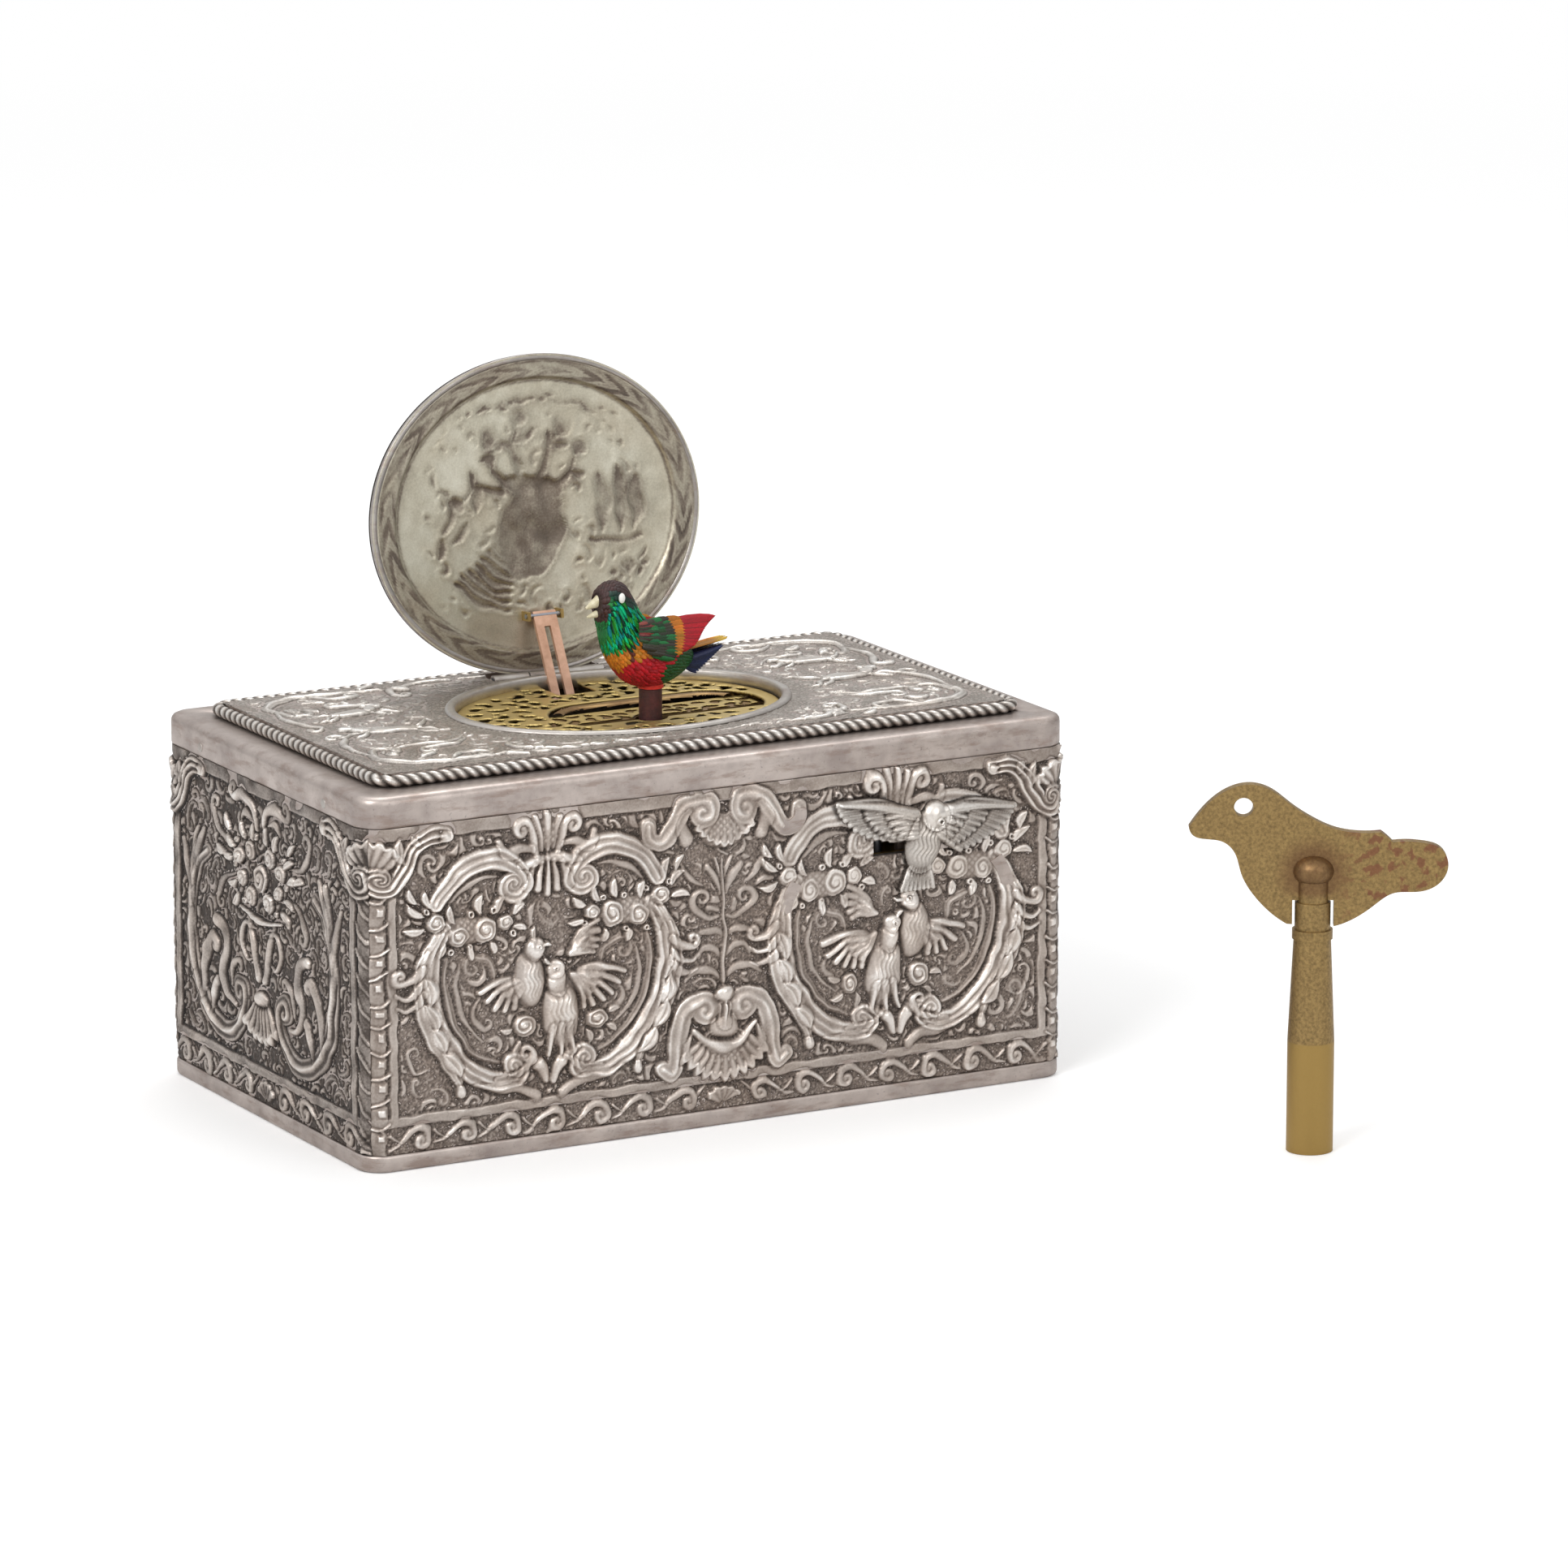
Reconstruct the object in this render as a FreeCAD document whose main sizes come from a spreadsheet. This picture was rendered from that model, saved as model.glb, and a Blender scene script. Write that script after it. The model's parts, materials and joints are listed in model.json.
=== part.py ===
import FreeCAD, Part
import Sketcher
import math
import os
from FreeCAD import Rotation, Vector

# A silver singing bird box, its pop-up bird, the movement inside it and its loose winding key.
# Millimetres and degrees. X runs right, Y runs back, Z runs up, and the origin is the centre of
# the underside. It is drawn as photographed: lid open, bird up, key standing beside the box.

SIZES = {
    # Case
    "case_width": 100.0, "case_depth": 58.0, "case_height": 43.9, "case_round": 3.0,
    "wall": 1.0, "base_thick": 1.0, "band_height": 2.2, "band_overhang": 0.4,
    "key_hole_radius": 3.4, "seat_gap": 0.05, "fit_gap": 0.1, "clear_gap": 0.3,
    # Chasing on the long walls
    "scroll_margin": 8.0, "scroll_foot": 9.0, "scroll_drop": 4.9, "scroll_band": 1.8,
    "chase_rise": 0.5, "low_chase_rise": 0.28, "strip_foot": 5.75, "strip_tall": 1.1,
    "strip_rise": 0.3, "frieze_tall": 1.6,
    # Rail and top
    "rail_height": 4.0, "rail_overhang": 0.45, "rail_wide": 6.4, "rail_inner_round": 2.0,
    "rail_pin_radius": 1.0, "rail_pin_length": 1.0, "rail_pin_apart": 36.0,
    "rope_radius": 0.9, "rope_inset": 3.5, "panel_thick": 1.5,
    # Oval bezel and grille
    "oval_back": -1.0, "oval_half_width": 22.0, "oval_margin": 11.4,
    "bezel_neck": 0.8, "bezel_flange_wide": 2.0, "bezel_flange_deep": 1.3, "bezel_flange_thick": 0.5,
    "grille_thick": 0.6, "door_left": -10.0, "door_right": 19.5, "pierce_radius": 0.9,
    "link_slot_length": 5.5, "link_slot_inset": 0.7, "link_slot_wide": 5.2,
    # Lid and its hinge
    "hinge_inset": 10.0, "hinge_drop": 0.75, "knuckle_radius": 0.7, "knuckle_span": 16.0,
    "lid_knuckle_span": 5.5, "hinge_pin_radius": 0.35, "hinge_recess_deep": 1.3,
    "lid_open": 95.0, "lid_half_width": 24.0, "lid_margin": 8.0, "lid_rest_gap": 0.05,
    "lid_rim_wide": 1.6, "lid_rim_height": 0.9, "lid_dome_height": 1.7, "lid_skin": 0.6,
    # Lid link, the slit copper strap that works the bird
    "link_wide": 4.2, "link_thick": 0.5, "link_length": 13.0, "link_slit_wide": 0.7,
    "link_slit_end": 1.6, "link_lean": 27.8, "link_pivot_front": 7.9, "link_pivot_up": 0.2,
    "link_pin_radius": 0.3, "link_ear_radius": 0.6, "link_ear_thick": 0.4,
    # Shutters under the grille
    "shutter_thick": 0.5, "shutter_gap": 1.6, "shutter_notch": 2.0, "shutter_lap": 1.0,
    "rear_shutter_deep": 4.9, "front_shutter_deep": 5.2, "runner_wide": 1.6, "runner_margin": 2.6,
    # Bird
    "post_side": 3.0, "post_back": -4.0, "post_radius": 1.5, "post_rise": 3.7, "post_foot": 26.5,
    "collar_radius": 1.7, "collar_height": 0.6,
    "body_side": 1.8, "body_rise": 9.0, "body_length": 6.6, "body_wide": 3.9, "body_tall": 4.7,
    "body_lean": 22.0, "head_side": -2.1, "head_rise": 6.6, "head_radius": 2.75,
    "neck_radius": 3.0, "beak_radius": 1.1, "beak_length": 2.9, "lower_beak_radius": 0.8,
    "lower_beak_length": 2.6, "beak_side": -3.6, "beak_rise": 0.5, "beak_dip": 22.0,
    "beak_gape": 12.0, "lower_beak_drop": 1.2, "eye_radius": 0.6, "eye_side": -2.5,
    "eye_rise": 0.9, "eye_apart": 4.8,
    "wing_side": 6.4, "wing_rise": 2.3, "wing_length": 6.4, "wing_tall": 2.6, "wing_thick": 0.6,
    "wing_apart": 8.0, "wing_lean": 10.0, "tail_side": 8.6, "tail_drop": 2.3,
    "tail_length": 6.2, "tail_wide": 3.4, "tail_thick": 0.8, "tail_lift": 33.0,
    # Start slider on the front
    "slider_side": 30.5, "slider_height": 35.0, "slider_wide": 25.0, "slider_tall": 11.0,
    "slider_thick": 1.6, "slider_lift": 0.6, "slider_travel": 6.5, "slot_height": 33.5, "slot_tall": 2.2,
    "stem_wide": 4.0, "guide_thick": 0.8, "guide_margin": 1.5,
    # Movement plates
    "plate_left": -22.0, "plate_right": 47.0, "plate_margin": 3.0, "plate_thick": 1.2,
    "lower_plate_height": 4.0, "upper_plate_height": 24.0, "pillar_radius": 1.6,
    "pillar_inset": 2.8, "plate_screw_radius": 1.5, "plate_screw_head": 1.0,
    "guide_radius": 2.8, "guide_height": 3.5, "running_gap": 0.05,
    # Wheel train
    "gear_module_length": 0.6, "great_teeth": 48, "cam_pinion_teeth": 12, "cam_wheel_teeth": 48,
    "crank_pinion_teeth": 12, "crank_wheel_teeth": 36, "fly_pinion_teeth": 12,
    "barrel_side": 31.0, "barrel_inset": 22.0, "barrel_radius": 12.5, "barrel_wall": 0.8,
    "barrel_height": 11.5, "great_wheel_height": 7.5, "great_wheel_thick": 1.5,
    "cap_thick": 0.7, "spring_height": 8.6, "spring_inner": 3.2, "spring_gap": 0.4,
    "arbor_radius": 1.5, "square_side": 2.1, "arbor_foot": 0.6, "wheel_thick": 1.2,
    "hub_radius": 2.2, "axle_radius": 0.8, "to_cam_turn": 160.0, "to_crank_turn": 168.0,
    "to_fly_turn": 196.0, "cam_wheel_height": 20.2, "crank_wheel_height": 17.0,
    "ratchet_height": 5.7, "ratchet_radius": 5.6, "ratchet_teeth": 24, "ratchet_tooth": 0.8,
    "click_turn": 120.0, "click_far": 9.5, "click_length": 3.4, "click_wide": 1.2,
    "stud_radius": 0.7,
    "fly_radius": 4.5, "fly_height": 9.0, "fly_foot": 6.5, "fly_blade": 0.5,
    "cam_height": 26.4, "cam_thick": 1.2, "cam_radius": 5.2, "cam_offset": 0.6, "cam_step": 1.9,
    "crank_disc_radius": 3.4, "crank_throw": 1.8, "crank_pin_radius": 0.6, "crank_height": 26.0,
    # Bellows, whistle and levers
    "bellows_left": -46.5, "bellows_front": -20.0, "bellows_back": 6.0,
    "bellows_tall": 20.0, "board_thick": 1.4, "bellows_gape": 14.0, "fold_inset": 0.9,
    "rod_wide": 1.6, "rod_thick": 0.8, "rod_eye_radius": 1.5, "board_pin_radius": 0.5,
    "whistle_radius": 2.6, "whistle_wall": 0.6, "whistle_left": -26.0, "whistle_length": 28.0,
    "whistle_inset": 5.4, "whistle_height": 33.6, "piston_length": 8.0, "piston_rod_radius": 0.5,
    "piston_rod_length": 13.0, "bracket_wide": 4.0,
    "lever_side": 27.0, "lever_inset": 10.5, "lever_shaft_radius": 1.0, "lever_shaft_height": 9.6,
    "lever_wide": 1.8, "whistle_lever_turn": 159.0, "bird_lever_turn": 240.0,
    "lever_hub_radius": 2.0, "lever_thick": 1.0, "whistle_lever_length": 14.0,
    "bird_lever_length": 15.5, "stop_side": 18.0, "stop_inset": 8.0, "stop_length": 9.0,
    "stop_turn": -25.0,
    # Winding key
    "key_side": 58.8, "key_back": -75.0, "key_turn": -28.8, "key_stem_radius": 2.95,
    "key_neck_radius": 2.35, "key_straight": 14.2, "key_taper_top": 27.4, "key_ring_height": 1.2,
    "key_ring_radius": 2.55, "key_neck_top": 32.1, "key_ball_radius": 2.65, "key_ball_tall": 4.1,
    "key_ball_height": 36.1, "key_socket_deep": 9.0, "key_bow_thick": 1.5, "key_bow_foot": 29.0,
    "key_bow_wide": 32.4, "key_bow_tall": 18.2, "key_bow_left": -15.6, "key_eye_radius": 1.2,
    "key_slot_wide": 5.2, "key_slot_top": 32.4,
}

# Angles and directions that every such box has
QUARTER_TURN = 90
HALF_TURN = 180
FULL_TURN = 360
SIDES = (-1, 1)
CORNERS = ((1, 1), (-1, 1), (-1, -1), (1, -1))
X_AXIS, Y_AXIS, Z_AXIS = Vector(1, 0, 0), Vector(0, 1, 0), Vector(0, 0, 1)

# Shares of a gear's module or tooth pitch
ADDENDUM_SHARE = 0.8
DEDENDUM_SHARE = 1.2
TOOTH_FOOT_SHARE = 0.50
TOOTH_TIP_SHARE = 0.20

# The key's bow, a plain bird outline in four curves, as shares of its width and height
BOW_CURVES_SHARES = (
    (
        (0.0, 0.70), (0.07, 0.86), (0.145, 0.96), (0.23, 1.0), (0.31, 0.965), (0.39, 0.86),
        (0.475, 0.76), (0.56, 0.69), (0.66, 0.66), (0.74, 0.665),
    ),
    ((0.74, 0.665), (0.765, 0.63), (0.785, 0.595)),
    (
        (0.785, 0.595), (0.845, 0.60), (0.905, 0.59), (0.97, 0.55), (1.0, 0.435), (0.963, 0.30),
        (0.883, 0.245), (0.79, 0.235), (0.713, 0.145), (0.627, 0.045), (0.552, 0.0),
    ),
    ((0.552, 0.0), (0.38, 0.02)),
    (
        (0.38, 0.02), (0.345, 0.06), (0.262, 0.20), (0.20, 0.39), (0.18, 0.51), (0.127, 0.60),
        (0.015, 0.645), (0.0, 0.70),
    ),
)
BOW_EYE_SHARES = (0.21, 0.84)
NECK_SHARE = 0.85

# Shares of the pieces that carry them
BEAK_TIP_SHARE = 0.15
WING_RISE_SHARE = 0.2
WING_TALL_SHARE = 0.22
BODY_DROP_SHARE = 0.05
BODY_WIDE_SHARE = 0.11
RATCHET_BACK_SHARE = 0.15
BOARD_PIN_SHARE = 0.92
BRACKET_SHARES = (0.45, 0.85)
PISTON_START_SHARE = 0.55
CAM_COUNT = 4

# The grille's pierced holes, as shares of the oval's half width and half depth
GRILLE_HOLE_SHARES = (
    (-0.86, 0.0), (-0.76, 0.34), (-0.76, -0.34), (-0.62, 0.6), (-0.62, -0.6), (-0.6, 0.2),
    (-0.6, -0.2), (-0.42, 0.78), (-0.42, -0.78), (-0.3, 0.55), (-0.2, -0.72), (0.0, -0.86),
    (0.2, -0.72), (0.42, -0.78), (0.62, -0.6), (0.3, 0.55), (0.42, 0.78), (0.62, 0.6),
    (0.52, 0.42), (-0.45, 0.42),
)

# The bird's door, from front to back, as shares of the oval's half depth
DOOR_SHARES = (-0.4773, 0.3182)

# The chasing's main forms, as shares of a cartouche's half width and of its height from its foot:
# scroll bands to the right of its middle, then swellings with their half widths and half heights
SCROLL_SHARES = (
    ((0.86, 0.71), (0.96, 0.60), (0.98, 0.45), (0.92, 0.28), (0.74, 0.13), (0.51, 0.04)),
    ((0.92, 0.82), (0.82, 0.90), (0.66, 0.965), (0.47, 0.985), (0.31, 0.96), (0.22, 0.90)),
)
SWELL_SHARES = (
    (0.0, 1.07, 0.12, 0.07), (-0.15, 0.45, 0.12, 0.12), (0.11, 0.30, 0.13, 0.15),
    (-0.68, 0.69, 0.27, 0.055), (0.68, 0.69, 0.27, 0.055),
)
MIDDLE_SCROLL_SHARES = (
    ((0.635, 1.04), (0.62, 0.98), (0.52, 0.96), (0.435, 1.013), (0.335, 1.093), (0.22, 1.12)),
    ((0.52, -0.02), (0.445, -0.043), (0.41, 0.02), (0.39, 0.12), (0.31, 0.22), (0.20, 0.25)),
)
MIDDLE_SWELL_SHARES = ((0.0, 0.98, 0.19, 0.07), (0.0, -0.01, 0.21, 0.09), (0.0, 0.25, 0.07, 0.045))
LOW_FORM_SHARE = 0.65

document = FreeCAD.newDocument("singing_bird_box")
sheet = document.addObject("Spreadsheet::Sheet", "Sizes")
parts = []


class Size:
    """A size: its value, and the rule in the sheet's words that it follows."""

    def __init__(self, rule, value):
        self.rule = rule
        self.value = value

    def __float__(self):
        return float(self.value)

    def __add__(self, other):
        return joined(self, "+", other, float(self) + float(other))

    def __radd__(self, other):
        return joined(other, "+", self, float(other) + float(self))

    def __sub__(self, other):
        return joined(self, "-", other, float(self) - float(other))

    def __rsub__(self, other):
        return joined(other, "-", self, float(other) - float(self))

    def __mul__(self, other):
        return joined(self, "*", other, float(self) * float(other))

    def __rmul__(self, other):
        return joined(other, "*", self, float(other) * float(self))

    def __truediv__(self, other):
        return joined(self, "/", other, float(self) / float(other))

    def __rtruediv__(self, other):
        return joined(other, "/", self, float(other) / float(self))

    def __neg__(self):
        return joined(0, "-", self, -float(self))


def rule_of(item):
    """A size's rule, or a plain number's digits."""
    return item.rule if isinstance(item, Size) else repr(item)


def joined(left, sign, right, value):
    """The size that two others make together."""
    return Size(f"({rule_of(left)} {sign} {rule_of(right)})", value)


def larger(left, right):
    """The larger of two sizes."""
    rules = rule_of(left), rule_of(right)
    rule = f"({rules[0]} > {rules[1]} ? {rules[0]} : {rules[1]})"
    return Size(rule, max(float(left), float(right)))


def smaller(left, right):
    """The smaller of two sizes."""
    rules = rule_of(left), rule_of(right)
    rule = f"({rules[0]} < {rules[1]} ? {rules[0]} : {rules[1]})"
    return Size(rule, min(float(left), float(right)))


def cosine(angle):
    """The cosine of an angle in degrees."""
    return Size(f"cos({rule_of(angle)})", math.cos(math.radians(float(angle))))


def sine(angle):
    """The sine of an angle in degrees."""
    return Size(f"sin({rule_of(angle)})", math.sin(math.radians(float(angle))))


def fill_sheet():
    """Writes each driving dimension to a cell of its own and names the cell."""
    for row, (name, value) in enumerate(SIZES.items(), 1):
        sheet.set(f"A{row}", name)
        sheet.set(f"B{row}", str(value))
        sheet.setAlias(f"B{row}", name)
    document.recompute()


def size(name):
    """The driving dimension of that name, from the sheet."""
    return Size(f"Sizes.{name}", sheet.get(name))


def count(name):
    """A driving number of teeth, from the sheet."""
    return int(sheet.get(name))


def bind(item, rules):
    """Binds an object's properties to the sheet."""
    for name, value in rules.items():
        item.setExpression(name, rule_of(value))


def move(item, x, y, z):
    """Places an object, with each coordinate bound to the sheet."""
    bind(item, {"Placement.Base.x": x, "Placement.Base.y": y, "Placement.Base.z": z})
    return item


def spin(item, axis, angle):
    """Turns an object about an axis through its own origin, by a bound angle."""
    item.Placement = FreeCAD.Placement(Vector(), Rotation(axis, QUARTER_TURN))
    bind(item, {"Placement.Rotation.Angle": angle})
    return item


def rod(x, y, bottom, radius, height):
    """An upright cylinder."""
    item = document.addObject("Part::Cylinder", "Rod")
    bind(item, {"Radius": radius, "Height": height})
    return move(item, x, y, bottom)


def rod_along(axis, x, y, z, radius, length):
    """A cylinder lying along X, or along Y, that starts at a point."""
    item = document.addObject("Part::Cylinder", "Rod")
    bind(item, {"Radius": radius, "Height": length})
    item.Placement = FreeCAD.Placement(Vector(), Rotation(Z_AXIS, axis))
    return move(item, x, y, z)


def block(x, y, bottom, width, depth, height):
    """A box centred on x and y."""
    item = document.addObject("Part::Box", "Block")
    bind(item, {"Length": width, "Width": depth, "Height": height})
    return move(item, x - width / 2, y - depth / 2, bottom)


def span(left, right, front, back, bottom, top):
    """A box between two values on each axis."""
    item = document.addObject("Part::Box", "Block")
    bind(item, {"Length": right - left, "Width": back - front, "Height": top - bottom})
    return move(item, left, front, bottom)


def ball(x, y, z, radius):
    """A sphere."""
    item = document.addObject("Part::Sphere", "Ball")
    bind(item, {"Radius": radius})
    return move(item, x, y, z)


def egg(x, y, z, length, wide, tall, lean=0):
    """An ellipsoid, leaning about Y."""
    item = document.addObject("Part::Ellipsoid", "Egg")
    bind(item, {"Radius1": tall, "Radius2": length, "Radius3": wide})
    if lean:
        spin(item, Y_AXIS, lean)
    return move(item, x, y, z)


def oval(x, y, bottom, half_wide, half_deep, height):
    """An upright oval prism."""
    edge = document.addObject("Part::Ellipse", "OvalEdge")
    long_way = larger(half_wide, half_deep)
    short_way = smaller(half_wide, half_deep)
    turn = Size(f"({rule_of(half_wide)} < {rule_of(half_deep)} ? {QUARTER_TURN} : 0)", 0)
    bind(edge, {"MajorRadius": long_way, "MinorRadius": short_way})
    spin(edge, Z_AXIS, turn)
    move(edge, x, y, bottom)
    item = document.addObject("Part::Extrusion", "Oval")
    item.Base = edge
    item.DirMode = "Custom"
    item.Dir = Z_AXIS
    item.Solid = True
    bind(item, {"LengthFwd": height})
    return item


def fuse(*items):
    """One solid, or one group of solids, from several objects."""
    if len(items) == 1:
        return items[0]
    item = document.addObject("Part::MultiFuse", "Fuse")
    item.Shapes = list(items)
    return item


def group(*items):
    """Several separate solids in one object."""
    item = document.addObject("Part::Compound", "Group")
    item.Links = list(items)
    return item


def cut(base, *tools):
    """An object with others taken out of it."""
    item = document.addObject("Part::Cut", "Cut")
    item.Base = base
    item.Tool = fuse(*tools)
    return item


def common(base, tool):
    """What two objects share."""
    item = document.addObject("Part::Common", "Common")
    item.Base = base
    item.Tool = tool
    return item


def part(label, item):
    """Names a finished sub-part."""
    item.Label = label
    parts.append(item)
    return item


def feature(shape):
    """An object whose shape is worked out in this file."""
    item = document.addObject("Part::Feature", "Made")
    item.Shape = shape
    return item


def role_plane(body, role):
    """One of a body's own origin planes."""
    return next(item for item in body.Origin.OriginFeatures if item.Role == role)


def sketch_on(body, role, offset):
    """A sketch on one of a body's origin planes, raised by a bound offset."""
    sketch = body.newObject("Sketcher::SketchObject", "Sketch")
    sketch.AttachmentSupport = [(role_plane(body, role), "")]
    sketch.MapMode = "FlatFace"
    bind(sketch, {"AttachmentOffset.Base.z": offset})
    return sketch


def name_constraint(sketch, index, name, value):
    """Names a dimension of a sketch and binds it to the sheet."""
    sketch.renameConstraint(index, name)
    bind(sketch, {f"Constraints.{name}": value})


def draw_rounded(sketch, name, width, depth, radius):
    """Draws a rectangle with round corners, centred on the sketch's origin."""
    first = sketch.GeometryCount
    across = float(width) / 2 - float(radius)
    along = float(depth) / 2 - float(radius)
    for place, (x, y) in enumerate(CORNERS):
        start = math.radians(QUARTER_TURN * place)
        circle = Part.Circle(Vector(x * across, y * along, 0), Z_AXIS, float(radius))
        sketch.addGeometry(Part.ArcOfCircle(circle, start, start + math.pi / 2))
    for place in range(len(CORNERS)):
        here = sketch.Geometry[first + place]
        there = sketch.Geometry[first + (place + 1) % len(CORNERS)]
        sketch.addGeometry(Part.LineSegment(here.EndPoint, there.StartPoint))
    for place in range(len(CORNERS)):
        line = first + len(CORNERS) + place
        there = first + (place + 1) % len(CORNERS)
        sketch.addConstraint(Sketcher.Constraint("Tangent", first + place, 2, line, 1))
        sketch.addConstraint(Sketcher.Constraint("Tangent", line, 2, there, 1))
        way = "Vertical" if place % 2 else "Horizontal"
        sketch.addConstraint(Sketcher.Constraint(way, line))
        if place:
            sketch.addConstraint(Sketcher.Constraint("Equal", first, first + place))
    centre = Sketcher.Constraint("Symmetric", first, 3, first + 2, 3, -1, 1)
    sketch.addConstraint(centre)
    round_size = sketch.addConstraint(Sketcher.Constraint("Radius", first, float(radius)))
    wide = Sketcher.Constraint("DistanceX", first + 1, 3, first, 3, 2 * across)
    deep = Sketcher.Constraint("DistanceY", first + 3, 3, first, 3, 2 * along)
    name_constraint(sketch, round_size, name + "_round", radius)
    name_constraint(sketch, sketch.addConstraint(wide), name + "_wide", width - 2 * radius)
    name_constraint(sketch, sketch.addConstraint(deep), name + "_deep", depth - 2 * radius)


def rounded(width, depth, radius, bottom, height, inner=None):
    """A padded body with round corners, hollow when it has an inner width, depth and radius."""
    body = document.addObject("PartDesign::Body", "Body")
    sketch = sketch_on(body, "XY_Plane", bottom)
    draw_rounded(sketch, "outer", width, depth, radius)
    if inner:
        draw_rounded(sketch, "inner", *inner)
    pad = body.newObject("PartDesign::Pad", "Pad")
    pad.Profile = sketch
    bind(pad, {"Length": height})
    return body


def wheel_shape(x, y, bottom, teeth, thick, bore, first_turn):
    """A gear wheel or pinion, with a tooth at first_turn and a round bore."""
    module = float(size("gear_module_length"))
    pitch_radius = module * teeth / 2
    tip_radius = pitch_radius + ADDENDUM_SHARE * module
    foot_radius = pitch_radius - DEDENDUM_SHARE * module
    step = 2 * math.pi / teeth
    points = []
    for tooth in range(teeth):
        middle = math.radians(float(first_turn)) + tooth * step
        for radius, share in (
            (foot_radius, -TOOTH_FOOT_SHARE), (tip_radius, -TOOTH_TIP_SHARE),
            (tip_radius, TOOTH_TIP_SHARE), (foot_radius, TOOTH_FOOT_SHARE),
        ):
            turn = middle + share * step / 2
            points.append(Vector(radius * math.cos(turn), radius * math.sin(turn), 0))
    outline = Part.makePolygon(points + points[:1])
    hole = Part.Wire(Part.makeCircle(float(bore)))
    face = Part.makeFace([outline, hole], "Part::FaceMakerBullseye")
    solid = face.extrude(Vector(0, 0, float(thick)))
    solid.translate(Vector(float(x), float(y), float(bottom)))
    return solid


def lever_shape(length, wide, hub, bore, thick):
    """A flat lever with a round hub at its origin, reaching along its own X."""
    arm = Part.makeBox(float(length), float(wide), float(thick), Vector(0, -float(wide) / 2, 0))
    disc = Part.makeCylinder(float(hub), float(thick))
    hole = Part.makeCylinder(float(bore), float(thick))
    return disc.fuse(arm).cut(hole).removeSplitter()


def lever(x, y, bottom, turn, length, wide, hub, bore, thick):
    """A lever as an object, turned about its hub."""
    item = feature(lever_shape(length, wide, hub, bore, thick))
    spot = Vector(float(x), float(y), float(bottom))
    item.Placement = FreeCAD.Placement(spot, Rotation(Z_AXIS, float(turn)))
    return item


def make_case():
    """The walls, underside, foot band and inner guide of the front slider."""
    inner = width - 2 * wall, depth - 2 * wall, corner - wall
    shell = rounded(width, depth, corner, nothing, size("case_height"), inner)
    stem_left = slider_x - size("stem_wide") / 2 - size("slider_travel") - clear
    stem_right = slider_x + size("stem_wide") / 2 + clear
    slot_foot = size("slot_height") - size("slot_tall") / 2
    slot_top = size("slot_height") + size("slot_tall") / 2
    slot = span(stem_left, stem_right, -half_depth - wall, wall * 3 - half_depth, slot_foot, slot_top)
    part("case_walls", cut(fuse(shell, *make_strips(), *make_chasing()), slot))
    plate_size = inner[0] - 2 * seat, inner[1] - 2 * seat, inner[2] - seat
    plate = rounded(*plate_size, nothing, base_top)
    holes = [rod(barrel_x, barrel_y, -base_top, size("key_hole_radius"), base_top * 3)]
    holes += [rod(x, y, -base_top, screw_shank + seat, base_top * 3) for x, y in pillar_spots]
    holes += [rod(x, y, nothing, head_radius + seat, head_high) for x, y in pillar_spots]
    part("base_plate", cut(plate, *holes))
    lip = size("band_overhang")
    outer_hole = width + 2 * seat, depth + 2 * seat, corner + seat
    band = rounded(width + 2 * lip, depth + 2 * lip, corner + lip, nothing, size("band_height"), outer_hole)
    part("base_moulding", band)
    margin = size("guide_margin")
    guide = span(
        stem_left - margin, stem_right + margin, wall - half_depth,
        wall + size("guide_thick") - half_depth, slot_foot - margin, slot_top + margin,
    )
    opening = span(stem_left, stem_right, -half_depth, wall * 3 - half_depth, slot_foot, slot_top)
    part("slider_guide", cut(guide, opening))


def make_strips():
    """The flat strips that run round all four walls, below and above the chasing."""
    rise, tall = size("strip_rise"), size("frieze_tall")
    outer = width + 2 * rise, depth + 2 * rise, corner + rise
    inner = width - wall, depth - wall, corner - wall / 2
    return [
        rounded(*outer, size("strip_foot"), size("strip_tall"), inner),
        rounded(*outer, size("case_height") - tall, tall, inner),
    ]


def band_shape(points, side, rise):
    """A raised band of even width along a curve through some points, on a long wall."""
    start = side * float(half_depth - wall / 2)
    reach = float(size("scroll_band")) / 2
    lines = [], []
    for place, (x, z) in enumerate(points):
        before, after = points[max(place - 1, 0)], points[min(place + 1, len(points) - 1)]
        run_x, run_z = after[0] - before[0], after[1] - before[1]
        step = math.hypot(run_x, run_z) / reach
        for way, line in zip(SIDES, lines):
            line.append(Vector(x - way * run_z / step, start, z + way * run_x / step))
    edges = [Part.makeLine(lines[0][place], lines[1][place]) for place in (0, -1)]
    for line in lines:
        curve = Part.BSplineCurve()
        curve.interpolate(line)
        edges.append(curve.toShape())
    outline = Part.Face(Part.Wire(Part.__sortEdges__(edges)))
    return outline.extrude(Vector(0, side * float(rise + wall / 2), 0))


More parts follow.
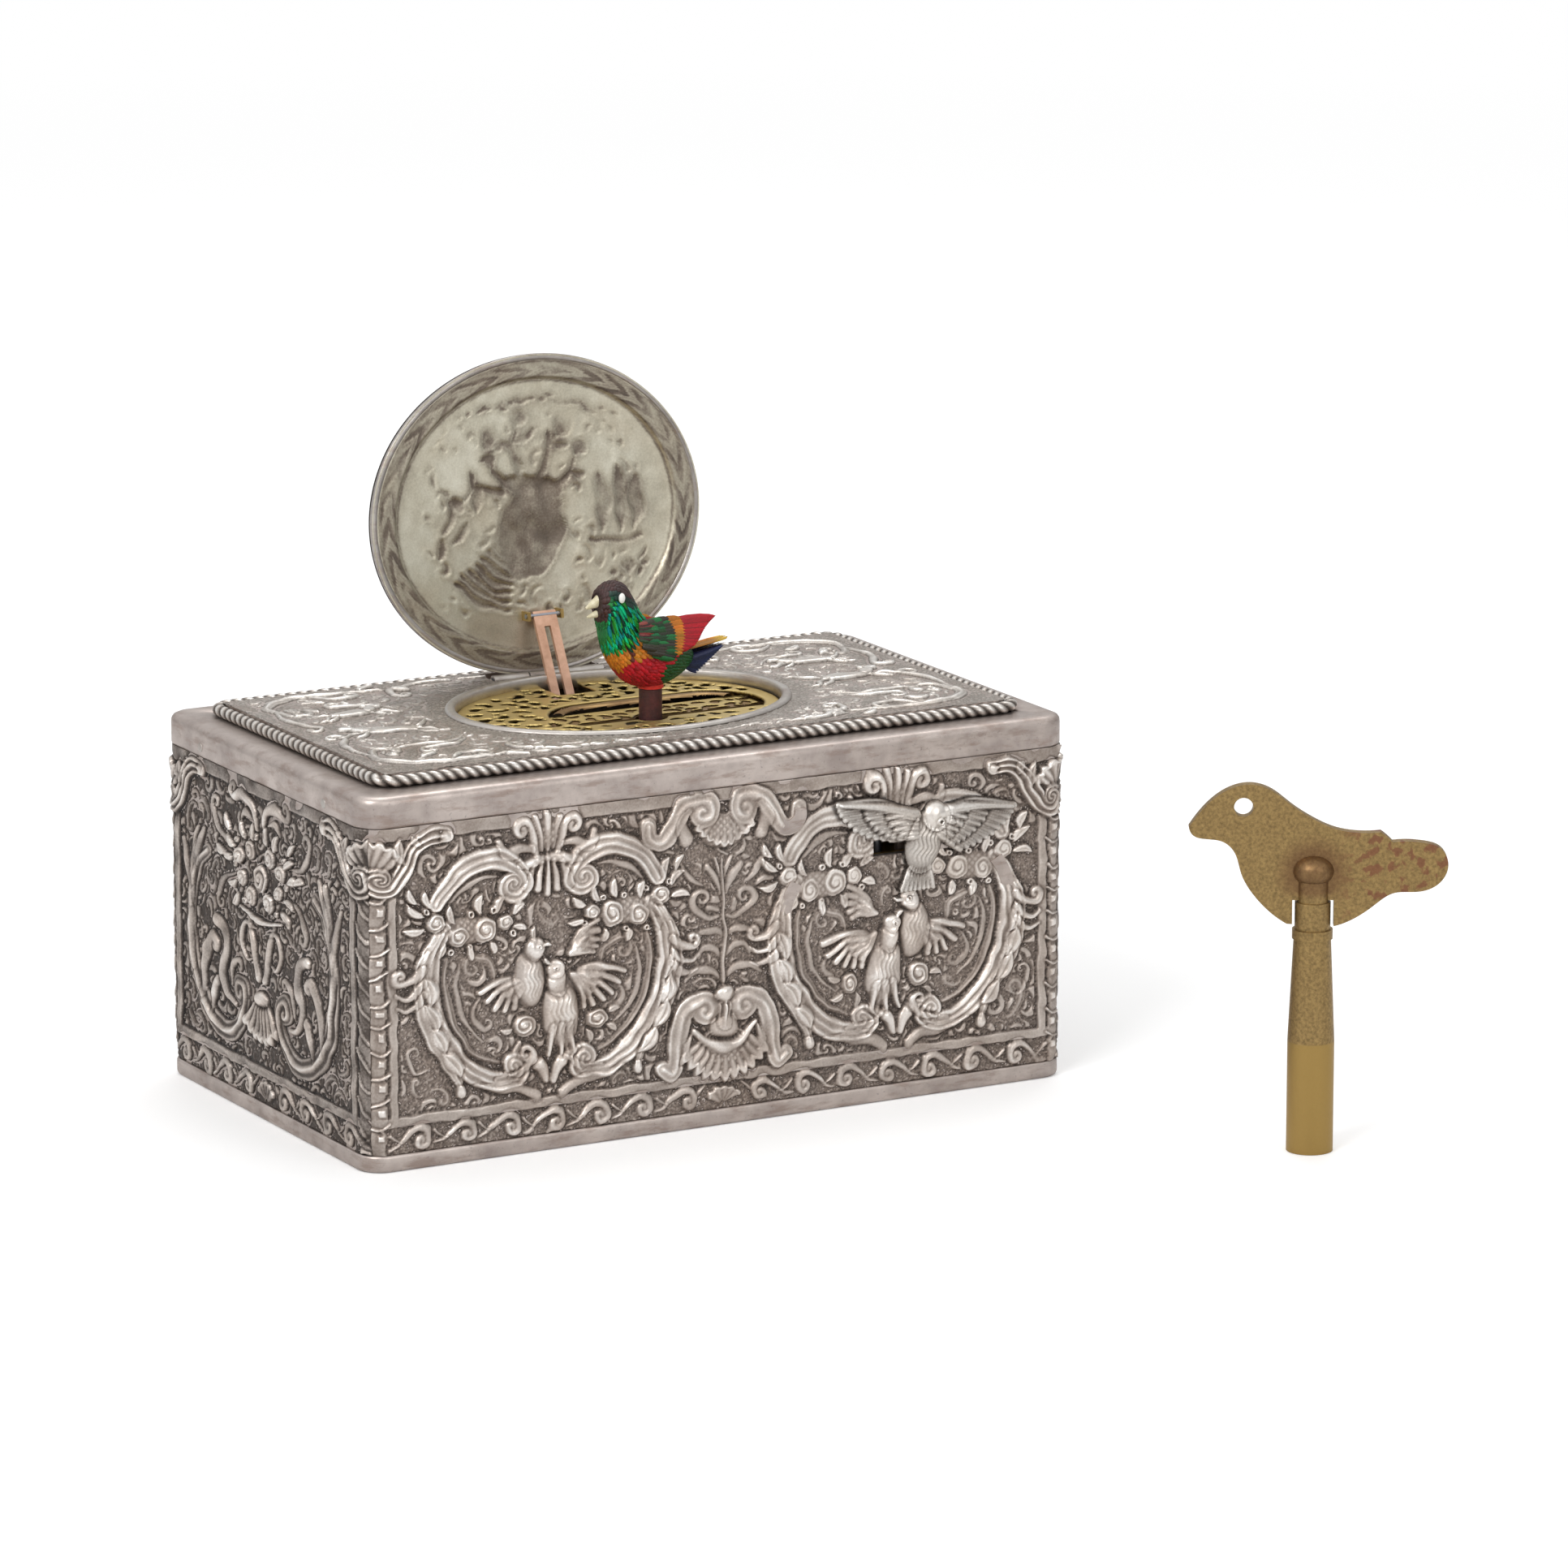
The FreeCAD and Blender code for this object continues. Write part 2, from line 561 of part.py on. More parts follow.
def make_chasing():
    """The main forms of the chasing on the front and the back: scroll bands and swellings."""
    forms = []
    foot = size("scroll_foot")
    tall = size("case_height") - size("scroll_drop") - foot
    beside = half_width / 2
    reach = beside - size("scroll_margin")
    for side in SIDES:
        for middle, hand, bands, swells in (
            (-beside, 1, SCROLL_SHARES, SWELL_SHARES), (beside, -1, SCROLL_SHARES, SWELL_SHARES),
            (nothing, 1, MIDDLE_SCROLL_SHARES, MIDDLE_SWELL_SHARES),
        ):
            by_slider = side < 0 and float(middle) > 0
            for shares in bands:
                low = by_slider and shares[-1][1] > LOW_FORM_SHARE
                rise = size("low_chase_rise") if low else size("chase_rise")
                for way in SIDES:
                    points = [
                        (-side * float(middle + way * x * reach), float(foot + z * tall))
                        for x, z in shares
                    ]
                    forms.append(feature(band_shape(points, side, rise)))
            for x, z, half_wide, half_tall in swells:
                low = by_slider and z > LOW_FORM_SHARE
                rise = size("low_chase_rise") if low else size("chase_rise")
                spot = -side * (middle + hand * x * reach), side * half_depth, foot + z * tall
                forms.append(egg(*spot, half_wide * reach, rise, half_tall * tall))
    return forms


def make_rail():
    """The plain rail round the top, with its pins, and the rope moulding that stands on it."""
    out = size("rail_overhang")
    wide = size("rail_wide")
    inner = width - 2 * wide, depth - 2 * wide, size("rail_inner_round")
    rail = rounded(
        width + 2 * out, depth + 2 * out, corner + out, size("case_height"), size("rail_height"), inner
    )
    pins, holes = [], []
    length = size("rail_pin_length")
    pin_z = size("case_height") + size("rail_height") / 3
    for side in SIDES:
        for place in SIDES:
            pin_y = place * size("rail_pin_apart") / 2
            start = -half_width - out if side < 0 else half_width + out - length
            pins.append(rod_along(X_AXIS, start, pin_y, pin_z, size("rail_pin_radius"), length))
            deep = start if side < 0 else start - seat
            radius = size("rail_pin_radius") + seat
            holes.append(rod_along(X_AXIS, deep, pin_y, pin_z, radius, length + seat))
    part("top_rail", cut(rail, *holes))
    part("rail_pins", group(*pins))
    rope = size("rope_radius")
    inset = size("rope_inset") + rope
    turn = larger(corner + rope - inset, 3 * rope)
    side_x, side_y = half_width - inset, half_depth - inset
    height = rail_top + rope
    runs = []
    for side in SIDES:
        long_run = 2 * (side_x - turn)
        short_run = 2 * (side_y - turn)
        runs.append(rod_along(X_AXIS, turn - side_x, side * side_y, height, rope, long_run))
        runs.append(rod_along(Y_AXIS, side * side_x, turn - side_y, height, rope, short_run))
    for place, (x, y) in enumerate(CORNERS):
        bend = document.addObject("Part::Torus", "Bend")
        bind(bend, {"Radius1": turn, "Radius2": rope})
        bend.Angle3 = QUARTER_TURN
        bend.Placement = FreeCAD.Placement(Vector(), Rotation(Z_AXIS, QUARTER_TURN * place))
        runs.append(move(bend, x * (side_x - turn), y * (side_y - turn), height))
    part("rope_border", fuse(*runs))


def make_top():
    """The top panel, the oval bezel and the pierced grille with its runners and shutters."""
    inset = size("rope_inset") + 2 * size("rope_radius") + fit
    plate = rounded(
        width - 2 * inset, depth - 2 * inset, size("rail_inner_round"), rail_top, size("panel_thick")
    )
    neck_wide = oval_wide + size("bezel_neck")
    neck_deep = oval_deep + size("bezel_neck")
    hole = oval(nothing, oval_y, rail_top - wall, neck_wide + seat, neck_deep + seat, wall * 4)
    knuckle = size("knuckle_radius")
    recess = span(
        -size("knuckle_span") / 2 - clear, size("knuckle_span") / 2 + clear,
        hinge_y - knuckle - 2 * fit, hinge_y + lid_thick + clear, recess_floor, bezel_top,
    )
    part("top_panel", cut(plate, hole, recess))
    flange = oval(
        nothing, oval_y, panel_top, oval_wide + size("bezel_flange_wide"),
        oval_deep + size("bezel_flange_deep"), size("bezel_flange_thick"),
    )
    neck = oval(nothing, oval_y, rail_top, neck_wide, neck_deep, bezel_top - rail_top)
    eye = oval(nothing, oval_y, rail_top - wall, oval_wide, oval_deep, wall * 4)
    part("oval_bezel", cut(fuse(flange, neck), eye))
    part("grille", make_grille())
    lap = size("shutter_lap")
    left, right = size("door_left") - lap, size("door_right") + lap
    runners = []
    for side in SIDES:
        near = left - clear if side < 0 else right + clear
        far = near + side * size("runner_wide")
        front = size("rail_wide") + size("runner_margin") - half_depth
        back = 2 * post_y - front
        low, high = (far, near) if side < 0 else (near, far)
        bar = span(low, high, front, back, ledge_foot, rail_top)
        tip = near - side * lap
        low, high = (near, tip) if side < 0 else (tip, near)
        runners.append(fuse(bar, span(low, high, front, back, ledge_foot, ledge_foot + clear)))
    part("shutter_runners", group(*runners))
    half_gap = size("shutter_gap") / 2
    for label, side, deep in (
        ("front_shutter", -1, size("front_shutter_deep")), ("rear_shutter", 1, size("rear_shutter_deep")),
    ):
        near = post_y + side * half_gap
        far = near + side * deep
        front, back = (far, near) if side < 0 else (near, far)
        sheet_metal = span(left, right, front, back, shutter_top - size("shutter_thick"), shutter_top)
        notch = rod(post_x, post_y, shutter_top - wall, size("shutter_notch"), wall * 2)
        part(label, cut(sheet_metal, notch))


def make_grille():
    """The pierced plate, with the bird's door, the link's slot and a ring of pierced holes."""
    plate = oval(nothing, oval_y, rail_top, oval_wide - fit, oval_deep - fit, size("grille_thick"))
    left, right = size("door_left"), size("door_right")
    front, back = [oval_y + share * oval_deep for share in DOOR_SHARES]
    slot_back = oval_y + oval_deep - size("link_slot_inset")
    end = (back - front) / 2
    low, high = rail_top - wall, rail_top + wall
    tools = [
        span(left + end, right - end, front, back, low, high),
        rod(left + end, (front + back) / 2, low, end, wall * 2),
        rod(right - end, (front + back) / 2, low, end, wall * 2),
        span(
            -size("link_slot_wide") / 2, size("link_slot_wide") / 2,
            slot_back - size("link_slot_length"), slot_back, low, high,
        ),
    ]
    for x_share, y_share in GRILLE_HOLE_SHARES:
        spot = x_share * oval_wide, oval_y + y_share * oval_deep
        tools.append(rod(*spot, low, size("pierce_radius"), wall * 2))
    return cut(plate, *tools)


def swing(item):
    """Turns a piece drawn on the closed lid to where the open lid carries it."""
    moved = group(item)
    moved.Placement = FreeCAD.Placement(Vector(), Rotation(X_AXIS, QUARTER_TURN))
    angle = -size("lid_open")
    shift_y = hinge_y - (hinge_y * cosine(angle) - hinge_z * sine(angle))
    shift_z = hinge_z - (hinge_y * sine(angle) + hinge_z * cosine(angle))
    bind(moved, {
        "Placement.Rotation.Angle": angle, "Placement.Base.y": shift_y, "Placement.Base.z": shift_z,
    })
    return moved


def make_lid():
    """The hollow lid with its hinge, and the copper link that hangs from a bracket in it."""
    wide, deep = size("lid_half_width"), half_depth - size("lid_margin")
    rim_wide, rim_high = size("lid_rim_wide"), size("lid_rim_height")
    foot = bezel_top + size("lid_rest_gap")
    lid_y = hinge_y - deep
    rim_outer = oval(nothing, lid_y, foot, wide, deep, rim_high)
    rim_inner = oval(nothing, lid_y, foot - rim_high, wide - rim_wide, deep - rim_wide, rim_high * 3)
    part("lid_rim", swing(cut(rim_outer, rim_inner)))
    dome, skin = size("lid_dome_height"), size("lid_skin")
    outer = egg(nothing, lid_y, foot + rim_high, wide, deep, dome)
    inner = egg(nothing, lid_y, foot + rim_high, wide - skin, deep - skin, dome - skin)
    outer.Angle1 = 0
    part("lid_shell", swing(cut(outer, inner)))
    knuckle, pin = size("knuckle_radius"), size("hinge_pin_radius")
    lid_span = size("lid_knuckle_span")
    bore = rod_along(X_AXIS, -width / 2, hinge_y, hinge_z, pin + running, width)
    barrel = rod_along(X_AXIS, -lid_span / 2, hinge_y, hinge_z, knuckle, lid_span)
    tab = span(-lid_span / 2, lid_span / 2, hinge_y - knuckle, hinge_y, hinge_z, foot)
    part("lid_knuckle", swing(cut(fuse(barrel, tab), bore)))
    fixed = []
    half_span = size("knuckle_span") / 2
    near = lid_span / 2 + 2 * fit
    for side in SIDES:
        low = near if side > 0 else -half_span
        sleeve = rod_along(X_AXIS, low, hinge_y, hinge_z, knuckle, half_span - near)
        high = half_span if side > 0 else -near
        leaf_top = hinge_z - pin * 3 / 2
        leaf = span(low, high, hinge_y - knuckle, hinge_y + 2 * knuckle, recess_floor, leaf_top)
        fixed.append(cut(fuse(sleeve, leaf), bore))
    part("hinge_knuckles", group(*fixed))
    part("hinge_pin", rod_along(X_AXIS, -half_span, hinge_y, hinge_z, pin, 2 * half_span))
    make_link(lid_y, foot, (wide - skin, deep - skin, dome - skin))


def make_link(lid_y, foot, hollow):
    """The bracket and pin in the lid, and the slit copper link."""
    pivot_y = hinge_y - size("link_pivot_front")
    pivot_z = hinge_z + size("link_pivot_up")
    half = size("link_wide") / 2
    ear, thick, pin = size("link_ear_radius"), size("link_ear_thick"), size("link_pin_radius")
    near = half + fit
    seat_top = foot + size("lid_rim_height")
    ears = [
        span(side * near if side > 0 else -near - thick, near + thick if side > 0 else -near,
             pivot_y - ear, pivot_y + ear, pivot_z - ear, seat_top + hollow[2] / 2)
        for side in SIDES
    ]
    pad = span(
        -near - thick, near + thick, pivot_y - ear, pivot_y + ear, seat_top + thick / 2,
        seat_top + hollow[2] * 2,
    )
    under_dome = egg(nothing, lid_y, seat_top, *hollow)
    bore = rod_along(X_AXIS, -width / 2, pivot_y, pivot_z, pin + seat, width)
    bracket = cut(fuse(*ears, common(pad, under_dome)), bore)
    part("link_bracket", swing(bracket))
    pin_length = 2 * (near + thick + fit)
    part("link_pin", swing(rod_along(X_AXIS, -pin_length / 2, pivot_y, pivot_z, pin, pin_length)))
    length, link_thick = size("link_length"), size("link_thick")
    strap = block(nothing, nothing, -length, size("link_wide"), link_thick, length)
    eye = rod_along(X_AXIS, -half, nothing, nothing, ear, size("link_wide"))
    hole = rod_along(X_AXIS, -width / 2, nothing, nothing, pin + running, width)
    end = size("link_slit_end")
    slit = block(nothing, nothing, end - length, size("link_slit_wide"), wall * 2, length - 2 * end)
    link = group(cut(fuse(strap, eye), hole, slit))
    angle = -size("lid_open")
    offset_y, offset_z = pivot_y - hinge_y, pivot_z - hinge_z
    spin(link, X_AXIS, -size("link_lean"))
    part("lid_link", move(
        link, nothing, hinge_y + offset_y * cosine(angle) - offset_z * sine(angle),
        hinge_z + offset_y * sine(angle) + offset_z * cosine(angle),
    ))


def make_bird():
    """The bird on its post, with its beak, wings and tail as pieces of their own."""
    radius = size("post_radius")
    post_top = rail_top + size("post_rise")
    post = rod(post_x, post_y, size("post_foot"), radius, post_top - size("post_foot"))
    part("bird_post", post)
    collar_foot = post_top + fit
    collar = rod(post_x, post_y, collar_foot, size("collar_radius"), size("collar_height") * 2)
    body_z = rail_top + size("body_rise")
    body_form = (
        size("body_side"), post_y, body_z, size("body_length"), size("body_wide"), size("body_tall"),
        size("body_lean"),
    )
    head_x, head_z, head = size("head_side"), body_z + size("head_rise"), size("head_radius")
    neck_x = (head_x + size("body_side")) / 2
    neck_z = (head_z + body_z) / 2
    neck = egg(neck_x, post_y, neck_z, size("neck_radius"), size("neck_radius"), head + fit)
    eye_half = size("eye_apart") / 2
    eyes = [
        ball(size("eye_side"), post_y + side * eye_half, head_z + size("eye_rise"), size("eye_radius"))
        for side in SIDES
    ]
    whole = fuse(egg(*body_form), neck, ball(head_x, post_y, head_z, head))
    part("perch_collar", cut(collar, egg(*body_form)))
    part("bird_body", cut(whole, *eyes))
    part("bird_eyes", group(*eyes))
    for label, radius, length, height, dip, room in (
        (
            "upper_beak", size("beak_radius"), size("beak_length"), head_z + size("beak_rise"),
            size("beak_dip"), nothing,
        ),
        (
            "lower_beak", size("lower_beak_radius"), size("lower_beak_length"),
            head_z - size("lower_beak_drop"), size("beak_gape"), fit * 3 / 2,
        ),
    ):
        cone = document.addObject("Part::Cone", "Beak")
        bind(cone, {"Radius1": radius, "Radius2": radius * BEAK_TIP_SHARE, "Height": length})
        spin(cone, Y_AXIS, -(QUARTER_TURN + dip))
        move(cone, size("beak_side"), post_y, height)
        part(label, cut(cone, ball(head_x, post_y, head_z, head + room)))
    for label, side in (("left_wing", -1), ("right_wing", 1)):
        wing_y = post_y + side * size("wing_apart") / 2
        wing = egg(
            size("wing_side"), wing_y, body_z + size("wing_rise"), size("wing_length"),
            size("wing_thick"), size("wing_tall"), size("wing_lean"),
        )
        part(label, wing)
    tail = document.addObject("Part::Box", "Tail")
    wide = size("tail_wide")
    bind(tail, {"Length": size("tail_length"), "Width": wide, "Height": size("tail_thick")})
    spin(tail, Y_AXIS, -size("tail_lift"))
    part("tail", move(tail, size("tail_side"), post_y - wide / 2, body_z - size("tail_drop")))


def make_slider():
    """The spread dove that starts the bird, and the stem that carries it through the wall."""
    back = -half_depth - size("slider_lift")
    thick, wide, tall = size("slider_thick"), size("slider_wide"), size("slider_tall")
    z = size("slider_height")
    forms = [
        egg(slider_x, back, z + tall * WING_RISE_SHARE, wide / 2, thick * 3 / 4, tall * WING_TALL_SHARE),
        egg(slider_x, back, z - tall * BODY_DROP_SHARE, wide * BODY_WIDE_SHARE, thick, tall / 2),
    ]
    front = span(slider_x - wide, slider_x + wide, back - 2 * thick, back, z - tall, z + tall)
    part("slider_bird", common(fuse(*forms), front))
    stem_wide = size("stem_wide")
    stem_tall = size("slot_tall") - 2 * fit
    foot = size("slot_height") - stem_tall / 2
    inside = wall + size("guide_thick") + clear - half_depth
    stem = span(
        slider_x - stem_wide / 2, slider_x + stem_wide / 2, back, inside + size("guide_thick"), foot,
        foot + stem_tall,
    )
    keeper = span(
        slider_x - stem_wide, slider_x + stem_wide, inside, inside + size("guide_thick"),
        foot - stem_tall / 2, foot + stem_tall * 3 / 2,
    )
    part("slider_stem", fuse(stem, keeper))


def make_plates():
    """The two movement plates, their pillars and screws, and the bird's guide."""
    left, right, half = size("plate_left"), size("plate_right"), plate_half
    thick = size("plate_thick")
    axle_holes = [
        (cam_x, cam_y, size("axle_radius")), (crank_x, crank_y, size("axle_radius")),
        (fly_x, fly_y, size("axle_radius")), (barrel_x, barrel_y, size("arbor_radius")),
    ]
    shank = screw_shank + seat
    pillar = size("pillar_radius")
    lower = span(left, right, -half, half, lower_foot, lower_top)
    holes = [rod(x, y, lower_foot - wall, r + running, thick + 2 * wall) for x, y, r in axle_holes]
    holes += [rod(x, y, lower_foot - wall, pillar - fit * 3, thick + 2 * wall) for x, y in pillar_spots]
    stud = rod(click_x, click_y, lower_top, size("stud_radius"), size("wheel_thick") * 3 / 2)
    part("lower_plate", fuse(cut(lower, *holes), stud))
    upper = span(left, right, -half, half, upper_foot, upper_top)
    holes = [rod(x, y, upper_foot - wall, r + running, thick + 2 * wall) for x, y, r in axle_holes]
    holes += [rod(x, y, upper_foot - wall, shank, thick + 2 * wall) for x, y in pillar_spots]
    holes.append(rod(post_x, post_y, upper_foot - wall, size("post_radius") + fit, thick + 2 * wall))
    shaft = rod(lever_x, lever_y, upper_top, size("lever_shaft_radius"), size("lever_shaft_height"))
    stop_stud = rod(stop_x, stop_y, upper_top, size("stud_radius"), size("wheel_thick") * 2)
    part("upper_plate", fuse(cut(upper, *holes), shaft, stop_stud))
    pillars, screws, feet = [], [], []
    for x, y in pillar_spots:
        lower_part = rod(x, y, base_top, pillar, lower_foot - base_top)
        shoulder = rod(x, y, lower_foot, pillar - fit * 4, thick)
        upper_part = rod(x, y, lower_top, pillar, upper_foot - lower_top)
        bores = [
            rod(x, y, nothing, shank, lower_foot - seat), rod(x, y, upper_foot - thick, shank, thick * 2),
        ]
        pillars.append(cut(fuse(lower_part, shoulder, upper_part), *bores))
        head = rod(x, y, upper_top, size("plate_screw_radius"), size("plate_screw_head"))
        screws.append(fuse(head, rod(x, y, upper_foot - thick + seat, screw_shank, thick * 2)))
        foot_head = rod(x, y, fit, head_radius, head_high - fit)
        feet.append(fuse(foot_head, rod(x, y, head_high, screw_shank, lower_foot - head_high - fit * 3)))
    part("pillars", group(*pillars))
    part("plate_screws", group(*screws))
    part("foot_screws", group(*feet))
    sleeve = rod(post_x, post_y, upper_top, size("guide_radius"), size("guide_height"))
    bore = rod(post_x, post_y, upper_foot, size("post_radius") + running, size("guide_height") * 2)
    part("bird_guide", cut(sleeve, bore))


def make_winding():
    """The winding arbor, its ratchet and click, and the spring barrel with its great wheel."""
    arbor = size("arbor_radius")
    square = block(
        barrel_x, barrel_y, size("arbor_foot"), size("square_side"), size("square_side"),
        lower_foot - size("arbor_foot"),
    )
    part("winding_arbor", fuse(square, rod(barrel_x, barrel_y, lower_foot, arbor, upper_top - lower_foot)))
    radius, tooth = float(size("ratchet_radius")), float(size("ratchet_tooth"))
    teeth = count("ratchet_teeth")
    step = 2 * math.pi / teeth
    points = []
    for place in range(teeth):
        for reach, share in ((radius - tooth, 0), (radius, 1 - RATCHET_BACK_SHARE)):
            turn = (place + share) * step
            points.append(Vector(reach * math.cos(turn), reach * math.sin(turn), 0))
    outline, hole = Part.makePolygon(points + points[:1]), Part.Wire(Part.makeCircle(float(arbor)))
    rim = Part.makeFace([outline, hole], "Part::FaceMakerBullseye")
    ratchet = rim.extrude(Vector(0, 0, float(size("wheel_thick"))))
    ratchet.translate(Vector(float(barrel_x), float(barrel_y), float(size("ratchet_height"))))
    part("ratchet_wheel", feature(ratchet))
    part("click", lever(
        click_x, click_y, size("ratchet_height"), size("click_turn") + HALF_TURN, size("click_length"),
        size("click_wide"), size("stud_radius") * 2, size("stud_radius") + running, size("wheel_thick"),
    ))
    foot, wheel = size("great_wheel_height"), size("great_wheel_thick")
    high = size("barrel_height")
    outer, skin = size("barrel_radius"), size("barrel_wall")
    great = feature(wheel_shape(
        barrel_x, barrel_y, foot, great_teeth, wheel, arbor + running, size("to_cam_turn")
    ))
    drum = cut(
        rod(barrel_x, barrel_y, foot + wheel, outer, high - wheel),
        rod(barrel_x, barrel_y, foot + wheel, outer - skin, high),
    )
    part("barrel_drum", fuse(great, drum))
    cap = rod(barrel_x, barrel_y, foot + high, outer, size("cap_thick"))
    part("barrel_cap", cut(cap, rod(barrel_x, barrel_y, foot, arbor + running, high * 2)))
    gap = size("spring_gap")
    spring = rod(barrel_x, barrel_y, foot + wheel + gap, outer - skin - gap, size("spring_height"))
    part("mainspring", cut(spring, rod(barrel_x, barrel_y, foot, size("spring_inner"), high * 2)))


def make_train():
    """The cam arbor, the crank arbor and the fly, each with its wheels."""
    axle, thick = size("axle_radius"), size("wheel_thick")
    foot = lower_foot + fit
    pinion_turn = HALF_TURN + HALF_TURN / size("cam_pinion_teeth")
    pinion_thick = size("great_wheel_thick") + 2 * fit
    cam_top = size("cam_height") + CAM_COUNT * size("cam_step")
    part("cam_arbor", fuse(
        rod(cam_x, cam_y, foot, axle, cam_top - foot),
        feature(wheel_shape(
            cam_x, cam_y, size("great_wheel_height") - fit, cam_pinion_teeth, pinion_thick, axle / 2,
            size("to_cam_turn") + pinion_turn,
        )),
        feature(wheel_shape(
            cam_x, cam_y, size("cam_wheel_height"), cam_wheel_teeth, thick, axle / 2,
            size("to_crank_turn"),
        )),
        rod(cam_x, cam_y, size("cam_wheel_height") + thick, size("hub_radius"), thick),
    ))
    cams = [rod(cam_x, cam_y, size("cam_height"), size("hub_radius"), cam_top - size("cam_height") - fit)]
    for place in range(CAM_COUNT):
        turn = Size(repr(place * FULL_TURN / CAM_COUNT), place * FULL_TURN / CAM_COUNT)
        x = cam_x + size("cam_offset") * cosine(turn)
        y = cam_y + size("cam_offset") * sine(turn)
        bottom = size("cam_height") + place * size("cam_step")
        cams.append(rod(x, y, bottom, size("cam_radius"), size("cam_thick")))
    bore = rod(cam_x, cam_y, upper_foot, axle + seat, cam_top)
    part("cam_stack", cut(fuse(*cams), bore))
    crank_foot = size("crank_height")
    pin_x = crank_x - size("crank_throw")
    part("crank_arbor", fuse(
        rod(crank_x, crank_y, foot, axle, crank_foot - foot),
        feature(wheel_shape(
            crank_x, crank_y, size("cam_wheel_height") - fit, crank_pinion_teeth, thick + 2 * fit,
            axle / 2, size("to_crank_turn") + pinion_turn,
        )),
        feature(wheel_shape(
            crank_x, crank_y, size("crank_wheel_height"), crank_wheel_teeth, thick, axle / 2,
            size("to_fly_turn"),
        )),
        rod(crank_x, crank_y, crank_foot, size("crank_disc_radius"), thick),
        rod(
            pin_x, crank_y, crank_foot + thick, size("crank_pin_radius"),
            rod_foot + size("rod_thick") - crank_foot - thick,
        ),
    ))
    blade_foot, blade_high = size("fly_foot"), size("fly_height")
    across, blade = size("fly_radius") * 2, size("fly_blade")
    blades = [
        block(fly_x, fly_y, blade_foot, across, blade, blade_high),
        block(fly_x, fly_y, blade_foot, blade, across, blade_high),
    ]
    part("fly", fuse(
        rod(fly_x, fly_y, foot, axle, upper_top - foot), *blades,
        feature(wheel_shape(
            fly_x, fly_y, size("crank_wheel_height") - fit, fly_pinion_teeth, thick + 2 * fit, axle / 2,
            size("to_fly_turn") + pinion_turn,
        )),
    ))


def make_bellows():
    """The bellows boards, the leather between them and the rod that works them."""
    left, front, back = size("bellows_left"), size("bellows_front"), size("bellows_back")
    thick, tall = size("board_thick"), size("bellows_tall")
    part("fixed_board", span(left, left + thick, front, back, base_top, base_top + tall))
    hinge_x = left + thick + clear
    gape = size("bellows_gape")
    board = block(thick / 2, (back - front) / 2, clear, thick, back - front, tall - clear)
    pin_y = (back - front) * BOARD_PIN_SHARE
    pin = rod(thick / 2, pin_y, tall, size("board_pin_radius"), rod_foot - clear - tall - base_top)
    moving = group(fuse(board, pin))
    spin(moving, Z_AXIS, -gape)
    part("moving_board", move(moving, hinge_x, front, base_top))
    inset = size("fold_inset")
    reach = float(back - front - 2 * inset)
    spread = math.radians(float(gape))
    low = float(left + thick)
    start = float(front + inset)
    corners = [
        Vector(low, start, 0),
        Vector(low + float(inset) * math.tan(spread), start, 0),
        Vector(low + reach * math.sin(spread), start + reach * math.cos(spread), 0),
        Vector(low, start + reach, 0),
    ]
    outline = Part.Face(Part.makePolygon(corners + corners[:1]))
    fold = outline.extrude(Vector(0, 0, float(tall - 2 * inset)))
    fold.translate(Vector(0, 0, float(base_top + inset)))
    part("bellows_leather", feature(fold))
    pin_x = float(crank_x - size("crank_throw"))
    turn = math.radians(-float(gape))
    end_x = float(hinge_x) + float(thick) / 2 * math.cos(turn) - float(pin_y) * math.sin(turn)
    end_y = float(front) + float(thick) / 2 * math.sin(turn) + float(pin_y) * math.cos(turn)
    run_x, run_y = end_x - pin_x, end_y - float(crank_y)
    eye = size("rod_eye_radius")
    shape = lever_shape(
        math.hypot(run_x, run_y), size("rod_wide"), eye, size("crank_pin_radius") + running,
        size("rod_thick"),
    )
    connecting = feature(shape)
    spot = Vector(pin_x, float(crank_y), float(rod_foot))
    angle = math.degrees(math.atan2(run_y, run_x))
    connecting.Placement = FreeCAD.Placement(spot, Rotation(Z_AXIS, angle))
    part("connecting_rod", connecting)


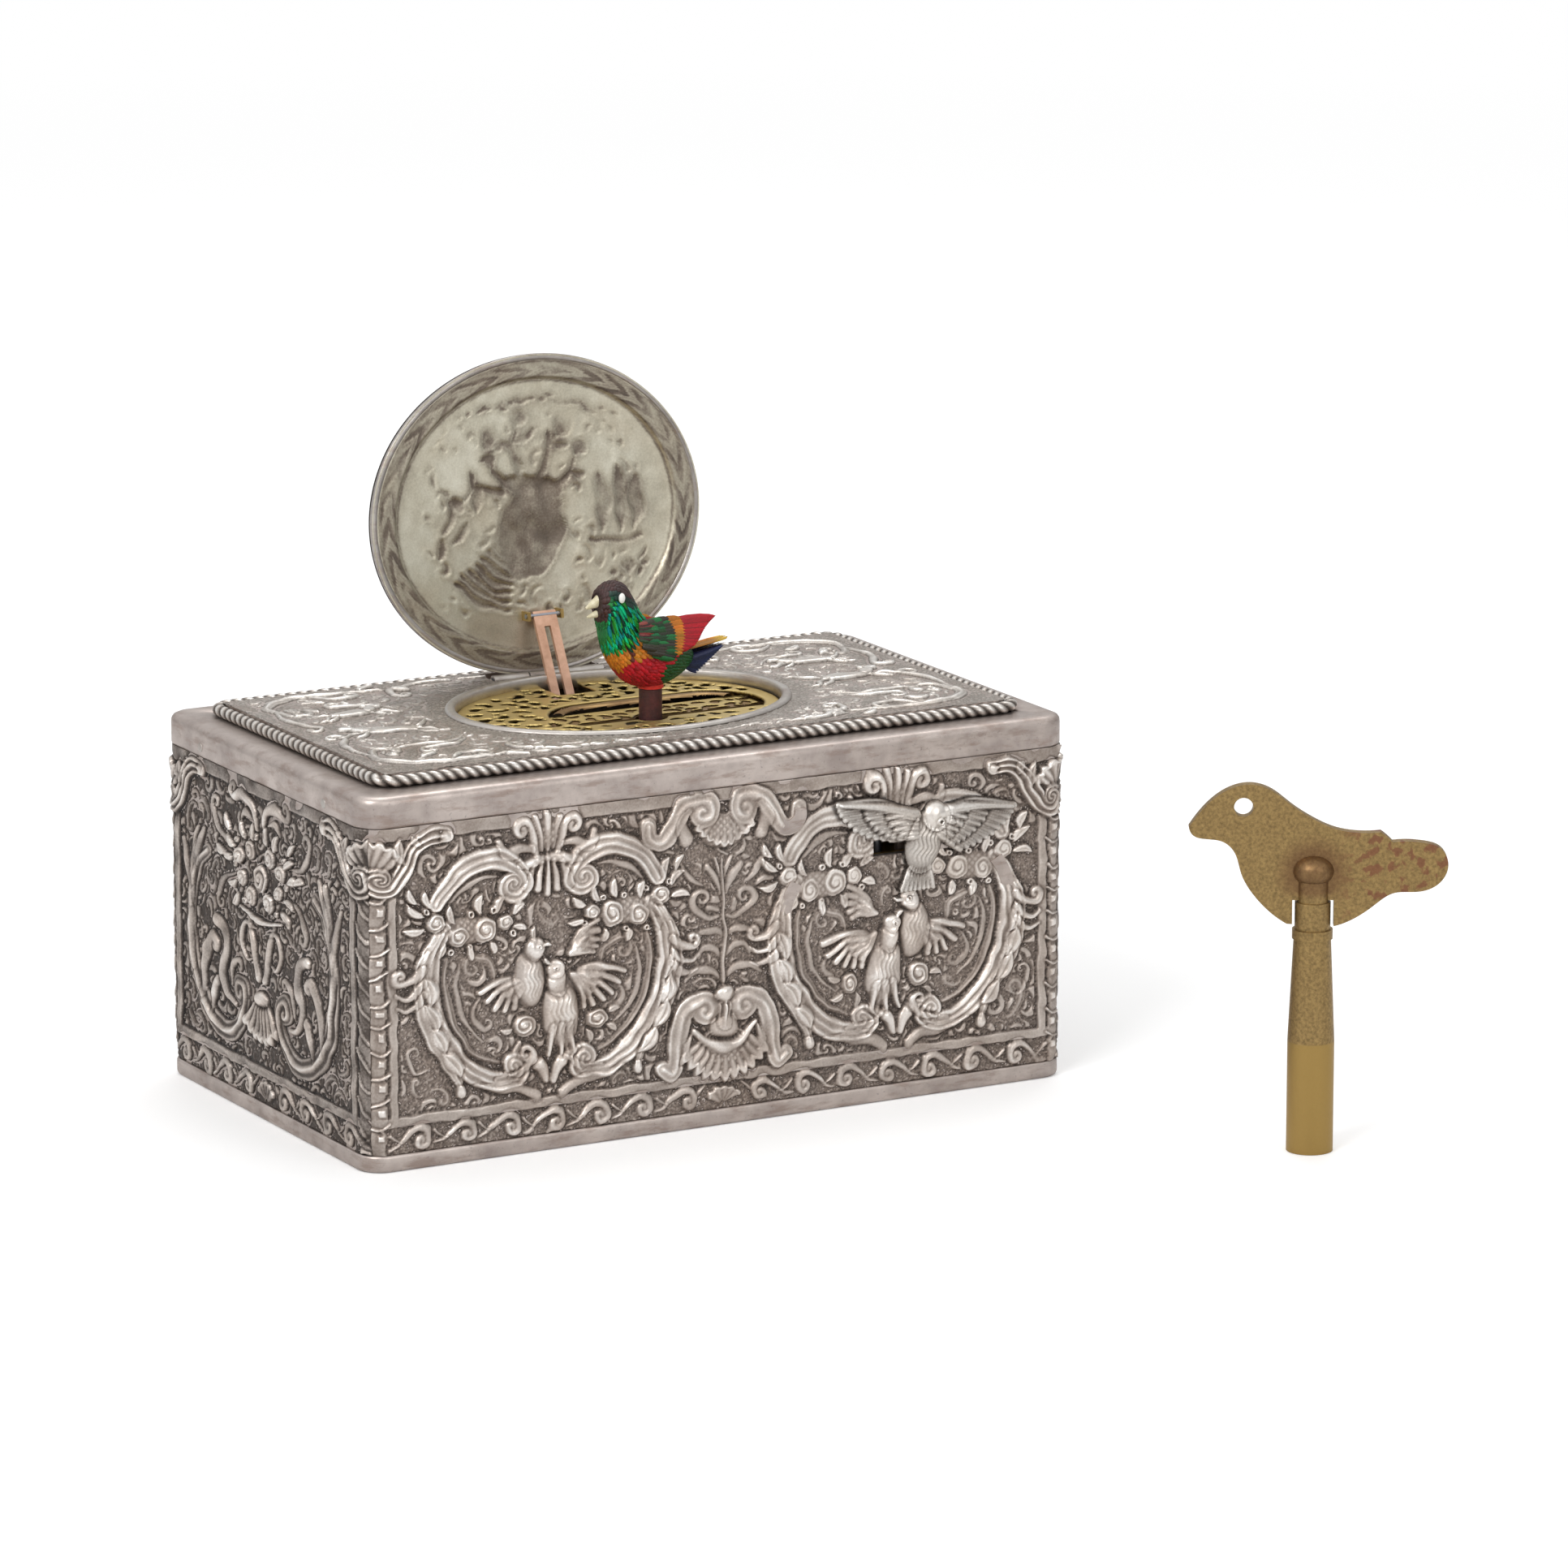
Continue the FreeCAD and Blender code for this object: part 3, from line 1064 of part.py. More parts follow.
def make_whistle():
    """The whistle with its brackets and piston, and the levers that the cams and slider work."""
    left, length = size("whistle_left"), size("whistle_length")
    y, z = back_inside - size("whistle_inset"), size("whistle_height")
    radius, skin = size("whistle_radius"), size("whistle_wall")
    tube = rod_along(X_AXIS, left, y, z, radius, length)
    bore = rod_along(X_AXIS, left + skin, y, z, radius - skin, length)
    mouth = block(left + radius * 2, y, z + radius / 2, radius, radius, radius)
    part("whistle_tube", cut(tube, bore, mouth))
    brackets = [
        cut(block(left + length * share, y, upper_top, size("bracket_wide"), radius * 3 / 2, z - upper_top),
            rod_along(X_AXIS, left - length, y, z, radius, length * 3))
        for share in BRACKET_SHARES
    ]
    part("whistle_brackets", group(*brackets))
    start = left + length * PISTON_START_SHARE
    piston = rod_along(X_AXIS, start, y, z, radius - skin - running, size("piston_length"))
    stick = rod_along(
        X_AXIS, start, y, z, size("piston_rod_radius"), size("piston_length") + size("piston_rod_length")
    )
    part("whistle_piston", fuse(piston, stick))
    hub, thick = size("lever_hub_radius"), size("lever_thick")
    bore_radius = size("lever_shaft_radius") + running
    for label, foot, length, turn in (
        ("whistle_lever", z - thick / 2, size("whistle_lever_length"), size("whistle_lever_turn")),
        ("bird_lever", size("cam_height") + thick, size("bird_lever_length"), size("bird_lever_turn")),
    ):
        part(label, lever(
            lever_x, lever_y, foot, turn, length, size("lever_wide"), hub, bore_radius, thick
        ))
    reach = size("stop_length")
    arm = feature(lever_shape(reach, size("lever_wide"), hub, size("stud_radius") + running, thick))
    finger = rod(
        reach - size("lever_wide") / 2, nothing, nothing, size("stud_radius"),
        size("slot_height") - upper_top,
    )
    stop = group(fuse(arm, finger))
    spin(stop, Z_AXIS, size("stop_turn"))
    part("stop_lever", move(stop, stop_x, stop_y, upper_top + clear))


def make_key():
    """The loose winding key: a turned stem with a square socket, and a flat bow held in its slot."""
    straight, taper = size("key_straight"), size("key_taper_top")
    stem, neck, ring = size("key_stem_radius"), size("key_neck_radius"), size("key_ring_radius")
    ring_high, neck_top = size("key_ring_height"), size("key_neck_top")
    cone = document.addObject("Part::Cone", "Taper")
    bind(cone, {"Radius1": stem, "Radius2": neck, "Height": taper - straight})
    move(cone, nothing, nothing, straight)
    ball_z, ball_tall = size("key_ball_height"), size("key_ball_tall")
    thick = size("key_bow_thick")
    socket = size("square_side") + 2 * fit
    turned = fuse(
        rod(nothing, nothing, nothing, stem, straight), cone,
        rod(nothing, nothing, taper, ring, ring_high),
        rod(nothing, nothing, taper + ring_high, neck - fit, neck_top - taper - ring_high),
        rod(nothing, nothing, neck_top, neck * NECK_SHARE, ball_z - neck_top),
        egg(nothing, nothing, ball_z, size("key_ball_radius"), size("key_ball_radius"), ball_tall / 2),
    )
    slot = block(nothing, nothing, size("key_slot_top"), width, thick, width)
    hole = block(nothing, nothing, -wall, socket, socket, size("key_socket_deep") + wall)
    left, foot = float(size("key_bow_left")), float(size("key_bow_foot"))
    wide, tall = float(size("key_bow_wide")), float(size("key_bow_tall"))
    edges = []
    for shares in BOW_CURVES_SHARES:
        points = [Vector(left + x * wide, 0, foot + z * tall) for x, z in shares]
        curve = Part.BSplineCurve()
        curve.interpolate(points)
        edges.append(curve.toShape())
    outline = Part.Wire(Part.__sortEdges__(edges))
    plate = Part.Face(outline).extrude(Vector(0, float(thick), 0))
    plate.translate(Vector(0, -float(thick) / 2, 0))
    eye_x, eye_z = BOW_EYE_SHARES
    eye = rod_along(
        Y_AXIS, size("key_bow_left") + eye_x * size("key_bow_wide"), -wall,
        size("key_bow_foot") + eye_z * size("key_bow_tall"), size("key_eye_radius"), 2 * wall,
    )
    gap = block(nothing, nothing, nothing, size("key_slot_wide"), 2 * thick, size("key_slot_top"))
    for label, item in (("key_stem", cut(turned, slot, hole)), ("key_bow", cut(feature(plate), eye, gap))):
        standing = group(item)
        spin(standing, Z_AXIS, size("key_turn"))
        part(label, move(standing, size("key_side"), size("key_back"), nothing))


def check_parts():
    """Stops if any object failed, or any sub-part is empty or broken."""
    for item in document.Objects:
        bad = {"Invalid", "Error"} & set(item.State)
        if bad:
            raise RuntimeError(f"{item.Name} {item.Label}: {sorted(bad)} {item.getStatusString()}")
    for item in parts:
        if item.Shape.isNull() or not item.Shape.isValid() or not item.Shape.Solids:
            raise RuntimeError(f"{item.Label} has no sound solid")


def write_parts():
    """Writes each sub-part to a file of its own."""
    os.makedirs("parts", exist_ok=True)
    for item in parts:
        item.Shape.exportStep(f"parts/{item.Label}.step")


fill_sheet()

# Places and sizes that several sub-parts share
nothing = Size("0", 0)
width, depth, corner = size("case_width"), size("case_depth"), size("case_round")
half_width, half_depth = width / 2, depth / 2
wall, seat, fit, clear = size("wall"), size("seat_gap"), size("fit_gap"), size("clear_gap")
running = size("running_gap")
base_top = size("base_thick")
rail_top = size("case_height") + size("rail_height")
panel_top = rail_top + size("panel_thick")
bezel_top = panel_top + size("bezel_flange_thick")
oval_y, oval_wide = size("oval_back"), size("oval_half_width")
oval_deep = half_depth - size("oval_margin")
hinge_y = half_depth - size("hinge_inset")
hinge_z = bezel_top + size("lid_rest_gap") - size("hinge_drop")
recess_floor = panel_top - size("hinge_recess_deep")
back_inside = half_depth - wall
lid_thick = size("hinge_drop") + size("lid_rim_height") + size("lid_dome_height")
shutter_top = rail_top - clear
ledge_foot = shutter_top - size("shutter_thick") - 2 * clear
post_x, post_y = size("post_side"), size("post_back")
slider_x = size("slider_side")
lower_foot = size("lower_plate_height")
lower_top = lower_foot + size("plate_thick")
upper_foot = size("upper_plate_height")
upper_top = upper_foot + size("plate_thick")
screw_shank, head_radius, head_high = size("stud_radius"), size("plate_screw_radius"), base_top / 2
inset_pillar, plate_half = size("pillar_inset"), back_inside - size("plate_margin")
pillar_spots = [
    (x, side * (plate_half - inset_pillar))
    for x in (size("plate_left") + inset_pillar, size("plate_right") - inset_pillar)
    for side in SIDES
]
great_teeth, cam_pinion_teeth = count("great_teeth"), count("cam_pinion_teeth")
cam_wheel_teeth, crank_pinion_teeth = count("cam_wheel_teeth"), count("crank_pinion_teeth")
crank_wheel_teeth, fly_pinion_teeth = count("crank_wheel_teeth"), count("fly_pinion_teeth")
barrel_x, barrel_y = size("barrel_side"), back_inside - size("barrel_inset")
cam_far = size("gear_module_length") * (size("great_teeth") + size("cam_pinion_teeth")) / 2
cam_x = barrel_x + cam_far * cosine(size("to_cam_turn"))
cam_y = barrel_y + cam_far * sine(size("to_cam_turn"))
crank_far = size("gear_module_length") * (size("cam_wheel_teeth") + size("crank_pinion_teeth")) / 2
crank_x = cam_x + crank_far * cosine(size("to_crank_turn"))
crank_y = cam_y + crank_far * sine(size("to_crank_turn"))
fly_far = size("gear_module_length") * (size("crank_wheel_teeth") + size("fly_pinion_teeth")) / 2
fly_x = crank_x + fly_far * cosine(size("to_fly_turn"))
fly_y = crank_y + fly_far * sine(size("to_fly_turn"))
click_x = barrel_x + size("click_far") * cosine(size("click_turn"))
click_y = barrel_y + size("click_far") * sine(size("click_turn"))
lever_x, lever_y = size("lever_side"), back_inside - size("lever_inset")
stop_x, stop_y = size("stop_side"), size("stop_inset") - back_inside
rod_foot = size("crank_height") + size("wheel_thick") + clear

make_case()
make_rail()
make_top()
make_lid()
make_bird()
make_slider()
make_plates()
make_winding()
make_train()
make_bellows()
make_whistle()
make_key()
document.recompute()
check_parts()
write_parts()
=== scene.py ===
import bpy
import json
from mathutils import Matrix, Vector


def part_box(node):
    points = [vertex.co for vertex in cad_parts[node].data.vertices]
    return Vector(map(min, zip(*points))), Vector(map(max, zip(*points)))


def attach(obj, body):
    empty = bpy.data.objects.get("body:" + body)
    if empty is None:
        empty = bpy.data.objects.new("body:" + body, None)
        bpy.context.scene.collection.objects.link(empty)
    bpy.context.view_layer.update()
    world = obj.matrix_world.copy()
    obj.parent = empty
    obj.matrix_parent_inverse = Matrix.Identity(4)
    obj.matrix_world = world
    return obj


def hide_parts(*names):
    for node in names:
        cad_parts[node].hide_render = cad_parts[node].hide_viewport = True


bl_info = {
    "name": "Singing bird box",
    "version": (1, 0),
    "blender": (4, 5, 0),
    "location": "3D View > Sidebar > Bird Box",
    "description": "Dresses a silver singing bird box: its chased walls, grille, lid, bird and key",
    "category": "Object",
}

import json
import math

import bmesh
import bpy
import numpy as np
from bpy.props import FloatProperty, FloatVectorProperty, IntProperty, PointerProperty
from mathutils import Vector

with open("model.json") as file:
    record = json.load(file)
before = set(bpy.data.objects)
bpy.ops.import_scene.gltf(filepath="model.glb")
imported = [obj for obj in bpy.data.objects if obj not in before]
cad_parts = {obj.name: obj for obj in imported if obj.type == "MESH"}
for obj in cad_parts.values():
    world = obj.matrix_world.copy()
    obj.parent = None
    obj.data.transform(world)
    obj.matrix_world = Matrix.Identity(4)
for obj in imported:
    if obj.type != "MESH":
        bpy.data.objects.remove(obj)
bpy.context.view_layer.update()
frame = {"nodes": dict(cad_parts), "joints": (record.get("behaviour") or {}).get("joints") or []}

# Everything below is drawn in millimetres and written to the meshes in metres
MM = 0.001


def corner_of(node, high):
    """A frame node's lowest or highest corner, in millimetres."""
    return np.array(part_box(node)[1 if high else 0]) / MM


# Sizes that the frame gives
RAIL_OUT = 0.45
HALF_WIDTH, HALF_DEPTH, RAIL_TOP = corner_of("top_rail", True) - (RAIL_OUT, RAIL_OUT, 0)
CASE_TOP = corner_of("case_walls", True)[2]
CASE_ROUND = 3.0
BAND_TOP = corner_of("base_moulding", True)[2]
PANEL_LOW, PANEL_HIGH = corner_of("top_panel", False), corner_of("top_panel", True)
BEZEL_LOW, BEZEL_HIGH = corner_of("oval_bezel", False), corner_of("oval_bezel", True)
ROPE_LOW, ROPE_HIGH = corner_of("rope_border", False), corner_of("rope_border", True)
GRILLE_LOW, GRILLE_HIGH = corner_of("grille", False), corner_of("grille", True)
OVAL_BACK = (BEZEL_LOW[1] + BEZEL_HIGH[1]) / 2
OVAL_WIDE = GRILLE_HIGH[0]
OVAL_DEEP = GRILLE_HIGH[1] - OVAL_BACK
HINGE = {joint["name"]: joint for joint in frame["joints"]}["lid_swing"]["pos_m"]
HINGE_BACK, HINGE_UP = HINGE[1] / MM, HINGE[2] / MM
LID_OPEN = math.radians(95)
LID_WIDE = corner_of("lid_rim", True)[0]
LID_DEEP = 21.0
LID_FOOT = BEZEL_HIGH[2] + 0.05
LINK_LEAN, LINK_LONG, LINK_WIDE = math.radians(27.8), 13.0, 3.3
ROPE_ROUND, ROPE_SIDES, ROPE_FLAT = 2.7, 18, 0.86
RAIL_DEEP = 6.3
SHOULDER_HIGH, FAR_WING_FOLD = 61, math.radians(14)
DOOR_LEFT, DOOR_RIGHT, DOOR_MIDDLE, DOOR_ROUND = -10.0, 19.5, -2.4, 7.0
POST_X, POST_BACK = ((corner_of("bird_post", False) + corner_of("bird_post", True)) / 2)[:2]
SLIDER_LOW, SLIDER_HIGH = corner_of("slider_bird", False), corner_of("slider_bird", True)
SLOT_LOW, SLOT_HIGH = 32.4, 34.6
STEM_INSET, SLOT_PLAY, SLIDER_TRAVEL = 2.0, 0.3, 6.5
SLOT_RIGHT = corner_of("slider_stem", True)[0] - STEM_INSET + SLOT_PLAY
SLOT_LEFT = corner_of("slider_stem", False)[0] + STEM_INSET - (SLIDER_TRAVEL + SLOT_PLAY)

# Where the floor fades to white, as distances from the middle
FLOOR_FADE = (420, 900)

# Camera and picture
PICTURE = 1932
CAMERA_AT = (-0.50282, -0.95816, 0.28942)
CAMERA_TURN = math.radians(28.838)
CAMERA_TILT = math.radians(13.061)
LENS_PIXELS = 10619.2
SENSOR = 36.0


class Number:
    """A shader number that Python's signs work on."""

    def __init__(self, graph, socket):
        self.graph = graph
        self.socket = socket

    def made(self, operation, *values):
        """The result of one Math node."""
        inputs = dict(enumerate(values))
        node = self.graph.node("ShaderNodeMath", {"operation": operation}, inputs)
        return Number(self.graph, node.outputs[0])

    def __add__(self, other):
        return self.made("ADD", self, other)

    __radd__ = __add__

    def __sub__(self, other):
        return self.made("SUBTRACT", self, other)

    def __rsub__(self, other):
        return self.made("SUBTRACT", other, self)

    def __mul__(self, other):
        return self.made("MULTIPLY", self, other)

    __rmul__ = __mul__

    def between(self, low, high):
        """This number, spread so that low gives 0 and high gives 1, and no more."""
        inputs = {"Value": self, "From Min": low, "From Max": high}
        node = self.graph.node("ShaderNodeMapRange", {"clamp": True}, inputs)
        return Number(self.graph, node.outputs[0])


class Graph:
    """The nodes of one material or of the world."""

    def __init__(self, owner):
        owner.use_nodes = True
        self.tree = owner.node_tree
        self.tree.nodes.clear()

    def node(self, kind, settings=None, inputs=None):
        """One node: its settings first, then the values or links of its sockets."""
        item = self.tree.nodes.new(kind)
        for name, value in (settings or {}).items():
            if name == "stops":
                self.set_stops(item.color_ramp, value)
            else:
                setattr(item, name, value)
        for name, value in (inputs or {}).items():
            socket = item.inputs[name]
            if isinstance(value, Number):
                self.tree.links.new(value.socket, socket)
            elif isinstance(value, bpy.types.NodeSocket):
                self.tree.links.new(value, socket)
            else:
                socket.default_value = value
        return item

    def set_stops(self, ramp, stops):
        """Gives a colour ramp its stops."""
        while len(ramp.elements) > 1:
            ramp.elements.remove(ramp.elements[-1])
        for index, (place, colour) in enumerate(stops):
            stop = ramp.elements[0] if index == 0 else ramp.elements.new(place)
            stop.position = place
            stop.color = (*colour, 1)

    def ramp(self, factor, *stops):
        """A colour from a number."""
        return self.node("ShaderNodeValToRGB", {"stops": stops}, {"Fac": factor}).outputs[0]

    def mix(self, factor, first, second, blend="MIX"):
        """Two colours mixed."""
        settings = {"data_type": "RGBA", "blend_type": blend}
        return self.node("ShaderNodeMix", settings, {0: factor, 6: first, 7: second}).outputs[2]

    def place(self, stretch=(1, 1, 1)):
        """The object's own coordinates, in millimetres, stretched."""
        where = self.node("ShaderNodeTexCoord").outputs["Object"]
        scale = [share / MM for share in stretch]
        return self.node("ShaderNodeMapping", None, {"Vector": where, "Scale": scale}).outputs[0]

    def noise(self, where, scale, detail=3.0, rough=0.55):
        """Cloudy noise, from 0 to 1, with so many clouds to a millimetre."""
        inputs = {"Vector": where, "Scale": scale, "Detail": detail, "Roughness": rough}
        return Number(self, self.node("ShaderNodeTexNoise", None, inputs).outputs[0])

    def attribute(self, name):
        """A number kept on the mesh."""
        settings = {"attribute_name": name}
        return self.node("ShaderNodeAttribute", settings)

    def bump(self, height, distance):
        """A bump from a height, so many millimetres high."""
        inputs = {"Height": height, "Distance": distance * MM, "Strength": 1.0}
        return self.node("ShaderNodeBump", None, inputs).outputs[0]

    def surface(self, **inputs):
        """The finished surface, on the output."""
        sockets = {key.replace("_", " ").title(): value for key, value in inputs.items()}
        shader = self.node("ShaderNodeBsdfPrincipled", None, sockets)
        self.node("ShaderNodeOutputMaterial", None, {"Surface": shader.outputs[0]})


def new_material(name):
    """An empty material and its graph."""
    material = bpy.data.materials.new(name)
    return material, Graph(material)


def chased_silver(name, ground, shade, light, gloss, worn=0.0):
    """Oxidised silver whose kept patina attribute is 0 in the hollows and 1 on the heights."""
    material, graph = new_material(name)
    where = graph.place()
    patina = Number(graph, graph.attribute("patina").outputs["Fac"])
    cloud = graph.noise(where, 0.35, 4.0)
    speck = graph.noise(where, 3.4, 2.0)
    # worn raises or lowers the whole level; on the end walls it is lowered by 0.06 as painted shade
    level = patina + (cloud - 0.5) * 0.20 + (speck - 0.5) * 0.30 + worn
    colour = graph.ramp(level, (0.0, ground), (0.36, shade), (0.78, light), (1.0, gloss))
    warm = graph.noise(where, 0.12, 3.0)
    tinted = graph.mix(warm.between(0.42, 0.7) * 0.5, colour, (0.86, 0.79, 0.73, 1), "MULTIPLY")
    rough = 0.52 - level.between(0.3, 1.0) * 0.2
    grain = graph.noise(where, 5.0, 4.0) * 0.6 + graph.noise(where, 1.3, 2.0) * 0.4
    graph.surface(
        base_color=tinted, metallic=level.between(0.0, 0.3) * 0.35 + 0.5, roughness=rough,
        normal=graph.bump(grain, 0.035),
    )
    return material


def plain_silver(name, light, shade, scratches=0.5):
    """Smooth worn silver with a purplish bloom and fine pits."""
    material, graph = new_material(name)
    where = graph.place()
    cloud = graph.noise(where, 0.16, 5.0, 0.62)
    speck = graph.noise(where, 2.4, 4.0, 0.6)
    colour = graph.mix(cloud.between(0.36, 0.66), (*light, 1), (*shade, 1))
    pits = speck.between(0.62, 0.74) * scratches
    streak = graph.noise(graph.place((0.25, 0.25, 1.0)), 0.8, 5.0, 0.65)
    brown = graph.mix(streak.between(0.50, 0.64) * scratches * 1.3, colour, (0.30, 0.225, 0.19, 1))
    worn = graph.mix(pits, brown, (0.16, 0.14, 0.135, 1))
    fine = graph.noise(graph.place((0.4, 0.4, 6.0)), 1.2, 3.0)
    graph.surface(
        base_color=worn, metallic=0.85, roughness=0.30 + cloud * 0.22,
        normal=graph.bump(speck * 0.7 + fine * 0.3, 0.02),
    )
    return material


def gilt(name, deep, light, rough=0.34):
    """Gilt brass, brown in its hollows."""
    material, graph = new_material(name)
    where = graph.place()
    patina = Number(graph, graph.attribute("patina").outputs["Fac"])
    cloud = graph.noise(where, 0.5, 4.0)
    level = patina + (cloud - 0.5) * 0.35
    colour = graph.ramp(level, (0.0, deep), (0.55, light), (1.0, tuple(c * 1.18 for c in light)))
    graph.surface(
        base_color=colour, metallic=0.85, roughness=rough + cloud * 0.15,
        normal=graph.bump(graph.noise(where, 3.0), 0.03),
    )
    return material


def metal(name, light, dark, rough, cloud_size=0.3, grain=0.02, metallic=0.92):
    """Plain metal with clouds of tarnish and a fine grain."""
    material, graph = new_material(name)
    where = graph.place()
    cloud = graph.noise(where, cloud_size, 4.0, 0.6)
    colour = graph.mix(cloud.between(0.35, 0.72), (*light, 1), (*dark, 1))
    graph.surface(
        base_color=colour, metallic=metallic, roughness=cloud * 0.2 + rough,
        normal=graph.bump(graph.noise(where, 4.0), grain),
    )
    return material


def soft_stuff(name, light, dark, rough, scale, stretch=(1, 1, 1), bump=0.05):
    """Wood, leather or bone: one colour with grain."""
    material, graph = new_material(name)
    grain = graph.noise(graph.place(stretch), scale, 5.0)
    colour = graph.mix(grain.between(0.3, 0.7), (*light, 1), (*dark, 1))
    graph.surface(base_color=colour, roughness=rough, normal=graph.bump(grain, bump))
    return material


def feather_stuff(name):
    """Dyed feathers, coloured by the mesh, with a metallic glint on the green."""
    material, graph = new_material(name)
    tint = graph.attribute("tint").outputs["Color"]
    barbs = graph.noise(graph.place((2.0, 2.0, 2.0)), 3.0, 4.0)
    dark = graph.mix(barbs.between(0.35, 0.7) * 0.45, tint, (0.35, 0.35, 0.35, 1), "MULTIPLY")
    glint = Number(graph, graph.attribute("glint").outputs["Fac"])
    graph.surface(
        base_color=dark, metallic=glint * 0.6, roughness=0.55 - glint * 0.25,
        normal=graph.bump(barbs, 0.03),
    )
    return material


def key_brass(name):
    """The key's brass: olive, with red-brown blotches on the tail and a dark halo by the ball."""
    material, graph = new_material(name)
    where = graph.place()
    low, high = corner_of("key_bow", False), corner_of("key_bow", True)
    spots = graph.noise(where, 0.75, 3.0, 0.5)
    fine = graph.noise(where, 2.5, 4.0, 0.6)
    side = graph.node("ShaderNodeSeparateXYZ", None, {"Vector": where})
    across = Number(graph, side.outputs[0])
    up = Number(graph, side.outputs[2])
    tail = across.between(low[0] + (high[0] - low[0]) * 0.55, high[0])
    blotch = spots.between(0.54, 0.60) * tail.between(0.0, 0.25)
    base = graph.mix(fine.between(0.3, 0.7), (0.38, 0.255, 0.10, 1), (0.19, 0.125, 0.052, 1))
    clean = graph.mix(up.between(14.1, 14.3), (0.36, 0.235, 0.075, 1), base)
    spotted = graph.mix(blotch * 0.75, clean, (0.20, 0.075, 0.045, 1))
    middle = corner_of("key_stem", False) + corner_of("key_stem", True)
    near_x, near_y = middle[0] / 2, middle[1] / 2
    out = graph.node("ShaderNodeVectorMath", {"operation": "DISTANCE"}, {
        0: where, 1: (near_x, near_y, 35.8),
    })
    halo = 1 - Number(graph, out.outputs["Value"]).between(3.1, 5.2)
    on_bow = up.between(32.5, 33.5)
    stained = graph.mix(halo * on_bow * 0.55, spotted, (0.13, 0.055, 0.03, 1))
    graph.surface(
        base_color=stained, metallic=0.85, roughness=0.32 + fine * 0.25,
        normal=graph.bump(fine, 0.02),
    )
    return material


MATERIALS = {}


def make_materials(case, bird):
    """Every finish, kept by name."""
    MATERIALS["walls"] = chased_silver(
        "chased silver walls", (0.052, 0.039, 0.032), tuple(case.shade), tuple(case.light),
        (0.84, 0.79, 0.745),
    )
    # The ends: a darker copy of the walls' silver, patina in its hollows with painted shade deepening the hollows and
    # middle tones
    MATERIALS["shaded end wall"] = chased_silver(
        "chased silver end with painted shade", (0.014, 0.011, 0.010), (0.105, 0.086, 0.075), tuple(case.light),
        (0.86, 0.815, 0.77), -0.06,
    )
    MATERIALS["top"] = chased_silver(
        "chased silver top", (0.032, 0.026, 0.022), (0.27, 0.242, 0.215), (0.66, 0.622, 0.58),
        (0.92, 0.89, 0.85), 0.03,
    )
    MATERIALS["rope"] = chased_silver(
        "twisted silver rope", (0.02, 0.016, 0.013), (0.22, 0.19, 0.168), (0.54, 0.505, 0.47),
        (0.82, 0.79, 0.75), 0.0,
    )
    MATERIALS["rail"] = plain_silver("smooth silver rail", (0.56, 0.49, 0.45), (0.36, 0.305, 0.28))
    MATERIALS["bezel"] = plain_silver("smooth silver bezel", (0.56, 0.53, 0.495), (0.38, 0.35, 0.325), 0.35)
    MATERIALS["lid inside"] = chased_silver(
        "champagne silver", (0.055, 0.043, 0.035), (0.195, 0.16, 0.128), (0.52, 0.485, 0.385),
        (0.68, 0.65, 0.54), 0.0,
    )
    MATERIALS["gilt"] = gilt("gilt scrollwork", (0.055, 0.036, 0.014), (0.52, 0.395, 0.155))
    # The front shutter is near black: painted shadow, seen through the grille and the pierced scrollwork
    MATERIALS["shutter"] = metal("shutter painted as shadow", (0.06, 0.04, 0.022), (0.035, 0.022, 0.012), 0.45)
    MATERIALS["lip"] = metal("coppery lip", (0.36, 0.235, 0.105), (0.17, 0.095, 0.045), 0.35)
    MATERIALS["lid rim"] = plain_silver("worn silver rim", (0.44, 0.41, 0.385), (0.27, 0.245, 0.225), 0.4)
    MATERIALS["brass"] = metal("aged brass", (0.58, 0.43, 0.17), (0.36, 0.24, 0.09), 0.28)
    MATERIALS["steel"] = metal("worked steel", (0.42, 0.43, 0.46), (0.24, 0.25, 0.29), 0.3)
    MATERIALS["copper"] = metal("satin copper", (0.74, 0.47, 0.34), (0.52, 0.30, 0.20), 0.38, 0.4, 0.03, 0.7)
    MATERIALS["post"] = metal("dark lacquer", (0.085, 0.02, 0.02), (0.035, 0.012, 0.012), 0.4, 0.8, 0.05, 0.1)
    MATERIALS["bone"] = soft_stuff("bone", (0.82, 0.76, 0.56), (0.55, 0.48, 0.30), 0.35, 1.4)
    MATERIALS["eye"] = soft_stuff("white glass bead", (0.88, 0.87, 0.83), (0.78, 0.77, 0.72), 0.2, 1.0)
    MATERIALS["wood"] = soft_stuff("planed wood", (0.42, 0.24, 0.12), (0.26, 0.14, 0.07), 0.6, 0.7, (4, 4, 0.4))
    MATERIALS["leather"] = soft_stuff("thin leather", (0.72, 0.64, 0.50), (0.56, 0.47, 0.34), 0.7, 2.0)
    MATERIALS["feathers"] = feather_stuff("dyed feathers")
    MATERIALS["collar"] = soft_stuff("red lacquer", (0.72, 0.03, 0.015), (0.55, 0.015, 0.012), 0.4, 2.0)
    MATERIALS["key"] = key_brass("key brass")


def clear_selection():
    """Leaves edit mode, with nothing selected."""
    if bpy.context.object and bpy.context.object.mode != "OBJECT":
        bpy.ops.object.mode_set(mode="OBJECT")
    bpy.ops.object.select_all(action="DESELECT")


def bent_grid(name, columns, rows, place, closed=False):
    """A grid whose corners are placed by a function of how far across and up they lie."""
    clear_selection()
    bpy.ops.mesh.primitive_grid_add(x_subdivisions=columns - 1, y_subdivisions=rows - 1, size=1)
    item = bpy.context.object
    item.name = name
    flat = np.empty(len(item.data.vertices) * 3)
    item.data.vertices.foreach_get("co", flat)
    flat = flat.reshape(-1, 3) + 0.5
    spots = place(flat[:, 0], flat[:, 1])
    item.data.vertices.foreach_set("co", (spots * MM).ravel())
    item.data.update()
    if closed:
        weld(0.001)
    return item


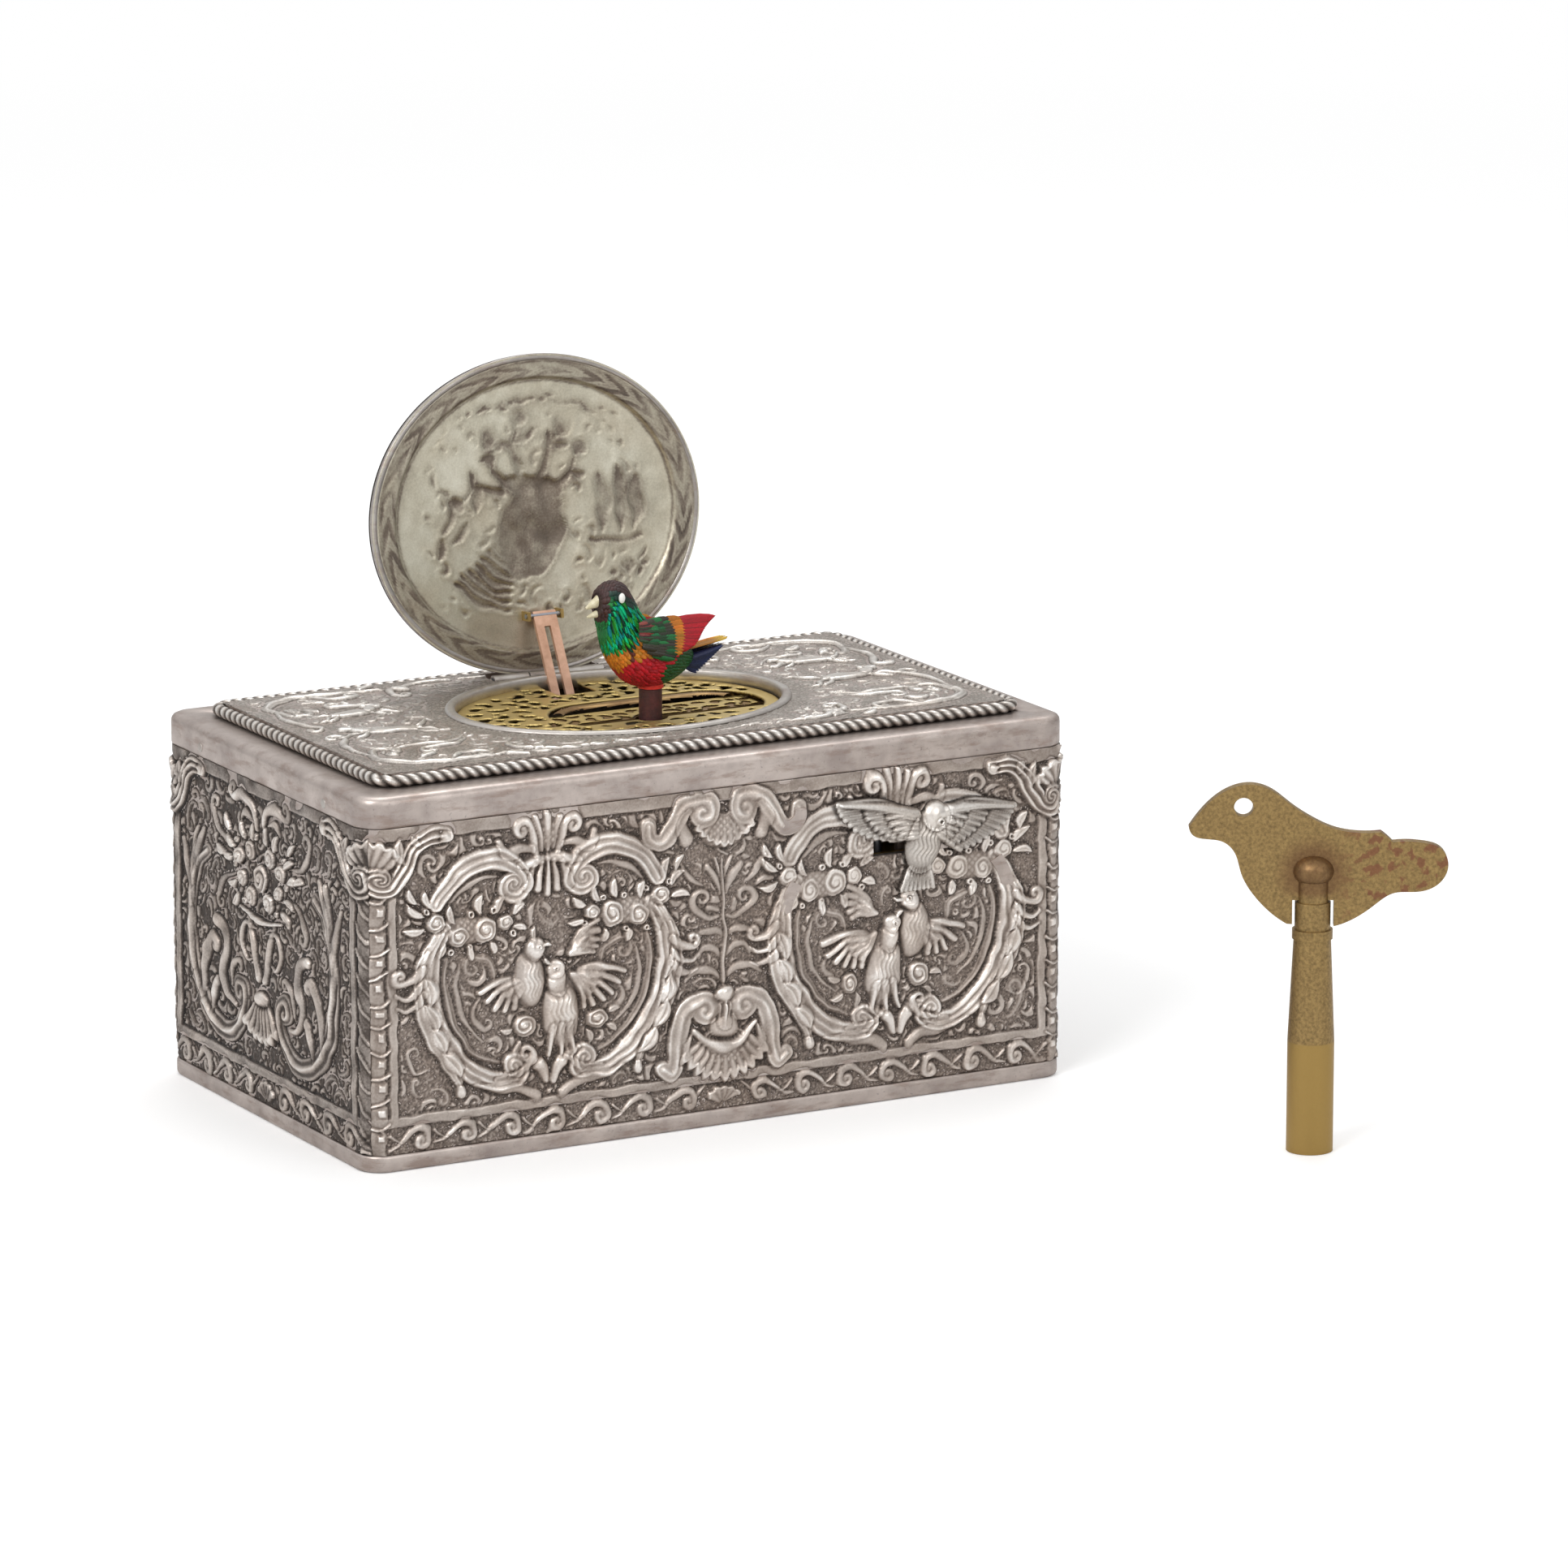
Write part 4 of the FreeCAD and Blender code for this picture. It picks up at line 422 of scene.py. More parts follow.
def weld(reach):
    """Joins the corners that meet, within a reach in millimetres, and turns every face outward."""
    bpy.ops.object.mode_set(mode="EDIT")
    bpy.ops.mesh.select_all(action="SELECT")
    bpy.ops.mesh.remove_doubles(threshold=reach * MM)
    bpy.ops.mesh.normals_make_consistent(inside=False)
    bpy.ops.object.mode_set(mode="OBJECT")


def sheet_of(name, spots, closed=False):
    """A mesh with one corner for each of some spots, which lie in rows."""
    rows, columns = spots.shape[:2]

    def place(u, v):
        return spots[np.rint(v * (rows - 1)).astype(int), np.rint(u * (columns - 1)).astype(int)]

    return bent_grid(name, columns, rows, place, closed)


def thicken(item, thickness, offset=-1):
    """Gives the sheet that is at work a thickness in millimetres."""
    solid = item.modifiers.new("Thickness", "SOLIDIFY")
    solid.thickness, solid.offset = thickness * MM, offset
    bpy.ops.object.modifier_apply(modifier=solid.name)


def keep_number(item, name, values):
    """Keeps one number for each corner of a mesh."""
    store = item.data.attributes.new(name, "FLOAT", "POINT")
    store.data.foreach_set("value", np.asarray(values, dtype=np.float32).ravel())


def finish(item, material, body, slot_name, *nodes, smooth=True):
    """Gives a piece its finish, its body and what it stands for."""
    clear_selection()
    item.select_set(True)
    bpy.context.view_layer.objects.active = item
    if smooth:
        bpy.ops.object.shade_smooth()
    item.data.materials.clear()
    item.data.materials.append(MATERIALS[material])
    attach(item, body)
    if nodes:
        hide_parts(*nodes)
    return item


def dress(material, *nodes):
    """Gives frame nodes a better finish."""
    for node in nodes:
        item = frame["nodes"][node]
        item.data.materials.clear()
        item.data.materials.append(MATERIALS[material])


def smooth_path(points, steps=6):
    """A smooth curve through given points."""
    ends = [points[0], *points, points[-1]]
    path = []
    for before, start, stop, after in zip(ends, ends[1:], ends[2:], ends[3:]):
        for step in range(steps):
            t = step / steps
            spot = [
                0.5 * (2 * b + (c - a) * t + (2 * a - 5 * b + 4 * c - d) * t * t
                       + (3 * b - a - 3 * c + d) * t ** 3)
                for a, b, c, d in zip(before, start, stop, after)
            ]
            path.append(spot)
    path.append(points[-1])
    return np.array(path, dtype=float)


def curled(points, radius, turns, side):
    """The same points, ending in a scroll that winds left for side 1 and right for side -1."""
    (x0, y0), (x1, y1) = points[-2:]
    heading = math.atan2(y1 - y0, x1 - x0)
    middle_x = x1 - side * radius * math.sin(heading)
    middle_y = y1 + side * radius * math.cos(heading)
    start = heading - side * math.pi / 2
    count = max(4, int(8 * turns))
    curl = []
    for step in range(1, count + 1):
        reach = radius * (1 - 0.82 * step / count)
        angle = start + side * 2 * math.pi * turns * step / count
        curl.append((middle_x + reach * math.cos(angle), middle_y + reach * math.sin(angle)))
    return [*points, *curl]


class Relief:
    """The heights of a sheet of chased metal over its flat ground, in millimetres."""

    def __init__(self, left, right, foot, top, cell):
        self.columns = int(round((right - left) / cell)) + 1
        self.rows = int(round((top - foot) / cell)) + 1
        self.left, self.foot, self.cell = left, foot, cell
        self.right, self.top = right, top
        across = np.linspace(left, right, self.columns)
        up = np.linspace(foot, top, self.rows)
        self.x, self.y = np.meshgrid(across, up)
        self.h = np.zeros_like(self.x)
        self.rub = None

    def window(self, x, y, reach):
        """The part of the sheet within reach of some points."""
        first = max(0, int((np.min(x) - reach - self.left) / self.cell))
        last = min(self.columns, int((np.max(x) + reach - self.left) / self.cell) + 2)
        low = max(0, int((np.min(y) - reach - self.foot) / self.cell))
        high = min(self.rows, int((np.max(y) + reach - self.foot) / self.cell) + 2)
        return (slice(low, max(low, high)), slice(first, max(first, last)))

    def measure(self, path, area):
        """How far each spot lies from a path, how far along it, and on which side."""
        x, y = self.x[area], self.y[area]
        steps = np.hypot(*(path[1:] - path[:-1]).T)
        total = max(steps.sum(), 1e-6)
        best = np.full(x.shape, 1e9)
        along = np.zeros(x.shape)
        side = np.ones(x.shape)
        run = 0.0
        for (ax, ay), (bx, by), step in zip(path[:-1], path[1:], steps):
            dx, dy = bx - ax, by - ay
            t = np.clip(((x - ax) * dx + (y - ay) * dy) / max(step * step, 1e-9), 0, 1)
            ex, ey = x - ax - t * dx, y - ay - t * dy
            far = np.hypot(ex, ey)
            closer = far < best
            best = np.where(closer, far, best)
            along = np.where(closer, (run + t * step) / total, along)
            side = np.where(closer, np.sign(dx * ey - dy * ex), side)
            run += step
        return best, along, side

    def put(self, area, inside, height, outside, sink):
        """Sinks a line round a form and raises the form."""
        ground = self.h[area]
        ditch = np.where(inside, 0, sink * np.exp(-((outside / 0.30) ** 2)))
        ground = np.maximum(ground - ditch, -0.22)
        self.h[area] = np.where(inside, np.maximum(ground, height), ground)

    def stroke(self, points, half, height, ends=(0.35, 1.0, 0.35), flutes=0.0, sink=0.16, lift=0.0):
        """A raised stroke along a smooth curve; flutes gives it ribs along its length."""
        path = smooth_path(points)
        area = self.window(path[:, 0], path[:, 1], half + 0.8)
        far, along, side = self.measure(path, area)
        share = np.interp(along, (0, 0.5, 1), ends)
        wide = half * share
        q = np.clip(far / np.maximum(wide, 1e-6), 0, 1)
        body = np.sqrt(1 - q * q)
        if flutes:
            body = (1 - q ** 6) * (0.70 + 0.30 * np.cos(math.pi * flutes * q * side))
        full = lift + height * body * np.sqrt(np.clip(share, 0.15, 1))
        self.put(area, far < wide, full, np.maximum(far - wide, 0), sink)

    def leaf(self, x, y, length, angle, half, height, lift=0.0, bend=0.15):
        """A pointed leaf with a sunk rib, lying at an angle in degrees."""
        turn = math.radians(angle)
        ahead, across = (math.cos(turn), math.sin(turn)), (-math.sin(turn), math.cos(turn))
        points = [
            (x + ahead[0] * length * t + across[0] * length * bend * math.sin(math.pi * t),
             y + ahead[1] * length * t + across[1] * length * bend * math.sin(math.pi * t))
            for t in (0, 0.33, 0.66, 1)
        ]
        path = smooth_path(points, 4)
        area = self.window(path[:, 0], path[:, 1], half + 0.8)
        far, along, side = self.measure(path, area)
        wide = half * np.sin(math.pi * np.clip(along, 0.02, 0.98)) ** 0.7
        q = np.clip(far / np.maximum(wide, 1e-6), 0, 1)
        body = np.sqrt(1 - q * q) * (0.62 + 0.38 * np.minimum(q * 3.2, 1))
        self.put(area, far < wide, lift + height * body, np.maximum(far - wide, 0), 0.14)

    def blob(self, x, y, wide, tall, angle, height, lift=0.0, sink=0.2, ribs=0.0):
        """A domed oval, with feather-like ribs across it if asked."""
        reach = max(wide, tall)
        area = self.window(x, y, reach + 0.8)
        turn = math.radians(angle)
        dx, dy = self.x[area] - x, self.y[area] - y
        u = (dx * math.cos(turn) + dy * math.sin(turn)) / wide
        v = (dy * math.cos(turn) - dx * math.sin(turn)) / tall
        q = np.hypot(u, v)
        body = np.sqrt(np.clip(1 - q * q, 0, 1))
        if ribs:
            barbs = np.sin(ribs * 2.1 * u * wide + 1.3 * np.sin(ribs * v * tall))
            body = body * (0.84 + 0.16 * np.abs(barbs) * np.clip(1.6 - 1.6 * q, 0, 1))
        self.put(area, q < 1, lift + height * body, np.clip(q - 1, 0, 9) * min(wide, tall), sink)

    def rose(self, x, y, radius, height, lift=0.0):
        """An open flower: rings of petals round a button."""
        area = self.window(x, y, radius + 0.8)
        dx, dy = self.x[area] - x, self.y[area] - y
        far = np.hypot(dx, dy)
        angle = np.arctan2(dy, dx)
        edge = radius * (0.97 + 0.03 * np.cos(5 * angle + x))
        q = far / edge
        rings = 0.66 + 0.34 * np.cos(2 * math.pi * (2.2 * q + angle / (2 * math.pi)))
        body = np.sqrt(np.clip(1 - q ** 3, 0, 1)) * rings
        body = np.where(q < 0.26, 0.98 - 3.5 * q * q, body)
        self.put(area, q < 1, lift + height * body, np.clip(far - edge, 0, 9), 0.26)

    def berry(self, x, y, radius, height, lift=0.0):
        """A ring with a dark hole, as a punched berry."""
        area = self.window(x, y, radius + 0.8)
        far = np.hypot(self.x[area] - x, self.y[area] - y)
        q = far / radius
        body = np.clip(1 - ((q - 0.62) / 0.38) ** 2, 0, 1)
        height_here = np.where(q < 0.3, -0.05, lift + height * body)
        ground = self.h[area]
        ground = np.where(q > 1, ground - 0.2 * np.exp(-(((far - radius) / 0.3) ** 2)), ground)
        self.h[area] = np.where(q < 1, height_here, ground)

    def shell(self, x, y, radius, first, last, ribs, height, lift=0.0, hollow=0.12):
        """A ribbed fan between two angles in degrees, with a scalloped edge."""
        area = self.window(x, y, radius + 0.8)
        dx, dy = self.x[area] - x, self.y[area] - y
        far = np.hypot(dx, dy)
        middle = math.radians((first + last) / 2)
        spread = math.radians(last - first) / 2
        angle = np.arctan2(dy, dx) - middle
        angle = (angle + math.pi) % (2 * math.pi) - math.pi
        wave = np.abs(np.cos(angle / spread * math.pi * ribs / 2))
        edge = radius * (0.90 + 0.10 * wave)
        q = far / edge
        inside = (np.abs(angle) < spread) & (q < 1) & (q > hollow)
        rise = 0.45 + 0.55 * np.clip(q, 0, 1) ** 1.2
        rim = np.where(q > 0.86, 1.0, 0.55 + 0.45 * wave)
        body = rise * rim * np.clip((1 - q) * 14, 0, 1) ** 0.5
        outside = np.where(np.abs(angle) < spread, np.clip(far - edge, 0, 9), 9)
        self.put(area, inside, lift + height * body, outside, 0.24)

    def bed(self, points, half, height):
        """Metal that covers a band of the wall beneath."""
        path = smooth_path(points)
        area = self.window(path[:, 0], path[:, 1], half + 0.5)
        far = self.measure(path, area)[0]
        self.h[area] = np.maximum(self.h[area], height * np.clip((half + 0.25 - far) / 0.25, 0, 1))

    def dome(self, x, y, wide, tall, height):
        """Metal that covers a swelling of the wall beneath."""
        q = np.hypot((self.x - x) / (wide + 0.2), (self.y - y) / (tall + 0.2))
        buds = np.abs(np.sin(3.3 * (self.x + self.y)) * np.sin(3.3 * (self.x - self.y)))
        body = height * np.sqrt(np.clip(1 - q * q, 0, 1)) + 0.14 * buds * np.clip(3 - 3 * q, 0, 1)
        self.h = np.maximum(self.h, body)

    def inside(self, left, right, foot, top, edge=0.15):
        """How far each spot is inside a rectangle: 1 from an edge's width inward, 0 outside."""
        inside_x = np.clip(np.minimum(self.x - left, right - self.x) / edge, 0, 1)
        inside_y = np.clip(np.minimum(self.y - foot, top - self.y) / edge, 0, 1)
        return np.minimum(inside_x, inside_y)

    def strip(self, left, right, foot, top, height):
        """A flat raised strip with soft edges."""
        body = self.inside(left, right, foot, top)
        body = body * body * (3 - 2 * body)
        self.h = np.maximum(self.h, height * body)

    def sink_line(self, left, right, foot, top, depth):
        """A sunk straight line."""
        self.h = self.h - depth * self.inside(left, right, foot, top)

    def fill(self, seed, tries, smallest, largest, height, limits, floor=0.10):
        """Packs small curling leaves into the bare ground."""
        source = np.random.default_rng(seed)
        left, right, foot, top = limits
        for attempt in range(tries):
            share = 1 - attempt / tries
            length = smallest + (largest - smallest) * share * share
            x, y = source.uniform(left, right), source.uniform(foot, top)
            angle, turn = source.uniform(0, 2 * math.pi), source.choice((-1, 1))
            points = [
                (x + length * t * math.cos(angle + turn * 1.5 * t),
                 y + length * t * math.sin(angle + turn * 1.5 * t))
                for t in (0, 0.3, 0.6, 0.85, 1.0)
            ]
            xs, ys = np.array(points).T
            if xs.min() < left or xs.max() > right or ys.min() < foot or ys.max() > top:
                continue
            half = 0.16 + length * 0.105
            heights = [self.at(px, py) for px, py in smooth_path(points, 2)]
            sides = [self.at(px + dx, py + dy) for px, py in points
                     for dx, dy in ((half, 0), (-half, 0), (0, half), (0, -half))]
            if max(heights) > floor or max(sides) > floor + 0.05:
                continue
            path = curled(points[:4], length * 0.22, 0.7, turn) if length > 1.7 else points
            self.stroke(path, half, height, (0.25, 1.0, 0.7), 1.9 if length > 2.2 else 0.0, sink=0.18)

    def swirl(self, seed, pitch, height, limits):
        """Chases the bare ground with leafy swirls, each round its own middle."""
        source = np.random.default_rng(seed)
        left, right, foot, top = limits
        near, second = np.full(self.h.shape, 9.0), np.full(self.h.shape, 9.0)
        leaves = np.zeros(self.h.shape)
        for column in np.arange(left, right, pitch):
            for row in np.arange(foot, top, pitch):
                x, y = np.array((column, row)) + source.uniform(-0.42, 0.42, 2) * pitch
                arms, way = source.integers(1, 4), source.choice((-1, 1))
                phase, share = source.uniform(0, 2 * math.pi), source.choice((0.15, 1.0), p=(0.2, 0.8))
                area = self.window(x, y, pitch * 1.4)
                dx, dy = self.x[area] - x, self.y[area] - y
                far = np.hypot(dx, dy)
                turn = arms * way * np.arctan2(dy, dx) + 4.6 * np.log(far + 0.35) + 1.2 * far
                closer = far < near[area]
                second[area] = np.where(closer, near[area], np.minimum(second[area], far))
                leaves[area] = np.where(closer, share * np.clip(0.5 + 1.6 * np.sin(turn + phase), 0, 1), leaves[area])
                near[area] = np.where(closer, far, near[area])
        bare = np.clip(1 - 3 * blurred((self.h > 0.06).astype(float), 0.26 / self.cell), 0, 1)
        inside = (self.x > left) & (self.x < right) & (self.y > foot) & (self.y < top)
        self.h = self.h + height * leaves * bare * inside * np.clip((second - near) / 0.4, 0, 1)

    def waver(self, seed, reach, uneven=0.13):
        """Lets the lines and heights waver a little, as the hand does."""
        source = np.random.default_rng(seed)
        drift = [blurred(source.standard_normal(self.h.shape), 0.8 / self.cell) for _ in range(3)]
        drift = [values / values.std() for values in drift]
        row = np.arange(self.rows)[:, None] + drift[0] * reach / self.cell
        column = np.arange(self.columns)[None, :] + drift[1] * reach / self.cell
        row, column = np.clip(row, 0, self.rows - 1.01), np.clip(column, 0, self.columns - 1.01)
        low, left = row.astype(int), column.astype(int)
        up, right = row - low, column - left
        lower = self.h[low, left] * (1 - right) + self.h[low, left + 1] * right
        upper = self.h[low + 1, left] * (1 - right) + self.h[low + 1, left + 1] * right
        self.h = (lower * (1 - up) + upper * up) * (1 + uneven * drift[2])

    def at(self, x, y):
        """The height at one spot."""
        column = min(self.columns - 1, max(0, int((x - self.left) / self.cell)))
        row = min(self.rows - 1, max(0, int((y - self.foot) / self.cell)))
        return self.h[row, column]

    def cells(self, x, y):
        """The rows and the columns of some spots."""
        row = np.clip(((y - self.foot) / self.cell).astype(int), 0, self.rows - 1)
        return row, np.clip(((x - self.left) / self.cell).astype(int), 0, self.columns - 1)

    def sheet(self, name, heights, shift=0.0):
        """A flat mesh of the sheet, each corner at its own height."""
        return sheet_of(name, np.stack([self.x, self.y + shift, heights], axis=-1))

    def stipple(self, seed, depth):
        """Roughens the low ground, as a fine punch does."""
        source = np.random.default_rng(seed)
        noise = source.standard_normal(self.h.shape)
        noise = (noise + np.roll(noise, 1, 0) + np.roll(noise, 1, 1) + np.roll(noise, (1, 1), (0, 1))) / 2
        low = np.clip(1 - self.h / 0.22, 0.12, 1)
        self.h = self.h + depth * noise * low
        if self.rub is not None:
            self.rub = np.clip(self.rub + 2.8 * depth * noise * low, 0, 1)

    def patina(self, spread=0.8, gain=1.5):
        """How bright each spot is rubbed: 0 in the hollows and 1 on the heights."""
        if self.rub is not None:
            return self.rub
        wide = blurred(self.h, spread / self.cell)
        near = blurred(self.h, 0.25 / self.cell)
        value = 0.34 + 0.42 * self.h + gain * 0.55 * (self.h - wide) + 0.9 * (self.h - near)
        return np.clip(value, 0, 1)


def blurred(values, sigma):
    """A softened copy of some heights."""
    pad = int(sigma * 3) + 1
    wide = np.pad(values, pad, mode="edge")
    freq_y = np.fft.fftfreq(wide.shape[0])[:, None]
    freq_x = np.fft.rfftfreq(wide.shape[1])[None, :]
    weight = np.exp(-2 * (math.pi * sigma) ** 2 * (freq_x ** 2 + freq_y ** 2))
    soft = np.fft.irfft2(np.fft.rfft2(wide) * weight, s=wide.shape)
    return soft[pad:-pad, pad:-pad]


# The four walls: the way each faces, its half length and its half distance
FACES = {
    "front": (0.0, HALF_WIDTH, HALF_DEPTH),
    "right": (90.0, HALF_DEPTH, HALF_WIDTH),
    "back": (180.0, HALF_WIDTH, HALF_DEPTH),
    "left": (270.0, HALF_DEPTH, HALF_WIDTH),
}
HALF_CORNER = CASE_ROUND * math.pi / 4
WALL_STAND = 0.06


def wall_spots(face, s, up, out):
    """Points on a wall: s runs along it and half way round both corners, out stands off it."""
    turn, half, reach = FACES[face]
    straight = half - CASE_ROUND
    bend = np.clip(np.abs(s) - straight, 0, None) / CASE_ROUND
    along = np.sign(s) * (np.minimum(np.abs(s), straight) + (CASE_ROUND + out) * np.sin(bend))
    away = reach - CASE_ROUND + (CASE_ROUND + out) * np.cos(bend)
    angle = math.radians(turn)
    x = along * math.cos(angle) + away * math.sin(angle)
    y = along * math.sin(angle) - away * math.cos(angle)
    return np.stack([x, y, up], axis=-1)


def wall_sheets(face, relief, pieces, material, skip=None):
    """The chased sheet of one wall, as some pieces side by side."""
    x, y, out, patina = (
        np.pad(values, 1, mode="edge") for values in (relief.x, relief.y, relief.h, relief.patina())
    )
    out = out + WALL_STAND
    for rim in (out[0], out[-1], out[:, 0], out[:, -1]):
        rim[:] = -0.2
    edges = np.linspace(0, x.shape[1] - 1, pieces + 1).round().astype(int)
    for index, (first, last) in enumerate(zip(edges[:-1], edges[1:]), 1):
        part = (slice(None), slice(first, last + 1))
        name = f"{face}_chasing_{index}" if pieces > 1 else f"{face}_chasing"
        item = sheet_of(name, wall_spots(face, x[part], y[part], out[part]))
        keep_number(item, "patina", patina[part])
        if skip:
            cut_window(item, skip)
        finish(item, material, "case", "silver")


def cut_window(item, inside):
    """Takes the faces out of a sheet whose middles lie inside a window."""
    clear_selection()
    bpy.context.view_layer.objects.active = item
    item.select_set(True)
    bpy.ops.object.mode_set(mode="EDIT")
    mesh = bmesh.from_edit_mesh(item.data)
    gone = [face for face in mesh.faces if inside(*(face.calc_center_median() / MM))]
    bmesh.ops.delete(mesh, geom=gone, context="FACES")
    bmesh.update_edit_mesh(item.data)
    bpy.ops.object.mode_set(mode="OBJECT")


def mirrored(points, middle, side):
    """Points given to the right of a middle line, on the side asked for."""
    return [(middle + side * x, y) for x, y in points]


def turned(angle, side):
    """An angle in degrees given for the right, on the side asked for."""
    return angle if side > 0 else 180 - angle


def drawn(relief, middle, side, up=1, wider=1.0, higher=1.0):
    """A way to draw strokes that are given to the right of a middle line, on the side asked for."""
    def run(points, half, height, curl=None, **more):
        path = [(middle + side * x, up * y) for x, y in points]
        if curl:
            path = curled(path, curl[0], curl[1], curl[2] * side * up)
        relief.stroke(path, half * wider, height * higher, **more)

    return run


def border(relief, half, studs):
    """The frame of a wall: fillets, strips, the corner pilasters and the wave border."""
    relief.strip(-half - 3, half + 3, 5.6, 7.0, 0.36)
    relief.strip(-half - 3, half + 3, 42.1, CASE_TOP + 1, 0.34)
    for side in (-1, 1):
        edge = side * (half - CASE_ROUND + HALF_CORNER)
        low, high = sorted((side * (half - 4.05), side * (half - 2.7)))
        relief.strip(low, high, 5.6, 35.2, 0.38)
        low, high = sorted((side * (half - 2.35), side * (half + 3)))
        relief.strip(low, high, BAND_TOP, 35.6, 0.34)
        for scale in range(10):
            foot = 3.3 + scale * 3.2
            if studs:
                stud = edge - side * 1.15
                hole = (np.abs(relief.x - stud) < 0.72) & (np.abs(relief.y - foot - 1.2) < 0.78)
                relief.h = np.where(hole, 0.30, relief.h)
                relief.strip(stud - 0.45, stud + 0.45, foot + 0.7, foot + 1.7, 0.62)
                scallop = [(edge - side * 2.1, foot + 3.0), (edge - side * 1.2, foot + 2.3), (edge, foot + 2.2)]
                relief.stroke(scallop, 0.16, 0.16, (1, 1, 1), sink=0.14, lift=0.34)
            else:
                vein = [(edge, foot + 0.4), (edge - side * 1.1, foot + 1.5), (edge - side * 1.9, foot + 3.2)]
                relief.stroke(vein, 0.2, 0.12, (1, 1, 0.6), sink=0.08, lift=0.34)
    relief.shell(0, 2.7, 2.7, 22, 158, 5, 0.5)
    for side in (-1, 1):
        relief.stroke([(side * 4.6, 3.0), (side * 3.6, 4.4), (side * 2.6, 5.3)], 0.4, 0.42, (1, 0.9, 0.4))
    period = 6.25
    for side in (-1, 1):
        for wave in range(-1, int((half - 3.5) / period) + 1):
            x = (wave + 0.85) * period
            if not 1.0 < x < half - 3.2:
                continue
            tail = [(x + 4.6, 2.9), (x + 3.3, 3.3), (x + 2.0, 4.4), (x + 0.6, 5.2), (x - 0.6, 4.9), (x - 1.0, 4.0)]
            relief.stroke(mirrored(curled(tail, 0.98, 1.05, 1), 0, side), 0.6, 0.5, (0.3, 1.0, 0.7), sink=0.22)
            for shift, tall in ((0.0, 5.3), (0.9, 4.7)):
                spur = [(x + 5.3 - shift, tall), (x + 4.5 - shift, tall - 0.8), (x + 3.6 - shift, tall - 1.2)]
                relief.stroke(mirrored(spur, 0, side), 0.22, 0.36, (1, 0.8, 0.3), sink=0.12)


def corner_crown(relief, half):
    """The shell and leaf scrolls at the top of each corner."""
    for side in (-1, 1):
        middle = side * (half - CASE_ROUND + HALF_CORNER)
        relief.shell(middle, 37.6, 5.0, 25, 155, 7, 0.85)
        arm = [(10.9, 42.4), (8.3, 42.3), (6.2, 40.6), (4.7, 38.0), (3.2, 36.3)]
        path = [(side * (half - x + 0.0), y) for x, y in arm]
        relief.stroke(curled(path, 1.6, 1.1, side), 1.35, 0.85, (0.9, 1.0, 0.55), flutes=2.9)
        relief.blob(side * (half - 10.9), 42.2, 0.9, 0.8, 0, 0.6, 0.15)
        relief.leaf(side * (half - 5.0), 39.2, 3.2, 90 - side * 8, 0.85, 0.7)
        relief.leaf(side * (half - 7.2), 41.0, 2.0, 90 - side * 30, 0.6, 0.6)
        relief.stroke(curled([(side * (half - 1.2), 35.0), (side * (half - 0.2), 34.6)], 0.8, 1.0, side),
                      0.5, 0.7)


# The walls' own raised lines, to the right of a cartouche's middle and of the wall's
SIDE_BAND = ((14.6, 30.3), (16.3, 27), (16.7, 22.5), (15.6, 17.4), (12.6, 12.9), (8.7, 10.2))
UPPER_BAND = ((15.6, 33.6), (13.9, 36), (11.2, 38), (8.0, 38.6), (5.3, 37.8), (3.7, 36))
HIGH_SCROLL = ((10.8, 40.2), (10.5, 38.4), (8.8, 37.8), (7.4, 39.4), (5.7, 41.8), (3.7, 42.6))
LOW_SCROLL = ((8.8, 8.4), (7.6, 7.7), (7, 9.6), (6.6, 12.6), (5.3, 15.6), (3.4, 16.5))
SWELLINGS = ((0, 41.1, 2.0, 2.1), (-2.6, 22.5, 2.0, 3.6), (1.9, 18, 2.2, 4.5), (-11.6, 29.7, 4.6, 1.65),
             (11.6, 29.7, 4.6, 1.65))
MIDDLE_SWELLINGS = ((0, 38.4, 3.2, 2.1), (0, 8.7, 3.6, 2.7), (0, 16.5, 1.2, 1.35))
COVER = 0.47


def cover_walls(relief):
    """Keeps the sheet above the forms that the wall itself has."""
    for middle, turn, lines, swellings in (
        (-25, 1, (SIDE_BAND, UPPER_BAND), SWELLINGS), (25, -1, (SIDE_BAND, UPPER_BAND), SWELLINGS),
        (0, 1, (HIGH_SCROLL, LOW_SCROLL), MIDDLE_SWELLINGS),
    ):
        for line in lines:
            for side in (-1, 1):
                relief.bed(mirrored(line, middle, side), 1.0, COVER)
        for x, y, wide, tall in swellings:
            relief.dome(middle + turn * x, y, wide, tall, COVER)


